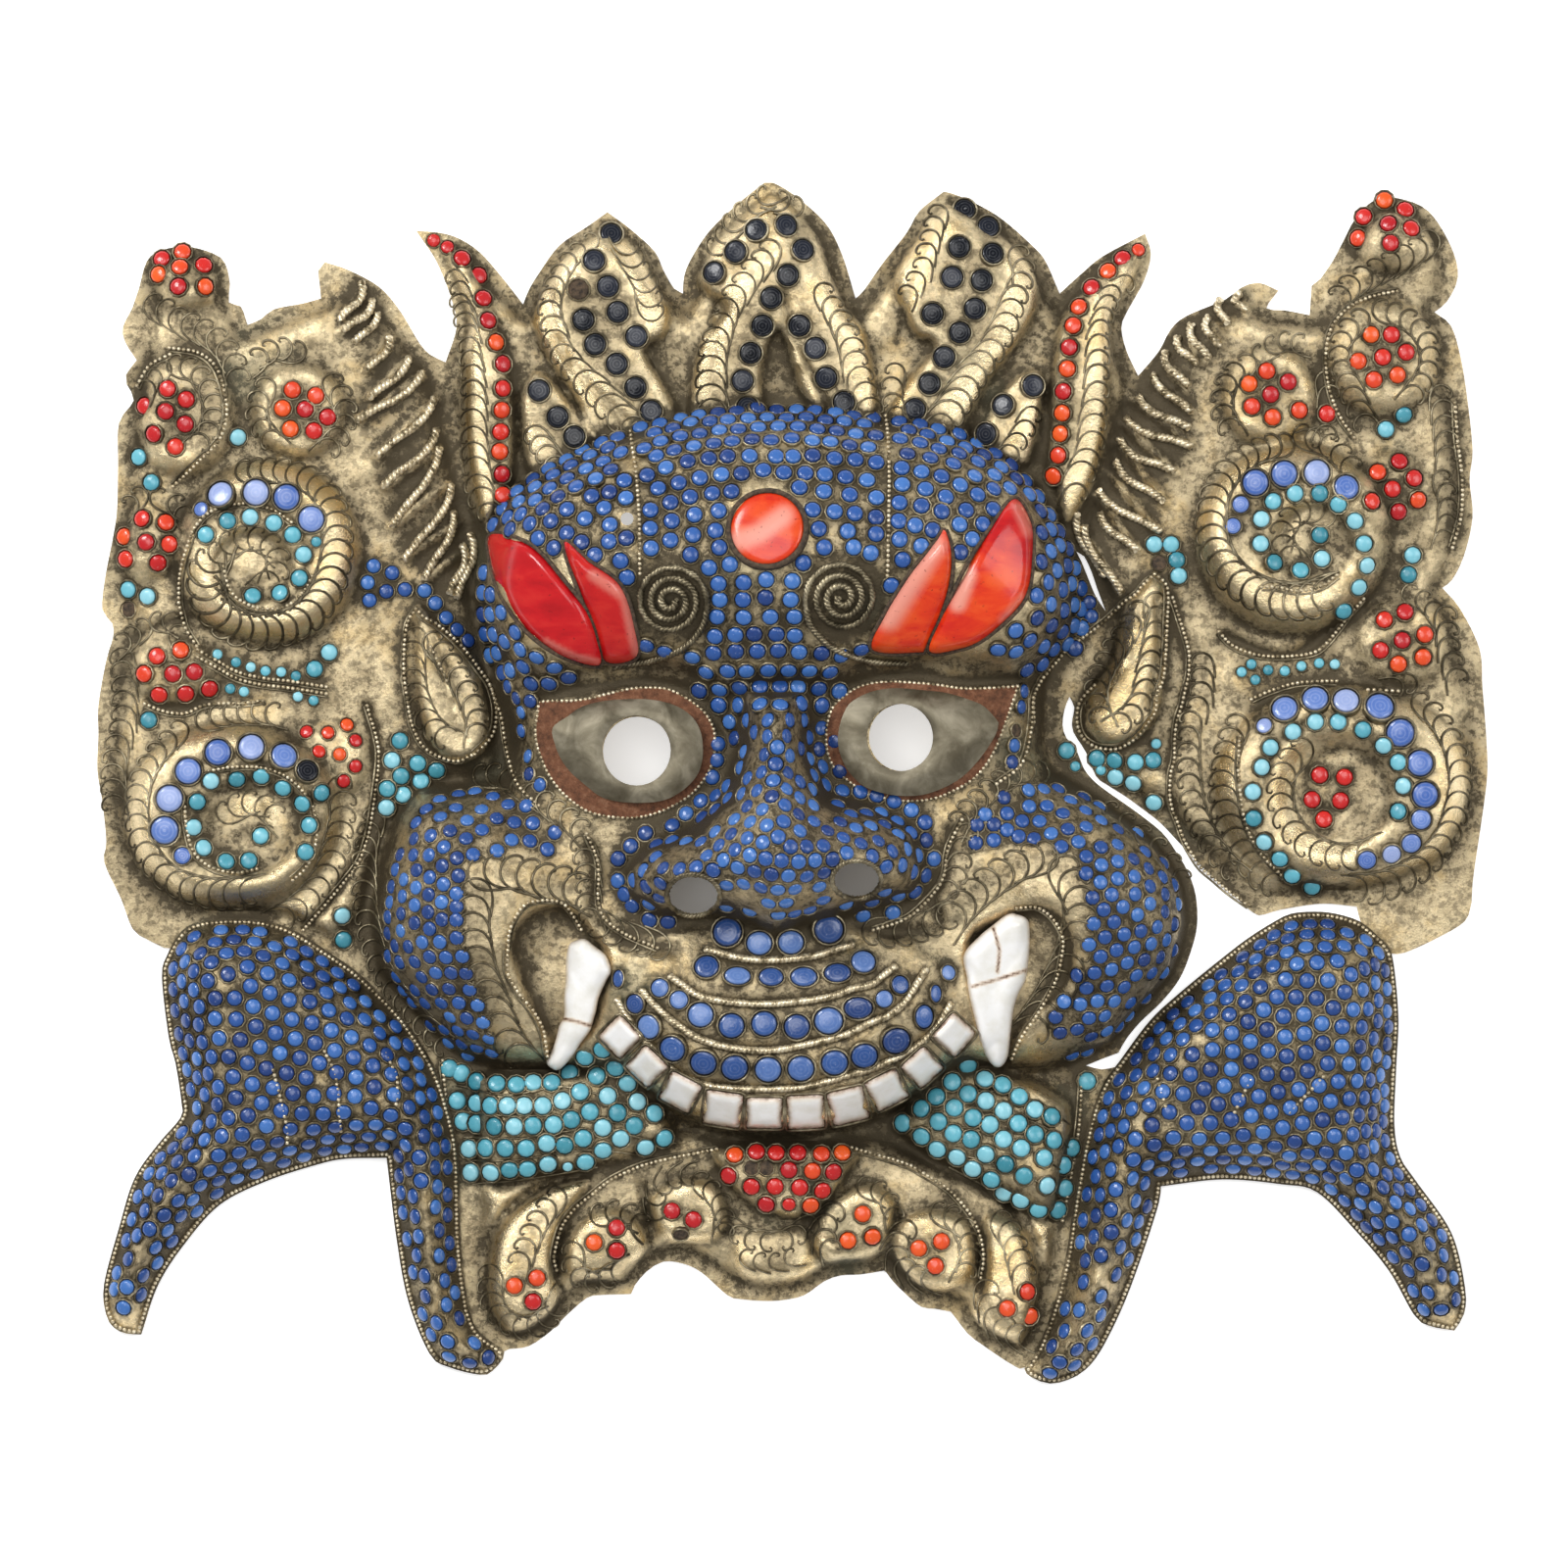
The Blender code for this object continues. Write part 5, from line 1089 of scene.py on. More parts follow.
rows.append(seats(SIDE_LAPIS, height_map, 8.0, seed=51))
lapis_rows = np.vstack(rows)
for name, part in (("lapis_stones_face", rows[:4] + rows[6:]), ("lapis_stones_arms", rows[4:6])):
    lapis_stones = set_pieces(name, np.vstack(part), stone_shape, lapis, collar_shape, shaded_wire_metal)
    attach(lapis_stones, "root")

# Turquoise stones: low cabochons from sky blue to teal, in the volutes, by the ears and in the two collars.
# Each is glued into its own collar of thin strip, as the lapis is.
TURQUOISE = [
    (143, 467), (156, 493), (244, 447), (132, 602), (152, 609),
    (213, 547), (235, 533), (258, 529), (282, 535), (301, 547), (312, 567), (308, 591), (288, 606),
    (260, 609), (153, 735), (218, 797), (244, 795), (269, 792), (291, 804), (204, 818), (200, 844),
    (210, 865), (233, 879), (256, 878), (311, 820), (318, 842), (314, 869), (268, 853), (330, 809),
    (322, 683), (337, 666), (409, 756), (401, 776), (427, 779), (446, 786), (410, 792), (430, 797),
    (396, 805),
    (412, 811), (395, 824), (350, 934), (351, 959),
    (1297, 513), (1319, 505), (1344, 505), (1363, 516), (1380, 533), (1389, 556), (1392, 578), (1384, 600),
    (1369, 624), (1285, 531), (1284, 556), (1298, 575), (1325, 583), (1347, 571), (1345, 547),
    (1431, 424), (1413, 439), (1440, 567), (1436, 587), (1317, 747), (1340, 737), (1363, 737), (1388, 745),
    (1409, 761), (1424, 778), (1429, 802), (1424, 828), (1294, 763), (1285, 783), (1276, 808), (1277, 835),
    (1288, 859), (1304, 876), (1338, 905), (1317, 893),
    (1177, 556), (1194, 556), (1200, 572), (1202, 588), (1088, 766), (1119, 774), (1138, 793), (1158, 778),
    (1176, 776), (1156, 799), (1177, 819), (1137, 776),
    (598, 1077), (616, 1069), (629, 1088), (582, 1094), (610, 1097), (641, 1104),
    (459, 1090), (471, 1095), (487, 1103), (508, 1105), (528, 1106), (545, 1104), (564, 1104), (593, 1113),
    (621, 1117), (651, 1123), (467, 1123), (487, 1125), (502, 1127), (519, 1127), (536, 1127), (555, 1127),
    (575, 1122), (603, 1133), (631, 1134), (668, 1135), (473, 1144), (487, 1146), (506, 1148), (526, 1148),
    (545, 1147), (566, 1146), (584, 1141), (616, 1149), (648, 1147), (479, 1172), (497, 1170), (517, 1170),
    (538, 1170), (559, 1165), (577, 1167), (596, 1160), (634, 1160), (678, 1160), (616, 1172), (659, 1169),
    (481, 1196), (502, 1195), (521, 1192), (539, 1191), (560, 1186), (598, 1184),
    (987, 1086), (971, 1103), (1004, 1100), (1022, 1106), (1039, 1118), (955, 1118), (987, 1115),
    (1005, 1122), (1023, 1132), (1055, 1131), (1072, 1138), (940, 1130), (973, 1129), (992, 1139),
    (1009, 1146), (1038, 1145), (1055, 1156), (1074, 1162), (1093, 1171), (921, 1145), (957, 1143),
    (972, 1155), (990, 1161), (1023, 1161), (1041, 1170), (1064, 1180), (1084, 1188), (940, 1158),
    (956, 1171), (976, 1179), (1005, 1176), (1025, 1186), (1044, 1198), (1067, 1208), (1086, 1212),
    (992, 1191), (1011, 1202), (1024, 1216), (1041, 1223), (1059, 1233), (1079, 1234), (1109, 1103),
]
SMALL_TURQUOISE = [
    (223, 668), (242, 676), (257, 681), (272, 685), (288, 686), (303, 690), (236, 703), (250, 706),
    (305, 711), (321, 715), (325, 554), (1276, 678), (1266, 686), (1280, 694), (1293, 684), (1310, 685),
    (1327, 680), (1345, 677), (1361, 678), (1097, 782), (1123, 786), (1179, 759), (580, 1189),
]
turquoise = stone_finish("turquoise", (0.035, 0.23, 0.30), (0.13, 0.47, 0.58), (0.33, 0.67, 0.76), 0.0, 0.28)
turquoise_sizes = [9.9 if 1060 < spot[1] < 1250 else 9.3 for spot in TURQUOISE]
rows = np.vstack([seats(TURQUOISE, height_map, turquoise_sizes, seed=60, steepest=0.5),
                  seats(SMALL_TURQUOISE, height_map, 5.8, seed=61, steepest=0.5)])
turquoise_stones = set_pieces("turquoise_stones", rows, stone_shape, turquoise, collar_shape, shaded_wire_metal)
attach(turquoise_stones, "root")

# Coral beads: red to orange cabochons in flowers of seven, on the two red flames and in the chin's cluster,
# set in collars so low that the beads stand over them.
CORAL = [
    (166, 265), (187, 258), (209, 272), (185, 274), (163, 281), (184, 294), (211, 294), (173, 398),
    (192, 409),
    (149, 415), (171, 421), (191, 434), (159, 444), (181, 457), (300, 399), (324, 405), (290, 418),
    (313, 419), (336, 427), (298, 439), (322, 441), (147, 530), (171, 534), (128, 548), (151, 554),
    (175, 556), (130, 571), (163, 575), (162, 670), (186, 664), (149, 688), (178, 688), (200, 686),
    (164, 709), (191, 708), (215, 703), (1412, 205), (1433, 215), (1391, 222), (1415, 230), (1438, 235),
    (1385, 244), (1417, 250), (1397, 343), (1418, 343), (1433, 361), (1409, 366), (1384, 370), (1400, 389),
    (1424, 384), (1291, 380), (1273, 393), (1313, 391), (1295, 404), (1276, 416), (1297, 427), (1324, 420),
    (1353, 423), (1426, 472), (1404, 483), (1441, 489), (1419, 500), (1397, 513), (1445, 511), (1425, 523),
    (1411, 633), (1432, 625), (1452, 648), (1429, 654), (1407, 664), (1450, 671), (1425, 678),
    (1345, 791), (1370, 793), (1337, 816), (1366, 817), (1349, 836),
    (472, 265), (489, 282), (494, 306), (499, 329), (507, 351), (514, 373), (514, 398), (513, 420),
    (512, 442), (511, 462), (513, 485), (514, 506), (1145, 265), (1130, 278), (1113, 295), (1100, 315),
    (1094, 334), (1090, 356), (1088, 378), (1084, 401), (1083, 423), (1081, 444), (1079, 466), (1074, 487),
    (750, 1177), (772, 1174), (792, 1175), (814, 1175), (838, 1176), (859, 1175), (805, 1192), (829, 1193),
    (850, 1194), (744, 1198), (767, 1209), (791, 1209), (816, 1210), (839, 1213), (782, 1227), (827, 1228),
    (526, 1310), (549, 1302), (545, 1326), (607, 1266), (630, 1251), (630, 1274), (686, 1234), (708, 1243),
    (865, 1264), (880, 1237), (890, 1260), (937, 1272), (960, 1265), (954, 1290), (1027, 1333), (1047, 1316),
    (1050, 1341),
]
SMALL_CORAL = [(314, 747), (336, 748), (355, 740), (364, 756), (327, 767), (348, 770), (364, 782),
               (352, 797),
               (443, 246), (457, 253), (1161, 256), (805, 1227)]
coral = stone_finish("coral", (0.46, 0.007, 0.013), (0.66, 0.020, 0.014), (0.86, 0.115, 0.012), 0.0, 0.22)
rows = np.vstack([seats(CORAL, height_map, 9.4, seed=70, steepest=0.5),
                  seats(SMALL_CORAL, height_map, 7.4, seed=71, steepest=0.5)])
coral_beads = set_pieces("coral_beads", rows, stone_shape, coral, collar_shape, shaded_wire_metal, height=0.9)
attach(coral_beads, "root")

# Black glass: flat round stones with fine rings, cut from rod and glued into taller collars, on the three
# leaves of the crown.
BLACK = [
    (624, 240), (607, 268), (621, 294), (596, 328), (631, 320), (650, 345), (608, 353), (630, 373),
    (649, 397),
    (665, 421), (551, 400), (570, 427), (587, 447), (772, 237), (802, 232), (751, 259), (819, 257),
    (729, 280), (804, 283), (787, 306), (778, 334), (766, 362), (758, 390), (763, 417), (816, 334),
    (832, 357), (843, 387), (861, 412), (984, 215), (1008, 233), (978, 254), (1012, 261), (971, 285),
    (1001, 288), (951, 322), (994, 317), (979, 341), (963, 366), (948, 393), (933, 419), (1053, 395),
    (1023, 415), (1006, 444), (316, 787),
]
black_glass = stone_finish("black_glass", (0.003, 0.004, 0.007), (0.006, 0.008, 0.014), (0.022, 0.026, 0.04),
                           0.10, 0.14)
black_glass.node_tree.nodes["Principled BSDF"].inputs["Coat Weight"].default_value = 0.0
black_glass.node_tree.nodes["Principled BSDF"].inputs["Specular IOR Level"].default_value = 0.28
GLASS_PROFILE = [(0, 0.20), (0.70, 0.20), (0.90, 0.16), (0.97, 0.06), (0.97, -0.25), (0, -0.25)]
glass_shape = turned("glass stone", GLASS_PROFILE, 16, metal)
WIDE_COLLAR_PROFILE = [(1.0, 0.24), (1.07, 0.28), (1.15, 0.20), (1.17, -0.28), (0.99, -0.28)]
wide_collar = turned("wide collar", WIDE_COLLAR_PROFILE, 16, metal)
rows = seats(BLACK, height_map, 11.6, seed=80, steepest=0.4)
black_stones = set_pieces("black_stones", rows, glass_shape, black_glass, wide_collar, shaded_wire_metal)
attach(black_stones, "root")

# Periwinkle stones: large flat discs of glass with pale swirls along the volutes, and darker, squarer ones in
# the rows of the lips. Each: x, y and radius, or x, y, half width and half height.
PERIWINKLE = [
    (228, 506, 13), (264, 504, 13), (295, 509, 13), (320, 531, 13), (195, 787, 13), (225, 768, 13),
    (259, 763, 13), (292, 772, 13), (176, 815, 13.5), (171, 847, 14), (189, 873, 8.5),
    (1279, 494, 13), (1308, 485, 13), (1341, 484, 13), (1371, 499, 12.5), (1309, 724, 13), (1340, 714, 13),
    (1371, 716, 13), (1405, 722, 14), (1426, 748, 14), (1446, 779, 13), (1451, 811, 13), (1447, 836, 10),
    (1437, 860, 10), (1417, 871, 9.5), (1392, 877, 9.5), (1288, 741, 8), (1264, 516, 8.5), (1256, 538, 8),
    (208, 521, 7.5),
]
LIPS = [
    (743, 950, 14, 14), (775, 961, 12.5, 11.5), (807, 960, 12.5, 11.5), (845, 947, 14.5, 13.5),
    (675, 1006, 9, 9), (694, 1018, 9, 9), (722, 985, 12, 11.5), (753, 994, 13, 9), (787, 995, 12, 9),
    (820, 995, 13, 9.5), (854, 991, 13, 9.5), (880, 980, 12, 11.5), (716, 1033, 12.5, 12),
    (747, 1044, 12.5, 12),
    (780, 1042, 12.5, 12), (813, 1045, 12.5, 12), (845, 1039, 14, 13), (875, 1026, 14, 10.5),
    (901, 1017, 8.5, 8.5),
    (917, 1003, 9, 9), (633, 997, 6, 8.5), (650, 1022, 9.5, 9.5), (664, 1045, 12, 12), (688, 1067, 13, 12.5),
    (719, 1081, 13, 12.5), (750, 1086, 13, 12.5), (784, 1088, 13, 12.5), (817, 1087, 13, 12.5),
    (851, 1081, 13, 12.5), (881, 1074, 13, 12.5), (913, 1059, 14, 13), (941, 1035, 9.5, 11.5),
    (953, 1012, 6, 8.5), (966, 991, 7.5, 7.5),
]
periwinkle = stone_finish("periwinkle", (0.045, 0.12, 0.42), (0.14, 0.24, 0.58), (0.34, 0.42, 0.70),
                          0.22, 0.2)
lip_blue = stone_finish("lip_blue", (0.013, 0.04, 0.16), (0.026, 0.085, 0.29), (0.14, 0.25, 0.55), 0.10, 0.2)
DISC_PROFILE = [(0, 0.26), (0.62, 0.25), (0.86, 0.19), (0.97, 0.06), (0.97, -0.25), (0, -0.25)]
disc_shape = turned("disc stone", DISC_PROFILE, 16, metal)
spots = np.array(PERIWINKLE, float)
rows = seats(spots[:, :2], height_map, 1.08 * spots[:, [2, 2, 2]], seed=90, steepest=0.5)
periwinkle_stones = set_pieces("periwinkle_stones", rows, disc_shape, periwinkle, wide_collar, shaded_wire_metal)
spots = np.array(LIPS, float)
rows = seats(spots[:, :2], height_map, 1.1 * spots[:, [2, 3, 3]], turns=np.zeros(len(spots)), seed=91,
             steepest=0.6)
lip_stones = set_pieces("lip_stones", rows, disc_shape, lip_blue, wide_collar, shaded_wire_metal)
for stones, cad in ((periwinkle_stones, range(1, 22)), (lip_stones, range(22, 26))):
    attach(stones, "root")
    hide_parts(*[f"cabochon_{number:02d}" for number in cad])

# Lost stones: collars that are still soldered on, round a dark bed of old glue. Each: x, y and radius, the
# last two on the right arm.
LOST = [(591, 297, 11), (132, 622, 8), (1182, 575, 8), (767, 1190, 8), (782, 1190, 8), (695, 1258, 8),
        (1035, 746, 7), (1126, 1333, 8.5), (1113, 1268, 8.5)]
old_glue, tree, skin = shader("old_glue")
glue = ramp(tree, noise(tree, 900, 3, 0.6), [(0.35, (0.03, 0.022, 0.015)), (0.7, (0.13, 0.085, 0.05))])
tree.links.new(glue, skin.inputs["Base Color"])
skin.inputs["Roughness"].default_value = 0.9
glue_shape = turned("glue bed", [(0, 0.02), (0.9, 0.03), (0.98, 0.0), (0.98, -0.3), (0, -0.3)], 10, metal)
spots = np.array(LOST, float)
rows = np.vstack([seats(spots[:-2, :2], height_map, spots[:-2, [2, 2, 2]], seed=95),
                  seats(spots[-2:, :2], arm_maps[1], spots[-2:, [2, 2, 2]], seed=96)])
lost_stones = set_pieces("lost_stones", rows, glue_shape, old_glue, collar_shape, shaded_wire_metal)
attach(lost_stones, "root")

# Eye plates: thin grey metal teardrops, slightly domed, with a round sight hole in each. They are bedded in
# brown putty inside the beaded eye rims.
EYES = {
    "left": dict(
        plate=[(566, 743), (582, 731), (595, 722), (618, 716), (649, 714), (674, 716), (693, 722),
               (707, 732),
               (715, 745), (718, 761), (717, 778), (711, 793), (697, 807), (680, 816), (659, 819),
               (634, 818), (615, 813), (599, 801), (584, 788), (574, 774), (568, 759)],
        rim=[(552, 717), (566, 716), (588, 716), (603, 714), (620, 710), (640, 705), (659, 703), (680, 704),
             (695, 710), (709, 719), (720, 729), (728, 743), (730, 759), (728, 776), (720, 793), (707, 809),
             (691, 820), (672, 829), (649, 834), (624, 833), (603, 828), (588, 819), (574, 806), (563, 791),
             (556, 776), (551, 761), (549, 743), (551, 728)],
        hole=((651, 766), 34.5, 35.5)),
    "right": dict(
        plate=[(1017, 738), (1003, 722), (988, 715), (965, 708), (940, 705), (915, 703), (895, 705),
               (880, 710),
               (866, 719), (859, 732), (855, 747), (855, 763), (861, 780), (870, 793), (882, 803),
               (899, 809),
               (918, 812), (940, 811), (961, 804), (980, 793), (995, 778), (1009, 759), (1016, 745)],
        rim=[(1036, 701), (1011, 703), (988, 704), (972, 703), (953, 700), (928, 698), (905, 697),
             (886, 699),
             (872, 704), (861, 712), (851, 721), (845, 736), (843, 751), (844, 766), (850, 782), (861, 793),
             (880, 807), (896, 813), (913, 816), (930, 817), (949, 815), (968, 808), (988, 797), (1001, 784),
             (1011, 768), (1018, 753), (1023, 740), (1028, 726), (1033, 711)],
        hole=((917, 753), 33.5, 34.0)),
}


def capped(name, outline, holes, top, depth, gap, finish):
    """A closed slab inside an outline whose upper face follows a function of the photograph's points."""
    flat, faces, _ = net_faces(outline, holes, gap)
    high = top(flat)
    piece = closed_piece(name, np.column_stack([flat, high]), faces, np.column_stack([flat, high - depth]),
                         faces, [outline, *holes], 50)
    piece.data.materials.append(finish)
    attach(piece, "root")
    return piece


def level_of(outline):
    """The plane that fits the sheet under an outline, as a function of the photograph's points."""
    spots = np.array([tuple(point) for point in outline], float)
    centre = spots.mean(axis=0)
    spots = np.vstack([spots, (spots + centre) / 2, (spots + 3 * centre) / 4])
    fit = np.linalg.lstsq(np.column_stack([spots, np.ones(len(spots))]), sampled(height_map, *spots.T),
                          rcond=None)[0]
    return lambda flat: flat[:, 0] * fit[0] + flat[:, 1] * fit[1] + fit[2]


eye_grey, tree, skin = shader("eye_plate")
wear = noise(tree, 120, 5, 0.6, 0.5)
tree.links.new(ramp(tree, wear, [(0.34, (0.105, 0.088, 0.055)), (0.52, (0.20, 0.175, 0.120)),
                                 (0.68, (0.33, 0.295, 0.215))]), skin.inputs["Base Color"])
skin.inputs["Metallic"].default_value = 0.65
tree.links.new(figured(tree, "ADD", 0.38, figured(tree, "MULTIPLY", wear, 0.3)), skin.inputs["Roughness"])
tree.links.new(bumped(tree, noise(tree, 600, 4, 0.7), 0.25, 0.0004), skin.inputs["Normal"])
putty, tree, skin = shader("brown_putty")
clay = ramp(tree, noise(tree, 350, 5, 0.7), [(0.30, (0.055, 0.022, 0.010)), (0.55, (0.19, 0.075, 0.035)),
                                             (0.75, (0.30, 0.16, 0.09))])
tree.links.new(clay, skin.inputs["Base Color"])
skin.inputs["Roughness"].default_value = 0.92
tree.links.new(bumped(tree, noise(tree, 900, 4, 0.7), 0.8, 0.0008), skin.inputs["Normal"])
for side, eye in EYES.items():
    rim = round_outline(eye["rim"], 6)
    level = level_of(eye["rim"])
    hole = ellipse(*eye["hole"])
    bed_hole = ellipse(eye["hole"][0], eye["hole"][1] + 3, eye["hole"][2] + 3)
    capped(f"putty_{side}", rim, [bed_hole],
           lambda flat: sampled(height_map, *flat.T) + 0.0006, 0.0012, 6, putty)
    plate_edge = round_outline(eye["plate"], 5)

    def plate_top(flat, plate_edge=plate_edge, hole=hole):
        """Domed between the plate's edge and its hole."""
        outer = depth_inside(flat[:, 0], flat[:, 1], plate_edge)
        inner = -depth_inside(flat[:, 0], flat[:, 1], hole)
        return (np.maximum(level(flat), sampled(blurred(height_map, 8), *flat.T))
                + 0.0022 * rounded(outer / 22) + 0.0010 * rounded(inner / 10))
    plate = capped(f"eye_plate_{side}_look", plate_edge, [hole], plate_top, 0.0009, 5, eye_grey)
    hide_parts(f"eye_plate_{side}")

# Brow corals: four polished slabs of branch coral with streaks, pits and softened edges, glued side by side
# over the eyes.
coral_slab, tree, skin = shader("coral_slab")
tone = add(tree, "ShaderNodeAttribute", attribute_name="tone").outputs["Fac"]
streak_spot = add(tree, "ShaderNodeMapping", {"Vector": add(tree, "ShaderNodeTexCoord").outputs["Object"],
                                              "Rotation": (0, 0, 0.9), "Scale": (1.0, 2.4, 1.0)})
streak = add(tree, "ShaderNodeTexNoise",
             {"Vector": streak_spot.outputs["Vector"], "Scale": 75.0, "Detail": 4.0, "Roughness": 0.55,
              "Distortion": 0.6}).outputs["Fac"]
crimson = ramp(tree, streak, [(0.32, (0.40, 0.004, 0.008)), (0.52, (0.52, 0.007, 0.011)),
                              (0.72, (0.60, 0.022, 0.018))])
orange = ramp(tree, streak, [(0.36, (0.62, 0.020, 0.008)), (0.50, (0.72, 0.045, 0.008)),
                             (0.66, (0.78, 0.085, 0.014))])
pale = add(tree, "ShaderNodeAttribute", attribute_name="pale").outputs["Fac"]
slab = mixed(tree, tone, crimson, orange)
slab = mixed(tree, pale, slab, (0.80, 0.34, 0.26))
pit = above(tree, noise(tree, 900, 2, 0.5), 0.66, 9.0)
slab = mixed(tree, figured(tree, "MULTIPLY", pit, 0.7), slab, (0.10, 0.004, 0.004))
tree.links.new(slab, skin.inputs["Base Color"])
skin.inputs["Roughness"].default_value = 0.20
skin.inputs["Specular IOR Level"].default_value = 0.35
skin.inputs["Coat Weight"].default_value = 0.15
skin.inputs["Coat Roughness"].default_value = 0.08
tree.links.new(bumped(tree, streak, 0.12, 0.0010), skin.inputs["Normal"])


PALE_BANDS = [([(608, 590), (640, 612), (652, 668)], 7, 0.45), ([(612, 676), (590, 672),
                                                                 (560, 656)], 4, 0.35),
              ([(950, 560), (925, 600), (905, 632)], 16, 0.85), ([(1036, 520), (1046, 545)], 8, 0.35),
              ([(985, 590), (975, 618)], 11, 0.9), ([(1040, 610), (1020, 634)], 5, 0.3),
              ([(752, 556), (775, 548), (800, 530)], 13, 0.85)]
RED_PARTS = [([(1012, 545), (1042, 520), (1048, 570)], 26, 0.95)]


def points_of(piece):
    """A piece's points as points of the photograph."""
    return in_pixels(np.array([tuple(vert.co) for vert in piece.data.vertices]))


def streaked(piece, value):
    """Give a piece its tone, with the paler bands and the crimson parts of its polished face."""
    spots = points_of(piece)
    for label, bands, amount, full in (("pale", PALE_BANDS, 0.0, 1), ("tone", RED_PARTS, value, 0)):
        amount = np.full(len(spots), amount)
        for path, width, strength in bands:
            part = strength * soft_step(1.25 - path_distance(*spots.T, path) / width)
            amount = amount + part * (full - amount)
        marked(piece, label, amount)


CORAL_TONES = {"left_outer": 0.0, "left_inner": 0.08, "right_inner": 1.0, "right_outer": 1.0}
for label, outline in BROWS.items():
    edge = round_outline(outline, 5)
    level = level_of(outline)

    def slab_top(flat, edge=edge, level=level):
        """Flat and polished, with an uneven rounded edge."""
        inner = depth_inside(flat[:, 0], flat[:, 1], edge)
        base = 0.35 * level(flat) + 0.65 * sampled(blurred(height_map, 14), *flat.T)
        return base + 0.0012 + 0.0021 * rounded(inner / 9)
    slab_piece = capped(f"brow_coral_{label}_look", edge, [], slab_top, 0.0030, 4, coral_slab)
    streaked(slab_piece, CORAL_TONES[label])
    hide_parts(f"brow_coral_{label}")

# Third eye: a round, nearly flat coral with a pale band, held in the middle of the forehead by a blackened
# collar of strip and glue.
THIRD_EYE_RADIUS = 37.0
THIRD_EYE_PROFILE = [(0, 0.115), (0.12, 0.115), (0.25, 0.112), (0.38, 0.109), (0.5, 0.105), (0.62, 0.098),
                     (0.72, 0.09), (0.82, 0.077), (0.91, 0.055), (0.97, 0.025), (1.0, -0.02), (1.0, -0.12),
                     (0, -0.12)]
THIRD_COLLAR_PROFILE = [(1.0, 0.05), (1.05, 0.075), (1.12, 0.06), (1.15, -0.12), (0.99, -0.12)]
rows = seats([THIRD_EYE], height_map, THIRD_EYE_RADIUS, seed=3)
third = set_pieces("third_eye_coral_look", rows, turned("third eye", THIRD_EYE_PROFILE, 40, metal),
                   coral_slab)
streaked(third, 0.9)
third_ring = set_pieces("third_eye_bezel_look", rows, turned("third collar", THIRD_COLLAR_PROFILE, 40, metal),
                        old_glue)
for piece, node, slot_name in ((third, "third_eye_coral", "coral"),
                               (third_ring, "third_eye_bezel", "dark_metal")):
    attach(piece, "root")
    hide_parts(node)

# Fangs and teeth: polished white shell, yellowed at the edges and cracked. The fangs are two long tusks glued
# into the corners of the mouth, and the ten squared teeth stand in thin metal cells. Each fang: edge, cracks.
shell, tree, skin = shader("shell")
veil = noise(tree, 160, 4, 0.6)
stain = add(tree, "ShaderNodeAttribute", attribute_name="stain").outputs["Fac"]
white = ramp(tree, veil, [(0.35, (0.86, 0.84, 0.78)), (0.60, (0.95, 0.94, 0.92))])
spotty = figured(tree, "ADD", figured(tree, "MULTIPLY", noise(tree, 500, 4, 0.7), 1.6), 0.1)
brown = figured(tree, "MULTIPLY", stain, spotty, clamp=True)
tan = ramp(tree, brown, [(0.1, (0.80, 0.60, 0.36)), (0.5, (0.50, 0.28, 0.11)), (0.95, (0.10, 0.04, 0.015))])
tree.links.new(mixed(tree, brown, white, tan), skin.inputs["Base Color"])
skin.inputs["Roughness"].default_value = 0.24
skin.inputs["Coat Weight"].default_value = 0.3
skin.inputs["Subsurface Weight"].default_value = 0.08
skin.inputs["Subsurface Radius"].default_value = (0.002, 0.002, 0.002)
tree.links.new(bumped(tree, noise(tree, 300, 3, 0.5), 0.12, 0.0006), skin.inputs["Normal"])
FANGS = {
    "fang_left": ([(582, 963), (588, 959), (598, 957), (609, 965), (620, 974), (625, 989), (621, 998),
                   (616, 1008),
                   (612, 1018), (610, 1028), (607, 1039), (603, 1051), (594, 1063), (586, 1076), (572, 1090),
                   (564, 1089), (559, 1083), (564, 1071), (569, 1057), (572, 1045), (577, 1035), (577, 1016),
                   (579, 998), (579, 979)],
                  [[(570, 1037), (588, 1040), (608, 1046)]]),
    "fang_right": ([(1026, 932), (1036, 932), (1047, 938), (1049, 957), (1048, 977), (1045, 998),
                    (1038, 1012),
                    (1033, 1028), (1030, 1053), (1028, 1074), (1022, 1086), (1014, 1087), (1006, 1078),
                    (999, 1061), (994, 1041), (987, 1012), (985, 996), (982, 973), (997, 955), (1010, 944)],
                   [[(990, 1005), (1015, 998), (1047, 988)], [(1012, 946), (1018, 968), (1016, 990)]]),
}


CRACK_WIDTH = 2.2


def stained(piece, edge, cracks, share, reach):
    """Mark how brown each point is: along the cracks, and at the edge."""
    spots = points_of(piece)
    near = np.full(len(spots), np.inf)
    for path in cracks:
        near = np.minimum(near, path_distance(*spots.T, path))
    inner = depth_inside(*spots.T, edge)
    marked(piece, "stain", np.maximum(np.clip(1.3 - near / CRACK_WIDTH, 0, 1),
                                      share * np.clip(1 - inner / reach, 0, 1)))


for name, (outline, cracks) in FANGS.items():
    edge = round_outline(outline, 3)
    level = level_of(outline)

    def fang_top(flat, edge=edge, level=level):
        """Rounded like a tusk."""
        inner = depth_inside(flat[:, 0], flat[:, 1], edge)
        low = np.maximum(level(flat), sampled(blurred(height_map, 10), *flat.T))
        return low + 0.0016 + 0.0046 * np.sqrt(np.clip(1 - (1 - np.clip(inner / 17, 0, 1)) ** 2, 0, 1))
    fang = capped(name + "_look", edge, [], fang_top, 0.0035, 2.6, shell)
    stained(fang, edge, cracks, 0.5, 3.5)
    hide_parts(name)
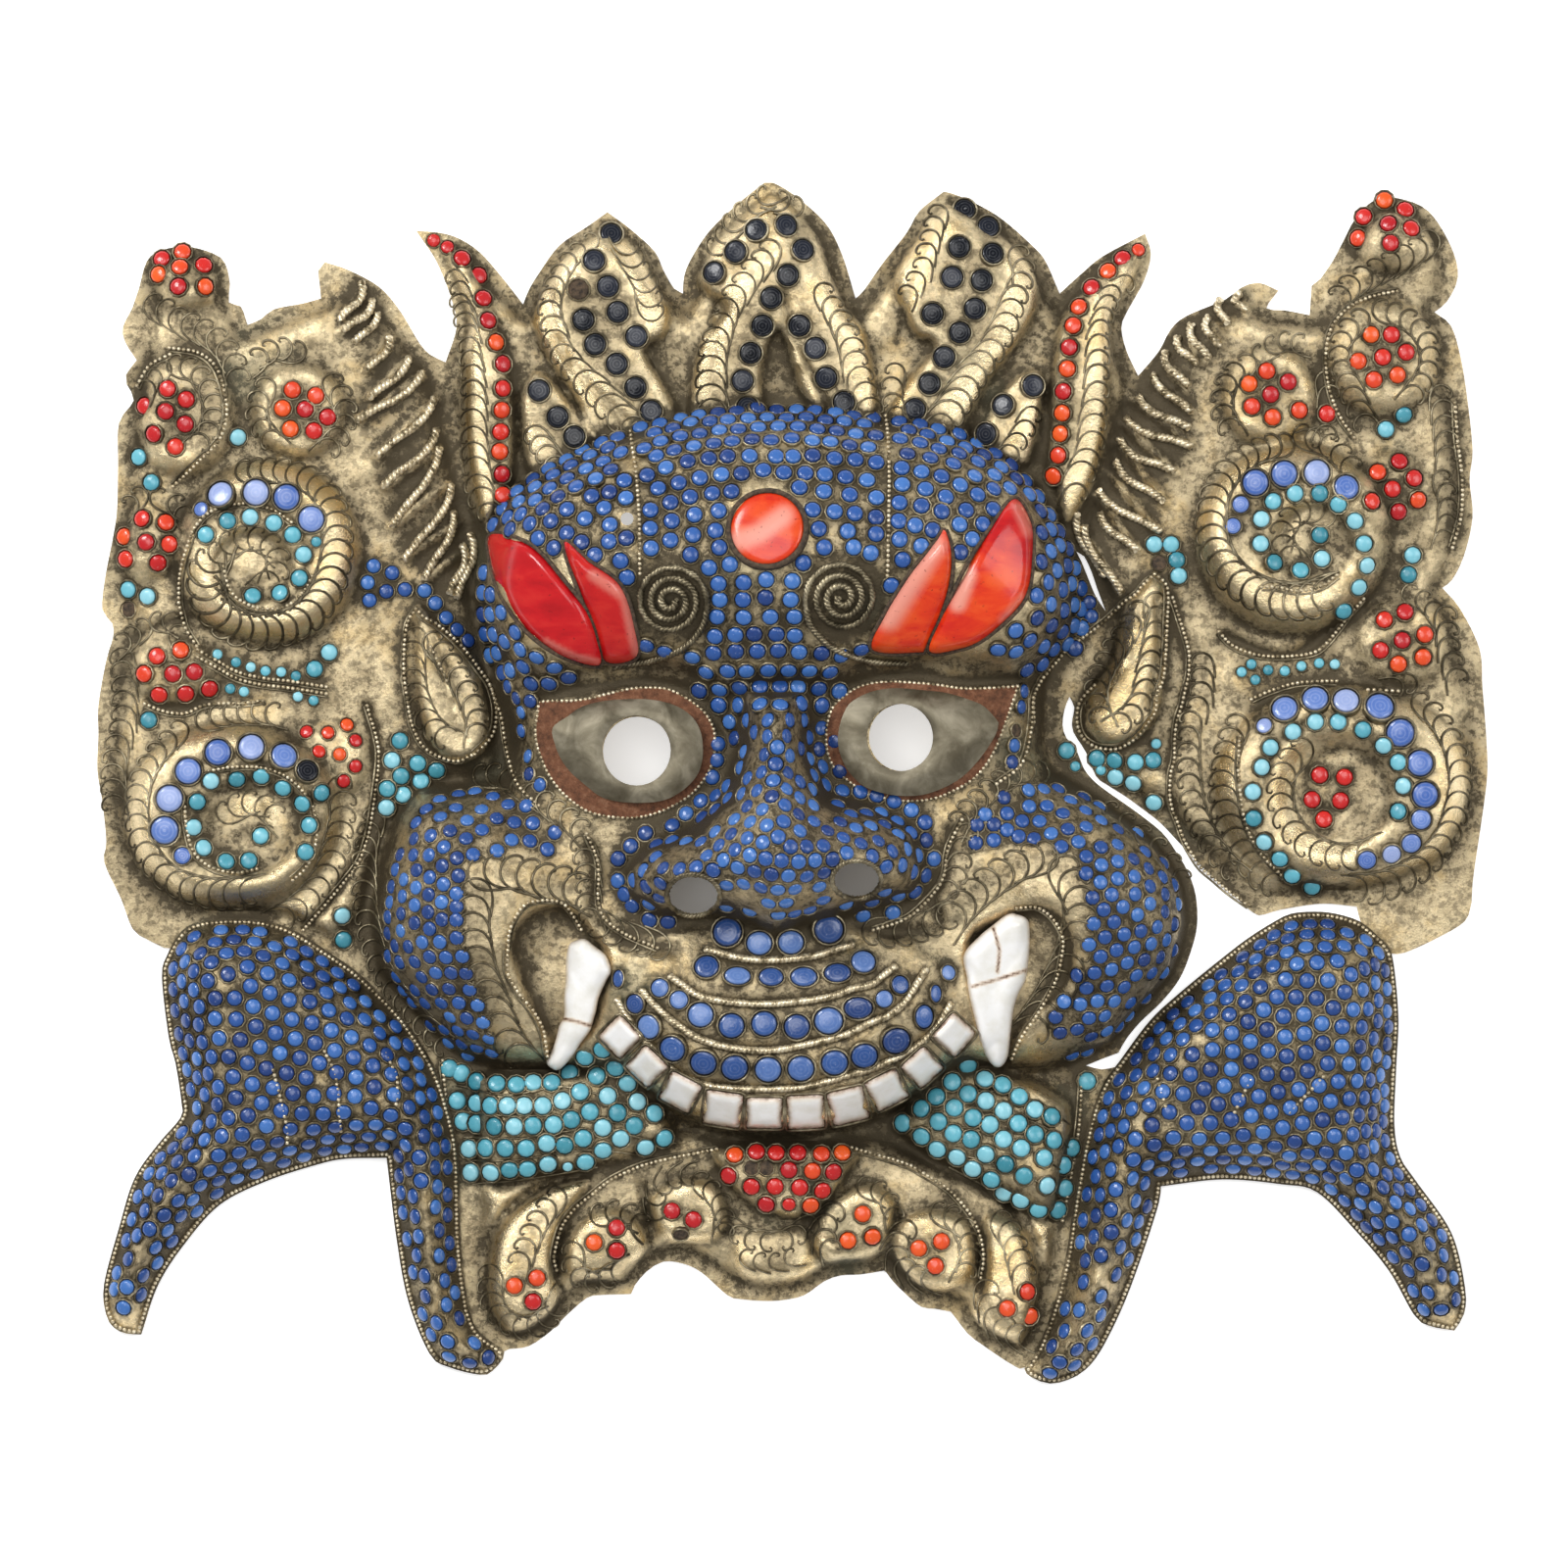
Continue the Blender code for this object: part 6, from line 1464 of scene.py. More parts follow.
# Each tooth: centre, width, height and turn in degrees.
TEETH = [((634, 1056), 33, 33, -45), ((661, 1086), 33, 32, -44), ((695, 1112), 35, 33, -27),
         ((738, 1129), 38, 36, -8), ((780, 1133), 37, 32, 0), ((822, 1132), 38, 35, 2),
         ((865, 1126), 38, 36, 13), ((904, 1110), 36, 34, 27), ((940, 1087), 33, 32, 43),
         ((972, 1054), 34, 33, 48)]
tooth_cells = []
for number, (centre, width, height, turn) in enumerate(TEETH, start=1):
    angle = math.radians(-turn)
    across = Vector((math.cos(angle), math.sin(angle)))
    down = Vector((-across.y, across.x))
    corners = [Vector(centre) + across * width / 2 * u + down * height / 2 * v
               for u, v in ((-1, -1), (1, -1), (1, 1), (-1, 1))]
    edge = []
    for k in range(4):
        before, corner, after = corners[k - 1], corners[k], corners[(k + 1) % 4]
        start = corner + (before - corner).normalized() * 5
        end = corner + (after - corner).normalized() * 5
        edge += [start, start.lerp(corner, 0.6).lerp(corner.lerp(end, 0.4), 0.5), end]
        edge += [end.lerp(after, t) for t in (0.25, 0.5)]
    level = level_of(corners)
    middle = Vector(centre)
    ring = [middle + (spot - middle) * 1.09 for spot in edge]
    tooth_cells.append([*ring, ring[0]])

    def tooth_top(flat, edge=edge, level=level):
        """A pillow with a flat top."""
        inner = depth_inside(flat[:, 0], flat[:, 1], edge)
        return level(flat) + 0.0014 + 0.0026 * rounded(inner / 8)
    tooth = capped(f"tooth_{number:02d}_look", edge, [], tooth_top, 0.0042, 3.0, shell)
    stained(tooth, edge, [], 1.0, 6.0)
    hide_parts(f"tooth_{number:02d}")

# Filigree hooks: short wires bent like a comma and soldered in overlapping rows beside the stones. Each hook
# arches over the band, curls in at the band's outer side and runs on as a tail along its inner side.


def tubes(name, paths, radius, sides, finish):
    """One object of tubes with closed ends along paths of places."""
    flat = bpy.data.curves.new(name, "CURVE")
    flat.dimensions = "3D"
    flat.bevel_depth = radius
    flat.bevel_resolution = sides // 2 - 2
    flat.use_fill_caps = True
    for path in paths:
        spline = flat.splines.new("POLY")
        spline.points.add(len(path) - 1)
        for point, spot in zip(spline.points, path):
            point.co = (*spot, 1)
    holder = bpy.data.objects.new(name, flat)
    bpy.context.scene.collection.objects.link(holder)
    mesh = baked(holder)
    mesh.shade_smooth()
    mesh.materials.append(finish)
    return bpy.data.objects.new(name, mesh)


HOOK = [(-0.62, -0.42), (-0.72, -0.62), (-0.95, -0.58), (-1.04, -0.25), (-0.92, 0.12), (-0.55, 0.45),
        (0.0, 0.55),
        (0.50, 0.34), (0.84, -0.15), (1.00, -0.80), (1.08, -1.55)]
HOOK_WIRES = {"narrow": 0.105, "wide": 0.074}
hooks = {}
for hand in (1, -1):
    path = [(*spot, 0) for spot in smooth_path([(x * hand, y) for x, y in HOOK], 0.22)]
    for breadth, wire in HOOK_WIRES.items():
        hooks[hand, breadth] = tubes(f"hook {hand} {breadth}", [path], wire, 4, metal)
# Each band: hand, 1 if the arches look back along the list and -1 if they look on, half width or the half
# widths at its two ends, and the place of each hook.
BANDS = [
    (1, 1, (8, 14), [(463, 281), (469, 293), (469, 306), (473, 314), (474, 325), (478, 338), (479, 351),
                     (481, 365),
                (483, 380), (484, 396), (485, 411), (484, 426), (485, 444), (485, 460), (487, 475),
                (489, 493),
                (492, 506), (499, 521)]),
    (-1, 1, (8, 14), [(1151, 288), (1136, 298), (1131, 308), (1126, 321), (1122, 334), (1120, 349),
                      (1119, 365),
                 (1118, 380), (1118, 398), (1115, 416), (1114, 431), (1113, 449), (1108, 467), (1103, 480),
                 (1097, 501)]),
    (1, 1, (8, 15), [(606, 246), (592, 256), (582, 266), (574, 278), (568, 290), (564, 302), (562, 315),
                     (565, 330),
                (567, 345), (574, 360), (584, 375), (597, 388), (610, 400), (620, 412), (632, 424),
                (644, 434)]),
    (1, -1, 11, [(641, 254), (646, 267), (653, 280), (659, 293), (663, 308), (664, 322)]),
    (1, 1, 10, [(546, 442), (552, 452), (558, 462), (566, 473)]),
    (-1, -1, 10, [(781, 203), (770, 212), (757, 220), (747, 231), (739, 243), (730, 255)]),
    (1, -1, 10, [(798, 208), (812, 214)]),
    (1, 1, (11, 15), [(789, 255), (781, 266), (771, 276), (762, 289), (752, 302), (744, 315), (738, 329),
                      (733, 344),
                (729, 358), (728, 373), (726, 388), (727, 402), (728, 417), (730, 430)]),
    (-1, 1, (10, 14), [(838, 298), (847, 312), (855, 326), (862, 340), (867, 354), (870, 368), (875, 384),
                       (880, 400),
                 (885, 416), (888, 430)]),
    (1, 1, 9, [(959, 216), (954, 228), (950, 242), (946, 256), (943, 271), (936, 286), (928, 300)]),
    (-1, 1, (10, 16), [(1037, 258), (1043, 272), (1041, 286), (1036, 300), (1031, 314), (1026, 328),
                       (1020, 342),
                 (1012, 356), (1002, 368), (993, 381), (985, 394), (977, 407), (969, 419), (961, 431)]),
    (1, 1, 9, [(915, 378), (911, 392), (911, 408), (914, 422)]),
    (-1, 1, 9, [(1052, 422), (1046, 436), (1038, 449), (1030, 461)]),
    (-1, 1, (11, 20), [(249, 483), (262, 482), (275, 481), (288, 482), (301, 485), (313, 489), (324, 496),
                       (333, 506),
                 (339, 518), (343, 532), (345, 546), (345, 560), (343, 574), (340, 588), (335, 601),
                 (328, 613),
                 (319, 624), (307, 633), (294, 639), (280, 643), (265, 644), (250, 641), (237, 635),
                 (226, 626),
                 (219, 614), (215, 601), (215, 588), (219, 576)]),
    (-1, 1, 11, [(225, 568), (236, 558), (249, 552), (262, 552), (275, 557), (283, 568), (284, 581),
                 (276, 591)]),
    (1, 1, (11, 19), [(1312, 456), (1299, 457), (1287, 460), (1275, 465), (1264, 472), (1254, 481),
                      (1246, 492),
                (1240, 504), (1237, 517), (1235, 531), (1236, 545), (1239, 559), (1245, 572), (1253, 584),
                (1264, 594), (1276, 602), (1290, 608), (1304, 612), (1318, 613), (1332, 612), (1345, 608)]),
    (1, 1, 11, [(1352, 530), (1341, 524), (1328, 524), (1317, 530), (1309, 541), (1308, 554), (1315, 565)]),
    (-1, 1, 11, [(1325, 447), (1338, 449), (1352, 455), (1364, 464), (1374, 476)]),
    (1, 1, (10, 16), [(187, 744), (175, 755), (164, 766), (155, 779), (148, 793), (144, 808), (142, 823),
                      (143, 838),
                (146, 853), (151, 867), (159, 880), (169, 891), (181, 899), (195, 905), (209, 909),
                (224, 911),
                (239, 911), (254, 909)]),
    (-1, 1, 10, [(208, 737), (222, 732), (236, 729), (250, 728), (264, 727), (278, 729)]),
    (-1, 1, 11, [(346, 800), (350, 815), (350, 830), (348, 845), (345, 860), (341, 875), (335, 889),
                 (327, 902),
                 (317, 914), (305, 925), (292, 933)]),
    (-1, 1, 11, [(232, 832), (243, 824), (256, 820), (269, 823), (279, 831)]),
    (1, 1, 11, [(126, 668), (127, 682), (128, 697), (128, 712), (128, 727), (126, 742), (122, 757),
                (119, 772),
                (117, 787), (117, 802), (118, 818)]),
    (1, 1, (11, 16), [(1264, 737), (1257, 750), (1252, 764), (1249, 779), (1247, 794), (1247, 809),
                      (1249, 824),
                (1253, 839), (1259, 853), (1267, 866), (1276, 878), (1286, 889), (1297, 899)]),
    (1, 1, 12, [(1330, 764), (1318, 774), (1310, 787), (1306, 802), (1306, 817), (1310, 832), (1318, 846),
                (1329, 858), (1343, 867), (1358, 872), (1374, 873), (1390, 869)]),
    (-1, 1, (10, 15), [(1445, 716), (1458, 726), (1468, 738), (1477, 752), (1483, 767), (1487, 783),
                       (1488, 799),
                 (1486, 815), (1483, 831), (1478, 846), (1470, 860), (1460, 873), (1448, 884), (1434, 893),
                 (1419, 900), (1403, 905), (1387, 906)]),
    (1, 1, 10, [(1227, 673), (1226, 688), (1226, 703), (1223, 718), (1216, 733), (1213, 748), (1212, 764),
                (1212, 780), (1213, 796), (1215, 812), (1219, 828), (1225, 843), (1233, 858), (1243, 872),
                (1255, 885)]),
    (-1, 1, 10, [(1468, 400), (1470, 415), (1472, 431), (1474, 447), (1475, 463)]),
    (-1, 1, 9, [(1468, 487), (1474, 500), (1476, 515), (1476, 531), (1473, 547)]),
    (-1, 1, 10, [(1473, 625), (1475, 641), (1476, 657), (1480, 673), (1484, 689)]),
    (-1, 1, 11, [(154, 312), (167, 318), (180, 326), (193, 332), (206, 338), (219, 346), (230, 357),
                 (238, 370),
                 (242, 384)]),
    (1, 1, 9, [(170, 376), (160, 385), (153, 396)]),
    (-1, 1, 10, [(178, 374), (192, 376), (204, 384), (213, 396), (218, 410), (219, 424), (215, 438),
                 (206, 450)]),
    (1, 1, 10, [(306, 362), (292, 358), (279, 359), (268, 366)]),
    (1, 1, 10, [(275, 394), (267, 407), (264, 421), (268, 435), (277, 447)]),
    (-1, 1, 10, [(338, 390), (347, 402), (352, 416), (352, 430), (347, 444), (338, 455)]),
    (1, 1, 11, [(1461, 246), (1448, 255), (1434, 263), (1420, 270), (1406, 277), (1392, 284), (1379, 292),
                (1369, 302)]),
    (-1, 1, 10, [(1405, 318), (1419, 321), (1433, 327), (1445, 336), (1453, 348), (1457, 362), (1456, 376),
                 (1450, 389), (1442, 401)]),
    (1, 1, 10, [(1389, 326), (1377, 335), (1369, 347), (1366, 361), (1368, 375), (1373, 388), (1378, 402),
                (1384, 416), (1391, 430)]),
    (1, 1, 10, [(1274, 372), (1261, 380), (1252, 391), (1247, 405), (1247, 420), (1253, 434)]),
    (-1, 1, 9, [(1284, 364), (1296, 355), (1309, 350), (1322, 352)]),
    (-1, 1, 9, [(1350, 386), (1354, 400), (1352, 440), (1340, 446)]),
    (1, 1, 9, [(146, 505), (136, 514)]), (-1, 1, 9, [(160, 508), (178, 514), (186, 524)]),
    (1, 1, 9, [(150, 640), (138, 648), (128, 655)]), (-1, 1, 9, [(160, 636), (173, 634), (180, 645)]),
    (-1, 1, 9, [(1435, 606), (1449, 612), (1459, 622)]), (-1, 1, 9, [(1438, 696), (1424, 700)]),
    (-1, 1, 10, [(490, 793), (503, 791), (516, 795), (529, 802), (542, 809), (555, 817), (567, 826),
                 (580, 834),
                 (591, 844)]),
    (1, 1, 10, [(1063, 790), (1049, 788), (1035, 791), (1022, 797), (1010, 805), (999, 815), (988, 825),
                (980, 836)]),
    (-1, 1, 15, [(491, 893), (507, 889), (523, 890), (539, 893), (555, 898), (571, 900), (586, 906)]),
    (1, 1, 14, [(1068, 874), (1053, 876), (1038, 882), (1023, 890), (1009, 899), (996, 909), (984, 920),
                (974, 932)]),
    (1, 1, 14, [(492, 905), (488, 922), (487, 939), (488, 956), (490, 973), (494, 990), (500, 1007),
                (506, 1024),
                (512, 1041), (520, 1058), (530, 1073)]),
    (-1, 1, 15, [(1078, 885), (1089, 898), (1096, 914), (1098, 931), (1097, 948), (1093, 965), (1087, 982),
                 (1080, 999), (1072, 1015), (1063, 1030), (1053, 1045)]),
    (1, 1, 10, [(596, 858), (599, 872), (601, 887), (602, 902), (602, 917), (604, 932)]),
    (-1, 1, 10, [(985, 846), (981, 860), (978, 875), (974, 890), (966, 904)]),
    (-1, -1, 12, [(616, 943), (630, 950), (645, 956), (661, 960), (677, 964)]),
    (1, -1, 12, [(962, 934), (948, 941), (934, 946), (919, 949), (904, 950), (888, 947)]),
    (1, 1, 11, [(427, 648), (424, 662), (423, 676), (423, 690), (425, 704), (429, 718), (435, 731),
                (443, 742),
                (454, 750)]),
    (-1, 1, 10, [(440, 654), (450, 664), (459, 676), (467, 689), (475, 703), (482, 717), (487, 731),
                 (487, 745)]),
    (-1, 1, 10, [(1176, 612), (1178, 626), (1178, 641), (1176, 656), (1173, 671), (1170, 686), (1168, 700),
                 (1163, 714), (1155, 726), (1144, 735)]),
    (1, 1, 10, [(1164, 622), (1155, 635), (1147, 648), (1138, 660), (1130, 673), (1123, 686), (1119, 700),
                (1118, 714), (1122, 728)]),
    (1, 1, 10, [(385, 832), (379, 846), (375, 860), (373, 875), (372, 890), (372, 905), (373, 920),
                (375, 935),
                (377, 950), (381, 965), (386, 980), (393, 994), (401, 1007), (411, 1019), (421, 1031),
                (431, 1043),
                (442, 1054), (453, 1065)]),
    (-1, 1, 9, [(1130, 826), (1147, 838), (1163, 850), (1179, 863), (1193, 878), (1203, 894)]),
    (1, 1, 10, [(572, 1219), (561, 1230), (552, 1242), (545, 1255), (539, 1269), (533, 1283)]),
    (1, 1, 11, [(502, 1296), (501, 1310), (503, 1324), (509, 1337), (519, 1347), (532, 1352), (546, 1351),
                (557, 1344), (566, 1333)]),
    (-1, 1, 11, [(1018, 1244), (1027, 1254), (1033, 1267), (1038, 1281), (1042, 1295)]),
    (-1, 1, 11, [(1004, 1312), (1007, 1326), (1012, 1340), (1021, 1352), (1033, 1361), (1046, 1364)]),
    (1, 1, 10, [(586, 1272), (585, 1287), (592, 1299), (604, 1305), (618, 1302), (631, 1297)]),
    (-1, 1, 10, [(610, 1240), (625, 1236), (640, 1238), (651, 1247)]),
    (1, 1, 9, [(668, 1238), (668, 1222), (674, 1209), (686, 1201), (700, 1198)]),
    (-1, 1, 9, [(712, 1203), (724, 1212), (734, 1224), (738, 1238), (738, 1252)]),
    (-1, 1, 10, [(852, 1232), (843, 1244), (840, 1259), (845, 1270)]),
    (1, 1, 9, [(741, 1246), (752, 1256), (766, 1262), (782, 1264)]),
    (-1, 1, 9, [(828, 1246), (816, 1256), (802, 1262)]),
    (-1, 1, 8, [(760, 1282), (774, 1286), (790, 1287), (806, 1283)]),
    (-1, 1, 9, [(880, 1210), (894, 1213), (905, 1223), (910, 1237)]),
    (-1, 1, 10, [(925, 1250), (916, 1262), (914, 1277), (920, 1291), (932, 1300), (946, 1304)]),
    (-1, 1, 10, [(955, 1236), (969, 1240), (980, 1250), (987, 1264), (989, 1279), (985, 1293)]),
]
rows = {key: [] for key in hooks}
grime_and_shade = np.zeros(map_x.shape)


def add_grime_and_shade(spots, weight):
    """Add grime and painted shade round some spots; a negative weight lightens them."""
    spots = np.asarray(spots, float)
    column = ((spots[:, 0] - MAP_LOW[0]) / MAP_STEP).astype(int).clip(0, map_x.shape[1] - 1)
    row = ((spots[:, 1] - MAP_LOW[1]) / MAP_STEP).astype(int).clip(0, map_x.shape[0] - 1)
    np.add.at(grime_and_shade, (row, column), weight)


# Parts of the relief, as boxes, where the metal round the hooks is lightened: partly rubbed clean, and partly
# a painted sheen that stands in for the soft light's reflection.
BRIGHT = [(455, 190, 1160, 520), (190, 470, 365, 665), (130, 725, 360, 945), (1220, 440, 1400, 630),
          (1235, 700, 1500, 915)]
for hand, look, half_width, places in BANDS:
    spots = np.array(places, float)
    if isinstance(half_width, tuple):
        half_width = np.linspace(*half_width, len(spots)) + 1.5
        half_width[-1] *= 0.8
    else:
        half_width *= 1.2
    bright = any(x0 < places[0][0] < x1 and y0 < places[0][1] < y1 for x0, y0, x1, y1 in BRIGHT)
    # Round the hooks: lightened in the bright boxes, partly as painted sheen; darkened elsewhere by grime and
    # painted shade.
    add_grime_and_shade(spots, -48 if bright else 16)
    along = np.gradient(spots, axis=0) if len(spots) > 1 else np.array([[0.0, 1.0]])
    forward = -look * along
    turns = np.arctan2(-forward[:, 1], forward[:, 0]) - math.pi / 2
    hook_rows = seats(places, height_map, half_width, 0, turns, seed=len(places), steepest=0)
    hook_rows[:, 2] = 0
    wide = hook_rows[:, 6] > 13 * PIXEL
    rows[hand, "wide"].append(hook_rows[wide])
    rows[hand, "narrow"].append(hook_rows[~wide])


def draped(piece, field, lift):
    """Lay a flat piece down on a height map."""
    places = np.empty(3 * len(piece.data.vertices), np.float32)
    piece.data.vertices.foreach_get("co", places)
    places = places.reshape(-1, 3)
    places[:, 2] += lift + sampled(field, *in_pixels(places).T)
    piece.data.vertices.foreach_set("co", places.ravel())


for (hand, breadth), shape in hooks.items():
    label = f"filigree_hooks_{breadth}_{'right' if hand > 0 else 'left'}"
    filigree = set_pieces(label, np.vstack(rows[hand, breadth]), shape, shaded_wire_metal)
    draped(filigree, blurred(height_map, 2), 0.00030)
    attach(filigree, "root")

# Beaded wires: wire rolled into chains of tiny balls and soldered along the edges of the bands, the eyes, the
# ears and the arms. They stand highest, so they are rubbed brightest.
BEAD_CHAINS = [
    MERIDIANS[0], MERIDIANS[1],
    [*EYES["left"]["rim"], EYES["left"]["rim"][0]], [*EYES["right"]["rim"], EYES["right"]["rim"][0]],
    [(174, 356), (203, 361), (221, 376), (231, 404), (232, 430), (223, 453), (205, 471), (178, 497)],
    [(141, 394), (154, 374), (175, 363)],
    [(184, 615), (186, 589), (193, 563), (203, 538), (222, 521), (250, 515), (280, 521), (300, 534)],
    [(231, 584), (236, 602), (249, 615), (269, 622), (293, 620), (310, 607), (321, 589)],
    [(202, 660), (190, 640), (184, 615)],
    [(149, 718), (169, 726), (190, 728), (208, 720), (228, 718), (249, 718), (269, 715)],
    [(203, 664), (223, 675), (244, 686), (269, 692), (295, 695), (334, 701)],
    [(203, 671), (223, 682), (244, 693), (269, 699), (295, 702), (334, 708)],
    [(216, 787), (236, 783), (267, 783), (293, 791), (310, 805), (321, 823), (325, 844), (322, 867),
     (313, 885),
     (300, 897)],
    [(191, 818), (193, 844), (200, 869), (218, 885), (244, 891), (264, 887)],
    [(375, 720), (385, 754), (387, 779), (380, 831), (375, 856), (367, 879), (354, 897), (339, 915),
     (321, 936),
     (310, 949)],
    [(1425, 298), (1402, 303), (1379, 313), (1361, 331), (1353, 354), (1353, 380), (1358, 406), (1368, 429),
     (1381, 447)],
    [(1484, 411), (1486, 449), (1491, 488), (1490, 526), (1481, 559)],
    [(1243, 645), (1258, 660), (1284, 669), (1315, 670), (1343, 665), (1361, 647), (1374, 629), (1389, 611)],
    [(1276, 714), (1294, 706), (1320, 698), (1348, 696), (1363, 696)], [(1394, 705), (1425, 706)],
    [(1285, 600), (1300, 600), (1320, 604), (1345, 600), (1362, 588)],
    [(1264, 752), (1262, 790), (1268, 835), (1284, 868), (1310, 895)],
    [(1195, 610), (1202, 630), (1210, 655), (1213, 670), (1212, 690), (1208, 705), (1205, 720), (1200, 735),
     (1198, 755), (1198, 775), (1194, 790), (1193, 810), (1196, 825), (1202, 840), (1207, 855), (1215, 870),
     (1225, 885), (1238, 896), (1253, 909), (1274, 924)],
    [(426, 622), (417, 638), (414, 664), (414, 690), (417, 715), (421, 738), (431, 759), (446, 770),
     (467, 776),
     (482, 770)],
    [(426, 622), (434, 631), (446, 638), (462, 651), (477, 667), (490, 685), (500, 700), (506, 725),
     (502, 750),
     (485, 769)],
    [(441, 661), (449, 677), (457, 695)],
    [(1177, 587), (1188, 597), (1190, 610), (1189, 635), (1188, 661), (1186, 687), (1183, 699), (1179, 708),
     (1177, 726), (1170, 736), (1163, 747), (1153, 756), (1140, 763), (1123, 763), (1108, 756), (1101, 745),
     (1099, 732), (1101, 719), (1108, 709), (1117, 700)],
    [(1177, 587), (1165, 599), (1159, 607), (1147, 615), (1137, 625), (1127, 634), (1114, 644), (1101, 653),
     (1086, 664), (1078, 674), (1069, 684), (1060, 696), (1053, 712), (1053, 737)],
    [(520, 968), (521, 953), (526, 938), (538, 922), (557, 917), (576, 920), (588, 934), (595, 947)],
    [(520, 968), (520, 990), (530, 1010), (545, 1030), (555, 1050), (560, 1080)],
    [(1035, 925), (1056, 924), (1073, 936), (1083, 955), (1082, 975), (1076, 1000), (1060, 1030),
     (1042, 1056),
     (1032, 1078)],
    [(732, 1172), (705, 1177), (685, 1181), (656, 1188), (624, 1203), (603, 1219), (587, 1231), (574, 1248),
     (568, 1266), (565, 1283), (568, 1295)],
    [(859, 1168), (921, 1186), (944, 1198), (965, 1211), (981, 1227), (993, 1244), (1001, 1262),
     (1004, 1283),
     (1001, 1303)],
    [(600, 850), (612, 880), (612, 915), (618, 935), (640, 952), (672, 966)],
    [(980, 836), (966, 866), (962, 893), (950, 912), (925, 935), (890, 948)],
    [(500, 700), (512, 730), (518, 765), (530, 800), (552, 822)],
    [(1052, 712), (1050, 745), (1040, 780), (1015, 800)],
    [(452, 1082), (455, 1120), (460, 1170), (462, 1210)],
    [(1104, 1098), (1100, 1150), (1090, 1210), (1084, 1245)],
]
BEAD_PITCH = 4.7
BEAD_RADIUS = 2.3
ARM_RIM_INSET = 4.5


def strung(path, pitch):
    """Evenly spaced places along a smooth path, and the path's direction at each."""
    line = np.array([tuple(spot) for spot in smooth_path(path, 3.0)])
    lengths = np.concatenate([[0], np.cumsum(np.linalg.norm(np.diff(line, axis=0), axis=1))])
    stops = np.linspace(0, lengths[-1], max(2, int(lengths[-1] / pitch)))
    places = np.column_stack([np.interp(stops, lengths, line[:, k]) for k in (0, 1)])
    along = np.gradient(places, axis=0)
    return places, np.arctan2(-along[:, 1], along[:, 0])


def ball(name, finish):
    """A small ball."""
    shape = bmesh.new()
    bmesh.ops.create_icosphere(shape, subdivisions=1, radius=1)
    return pattern(name, shape, finish)


def inset_ring(outline, inset):
    """The places at a distance inside a closed outline, or outside it if the distance is negative."""
    ring = np.array([tuple(spot) for spot in outline])
    ahead = np.roll(ring, -1, axis=0) - np.roll(ring, 1, axis=0)
    inward = np.column_stack([-ahead[:, 1], ahead[:, 0]]) / np.linalg.norm(ahead, axis=1)[:, None]
    if depth_inside(*(ring[:1] + 3 * inward[:1]).T, outline)[0] < 0:
        inward = -inward
    return ring + inset * inward


rubbed_wire, tree, skin = shader("rubbed wire")
rub = noise(tree, 420, 3, 0.6)
tree.links.new(ramp(tree, rub, [(0.36, (0.20, 0.16, 0.09)), (0.49, (0.66, 0.55, 0.36)),
                                (0.62, (0.92, 0.82, 0.60))]), skin.inputs["Base Color"])
skin.inputs["Metallic"].default_value = 0.65
skin.inputs["Roughness"].default_value = 0.34
bead_shape = ball("bead", rubbed_wire)
rows = []
for path in BEAD_CHAINS:
    spots, turns = strung(path, BEAD_PITCH)
    rows.append(seats(spots, height_map, BEAD_RADIUS, 0.0003, turns))
    # Grime and painted shade under the beaded wires.
    add_grime_and_shade(spots, 9)
ARM_CHAINS = [
    (0, [(282, 1090), (295, 1144), (295, 1163)]), (0, [(334, 1071), (346, 1100), (350, 1151)]),
    (0, [(394, 1074), (406, 1100), (406, 1125)]), (1, [(1180, 1100), (1187, 1127)]),
    (1, [(1273, 1100), (1257, 1133)]), (1, [(1347, 1097), (1313, 1133)]),
]
for side, path in ARM_CHAINS:
    spots, turns = strung(path, BEAD_PITCH)
    rows.append(seats(spots, arm_maps[side], BEAD_RADIUS, 0.0005, turns))
for side, outline in enumerate(arm_outlines):
    ring = inset_ring(outline, ARM_RIM_INSET)
    spots, turns = strung([*ring[::2], ring[0]], BEAD_PITCH)
    rows.append(seats(spots, arm_maps[side], BEAD_RADIUS, 0.0003, turns))
bead_wires = set_pieces("beaded_wires", np.vstack(rows), bead_shape, rubbed_wire)
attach(bead_wires, "root")


def on_sheet(spots, field, lift):
    """Plan spots as places in metres, above the sheet by a lift."""
    spots = np.asarray(spots, float)
    return np.column_stack([in_metres(spots), sampled(field, *spots.T) + lift])


def laid_wires(name, paths, radius, finish):
    """Round wires along paths of places, as one piece."""
    piece = tubes(name, paths, radius, 6, finish)
    bpy.context.scene.collection.objects.link(piece)
    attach(piece, "root")
    return piece


# Plain wires: thin round wires soldered along the rows of the collars and beside the beaded chains, where
# they hide the solder.
plain = []
for path in COLLAR_WIRES:
    spots, _ = strung(path, 5)
    plain.append(on_sheet(spots, height_map, 0.0004))
for path in BEAD_CHAINS[4:]:
    spots, turns = strung(path, 6)
    beside = spots + 3.4 * np.column_stack([np.sin(turns), np.cos(turns)])
    plain.append(on_sheet(beside, height_map, 0.0002))
laid_wires("plain_wires", plain, 0.00032, shaded_wire_metal)

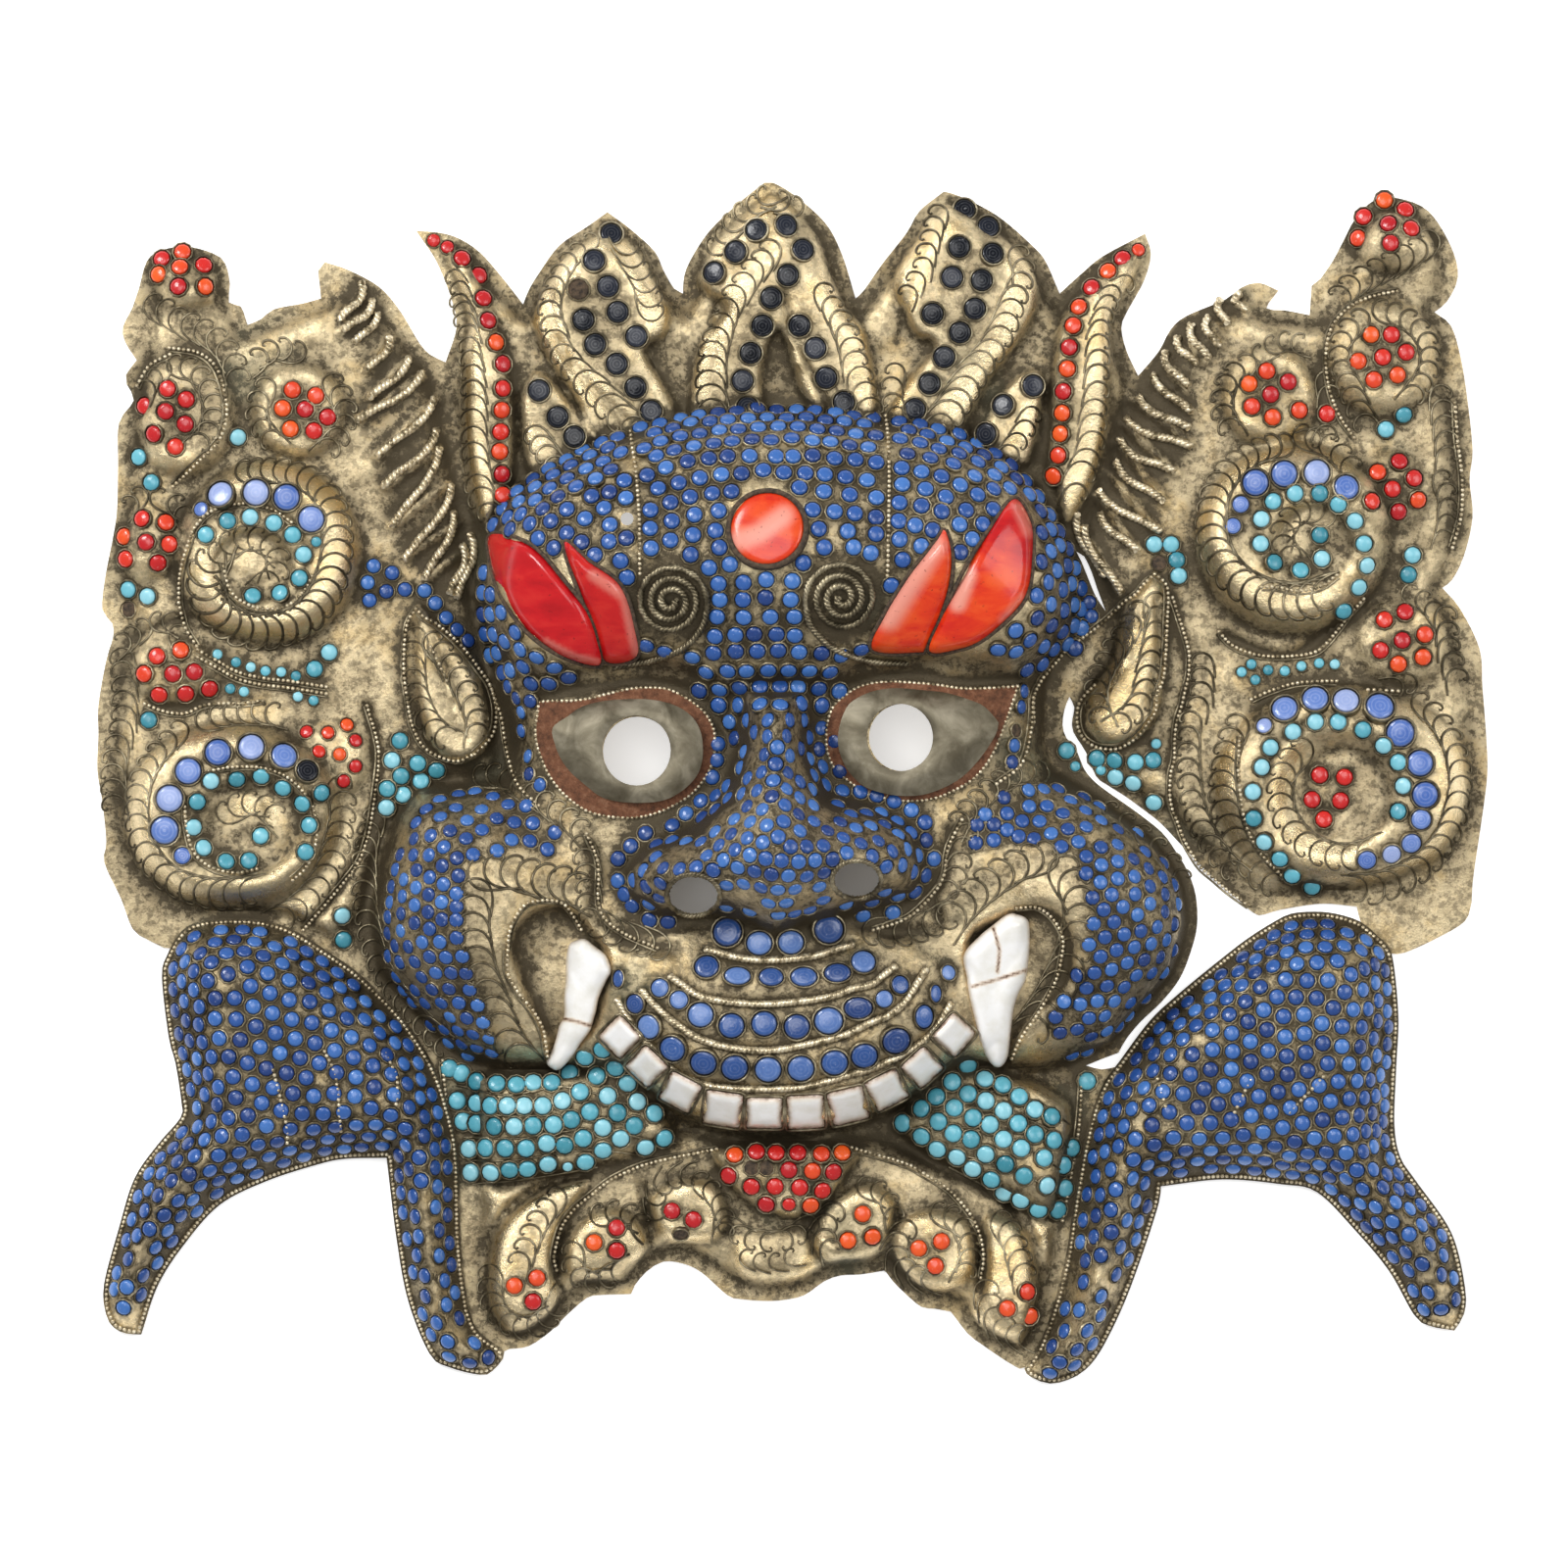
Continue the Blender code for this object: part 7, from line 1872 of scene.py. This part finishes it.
# Mane and mouth: ropes of two wires twisted together, laid side by side down each lock of the mane and in the
# valleys between the mouth's rows, and coils of the same rope at the inner ends of the brows.
STRANDS_LEFT = [((369, 288), (349, 327)), ((380, 306), (352, 338)), ((385, 320), (363, 350)),
                ((398, 345), (375, 379)), ((418, 366), (378, 407)), ((431, 381), (366, 430)),
                ((444, 407), (386, 466)), ((446, 438), (392, 497)), ((449, 458), (401, 538)),
                ((461, 495), (414, 571)), ((463, 522), (434, 591)), ((480, 545), (467, 610)),
                ((472, 556), (460, 606))]
STRANDS_RIGHT = [((1245, 306), (1252, 331)), ((1265, 300), (1270, 318)), ((1233, 324), (1242, 354)),
                 ((1215, 331), (1233, 367)), ((1201, 344), (1220, 372)), ((1189, 359), (1212, 395)),
                 ((1176, 382), (1215, 421)), ((1161, 405), (1212, 437)), ((1148, 427), (1214, 456)),
                 ((1142, 448), (1197, 482)), ((1138, 470), (1186, 512)), ((1120, 501), (1182, 542)),
                 ((1122, 524), (1159, 562)), ((1106, 537), (1144, 605)), ((1098, 525), (1126, 588))]


def twisted(line, wire, twist, offset=0.0):
    """Two wires wound round each other along a line of places, as two paths."""
    paths = []
    along = np.gradient(line, axis=0)
    along /= np.linalg.norm(along, axis=1)[:, None] + 1e-12
    side = np.cross(along, (0, 0, 1))
    side /= np.linalg.norm(side, axis=1)[:, None] + 1e-12
    up = np.cross(side, along)
    lengths = np.concatenate([[0], np.cumsum(np.linalg.norm(np.diff(line, axis=0), axis=1))])
    for phase in (0, math.pi):
        angle = (lengths / twist * math.tau + phase + offset)[:, None]
        paths.append(line + wire * (np.cos(angle) * side + np.sin(angle) * up))
    return paths


ROPE_STEP = 1.6
paths = []
chance = np.random.default_rng(5)
for start, end in STRANDS_LEFT + STRANDS_RIGHT:
    heading = Vector(end) - Vector(start)
    across = Vector((-heading.y, heading.x)).normalized()
    bend = chance.uniform(5.0, 8.0) * (-1 if start[0] < 800 else 1)
    first = Vector(start)
    last = Vector(end)
    spots, _ = strung([first, first.lerp(last, 0.16) + across * bend * 0.8,
                       first.lerp(last, 0.42) + across * bend,
                       first.lerp(last, 0.75) + across * bend * 0.2, last], ROPE_STEP)
    # Grime and painted shade in the gaps beside each strand.
    add_grime_and_shade(spots + np.array(across) * 7, 4.0)
    add_grime_and_shade(spots - np.array(across) * 7, 4.0)
    line = on_sheet(spots, height_map, 0.0009)
    paths += twisted(line, 0.00056, 0.0028, chance.uniform(0, 6))
for path in MOUTH_WIRES:
    spots, _ = strung(path, ROPE_STEP)
    paths += twisted(on_sheet(spots, height_map, 0.0010), 0.00045, 0.0024)
    # Grime and painted shade along the ropes of the mouth.
    add_grime_and_shade(spots, 3.5)
laid_wires("mane_wires", paths, 0.00076, rubbed_wire)
# Each spiral: side, hand, the angle where its tail starts, and the tail.
TAILS = [("left", 1, 10, [(719, 639), (708, 655), (690, 668), (664, 676), (628, 682)]),
         ("right", -1, 170, [(825, 636), (836, 652), (855, 666), (888, 676), (925, 679)])]
TURNS = 3.15
TURN_PITCH = 10.7
for side, hand, begin, tail in TAILS:
    centre = SPIRALS[side]
    turns = np.linspace(0.10, TURNS, 190)
    reach = (3 + TURN_PITCH * turns)[:, None]
    around = turns[:, None] * 40
    # Grime and painted shade between the coil's turns.
    add_grime_and_shade(centre + reach * np.hstack([np.cos(around), np.sin(around)]), 45)
    angles = (math.radians(begin) + hand * (turns - TURNS) * math.tau)[:, None]
    spots = centre + reach * np.hstack([np.cos(angles), np.sin(angles)])
    tail_spots, _ = strung([tuple(spots[-1]), *tail], 2.0)
    line = on_sheet(np.vstack([spots, tail_spots[2:]]), blurred(height_map, 4), 0.0011)
    coil = laid_wires(f"brow_spiral_{side}_look", twisted(line, 0.00052, 0.0024), 0.00066, shaded_wire_metal)
    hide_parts(f"brow_spiral_{side}")

# Brow bezels: the blackened edge of glue and thin strip that is bent round each coral slab and holds it.
bezels = []
for outline in BROWS.values():
    ring = inset_ring(round_outline(outline, 5), -1.2)
    bezels.append(on_sheet(np.vstack([ring, ring[:1]]), blurred(height_map, 6), 0.0010))
laid_wires("brow_bezels", bezels, 0.00062, old_glue)

# Nostril rims: a rope of two wires soldered round each hole, 2 pixels outside its edge.
rims = []
for centre, half_width, half_height in (NOSTRIL_LEFT, NOSTRIL_RIGHT):
    hole = ellipse(centre, half_width + 2, half_height + 2)
    spots, _ = strung([*hole, hole[0]], ROPE_STEP)
    rims += twisted(on_sheet(spots, height_map, 0.0006), 0.0004, 0.0022)
laid_wires("nostril_rims", rims, 0.00055, shaded_wire_metal)

# Tooth cells: a thin strip of metal bent round each tooth and soldered to the jaw.
cells = [on_sheet(spots, height_map, 0.0022) for spots in tooth_cells]
laid_wires("tooth_cells", cells, 0.00042, shaded_wire_metal)

# Grime and painted shade: the metal is darkened between the stones and under the wires, partly by settled
# grime and partly as painted shade where they meet the sheet, and lightened on the open metal of the bright
# boxes. Each stone counts with its area in pixels, and each box is darker or lighter than the rest by a
# weight.
for spots, weight in ((in_pixels(lapis_rows), 72), (CORAL, 9.4 ** 2), (TURQUOISE, 8.6 ** 2), (BLACK, 9 ** 2),
                      (SMALL_TURQUOISE, 5 ** 2), ([stone[:2] for stone in PERIWINKLE + LIPS], 13 ** 2)):
    add_grime_and_shade(spots, weight)
BOX_TONES = [((655, 980, 935, 1100), 9), ((470, 1215, 640, 1350), -9), ((975, 1230, 1075, 1370), -9),
               ((1100, 600, 1185, 750), -10), ((165, 450, 370, 660), -7), ((370, 250, 470, 560), -4),
               ((640, 1200, 970, 1280), -6)]
BOX_STEP = 14
for (x0, y0, x1, y1), weight in BOX_TONES:
    across, down = np.meshgrid(np.arange(x0, x1, BOX_STEP), np.arange(y0, y1, BOX_STEP))
    add_grime_and_shade(np.column_stack([across.ravel(), down.ravel()]), weight)
grime_and_shade = np.clip(blurred(grime_and_shade, 7), -0.42, 0.75)
for piece in (sheet, *arms):
    marked(piece, "grime_and_shade", sampled(grime_and_shade, *points_of(piece).T))

# Studio: a plain pale floor that glows a little, so that it looks as white as the photograph's ground, but
# stays dim under the nostrils; a broad soft light above, one at the upper left and one at the right; and the
# camera straight above the mask.
DIM_SPOT = (-0.005, -0.032, 0)
DIM_RADIUS = 0.034
DIM_GLOW = 0.06
GLOW = 0.44
bpy.ops.mesh.primitive_plane_add(size=8)
floor = bpy.context.active_object
floor.name = "floor"
paper, tree, skin = shader("white paper")
skin.inputs["Base Color"].default_value = (0.92, 0.92, 0.92, 1)
skin.inputs["Roughness"].default_value = 0.9
skin.inputs["Emission Color"].default_value = (1, 1, 1, 1)
reach = add(tree, "ShaderNodeVectorMath", {0: add(tree, "ShaderNodeTexCoord").outputs["Object"]},
            operation="DISTANCE")
reach.inputs[1].default_value = DIM_SPOT
open_floor = above(tree, reach.outputs["Value"], DIM_RADIUS, 80.0)
tree.links.new(figured(tree, "ADD", figured(tree, "MULTIPLY", open_floor, GLOW), DIM_GLOW),
               skin.inputs["Emission Strength"])
floor.data.materials.append(paper)
# Each light: place, size in metres and power in watts.
LIGHTS = [((-0.5, 0.6, 3.7), 2.0, 44), ((-1.3, 1.2, 1.6), 0.7, 28), ((1.4, 0.4, 1.5), 1.0, 12)]
for number, (place, size, power) in enumerate(LIGHTS):
    light = bpy.data.lights.new(f"soft box {number}", "AREA")
    light.shape = "SQUARE"
    light.size = size
    light.energy = power
    lamp = bpy.data.objects.new(f"soft box {number}", light)
    lamp.location = place
    lamp.rotation_mode = "QUATERNION"
    lamp.rotation_quaternion = (Vector((0, 0, 0)) - Vector(place)).to_track_quat("-Z", "Y")
    bpy.context.scene.collection.objects.link(lamp)
ROOM_LIGHT = 0.40
world = bpy.data.worlds.new("studio")
bpy.context.scene.world = world
world.use_nodes = True
world.node_tree.nodes["Background"].inputs["Color"].default_value = (1, 1, 1, 1)
world.node_tree.nodes["Background"].inputs["Strength"].default_value = ROOM_LIGHT
CAMERA_HEIGHT = 3.2
PHOTO_SIZE = (1599, 1600)
FRAME_WIDTH = PHOTO_SIZE[0] * PIXEL
lens = bpy.data.cameras.new("camera")
lens.lens = lens.sensor_width * CAMERA_HEIGHT / FRAME_WIDTH
camera = bpy.data.objects.new("camera", lens)
camera.location = (*in_metres(np.divide(PHOTO_SIZE, 2)), CAMERA_HEIGHT)
bpy.context.scene.collection.objects.link(camera)
bpy.context.scene.camera = camera

bpy.context.scene.view_settings.view_transform = "Standard"
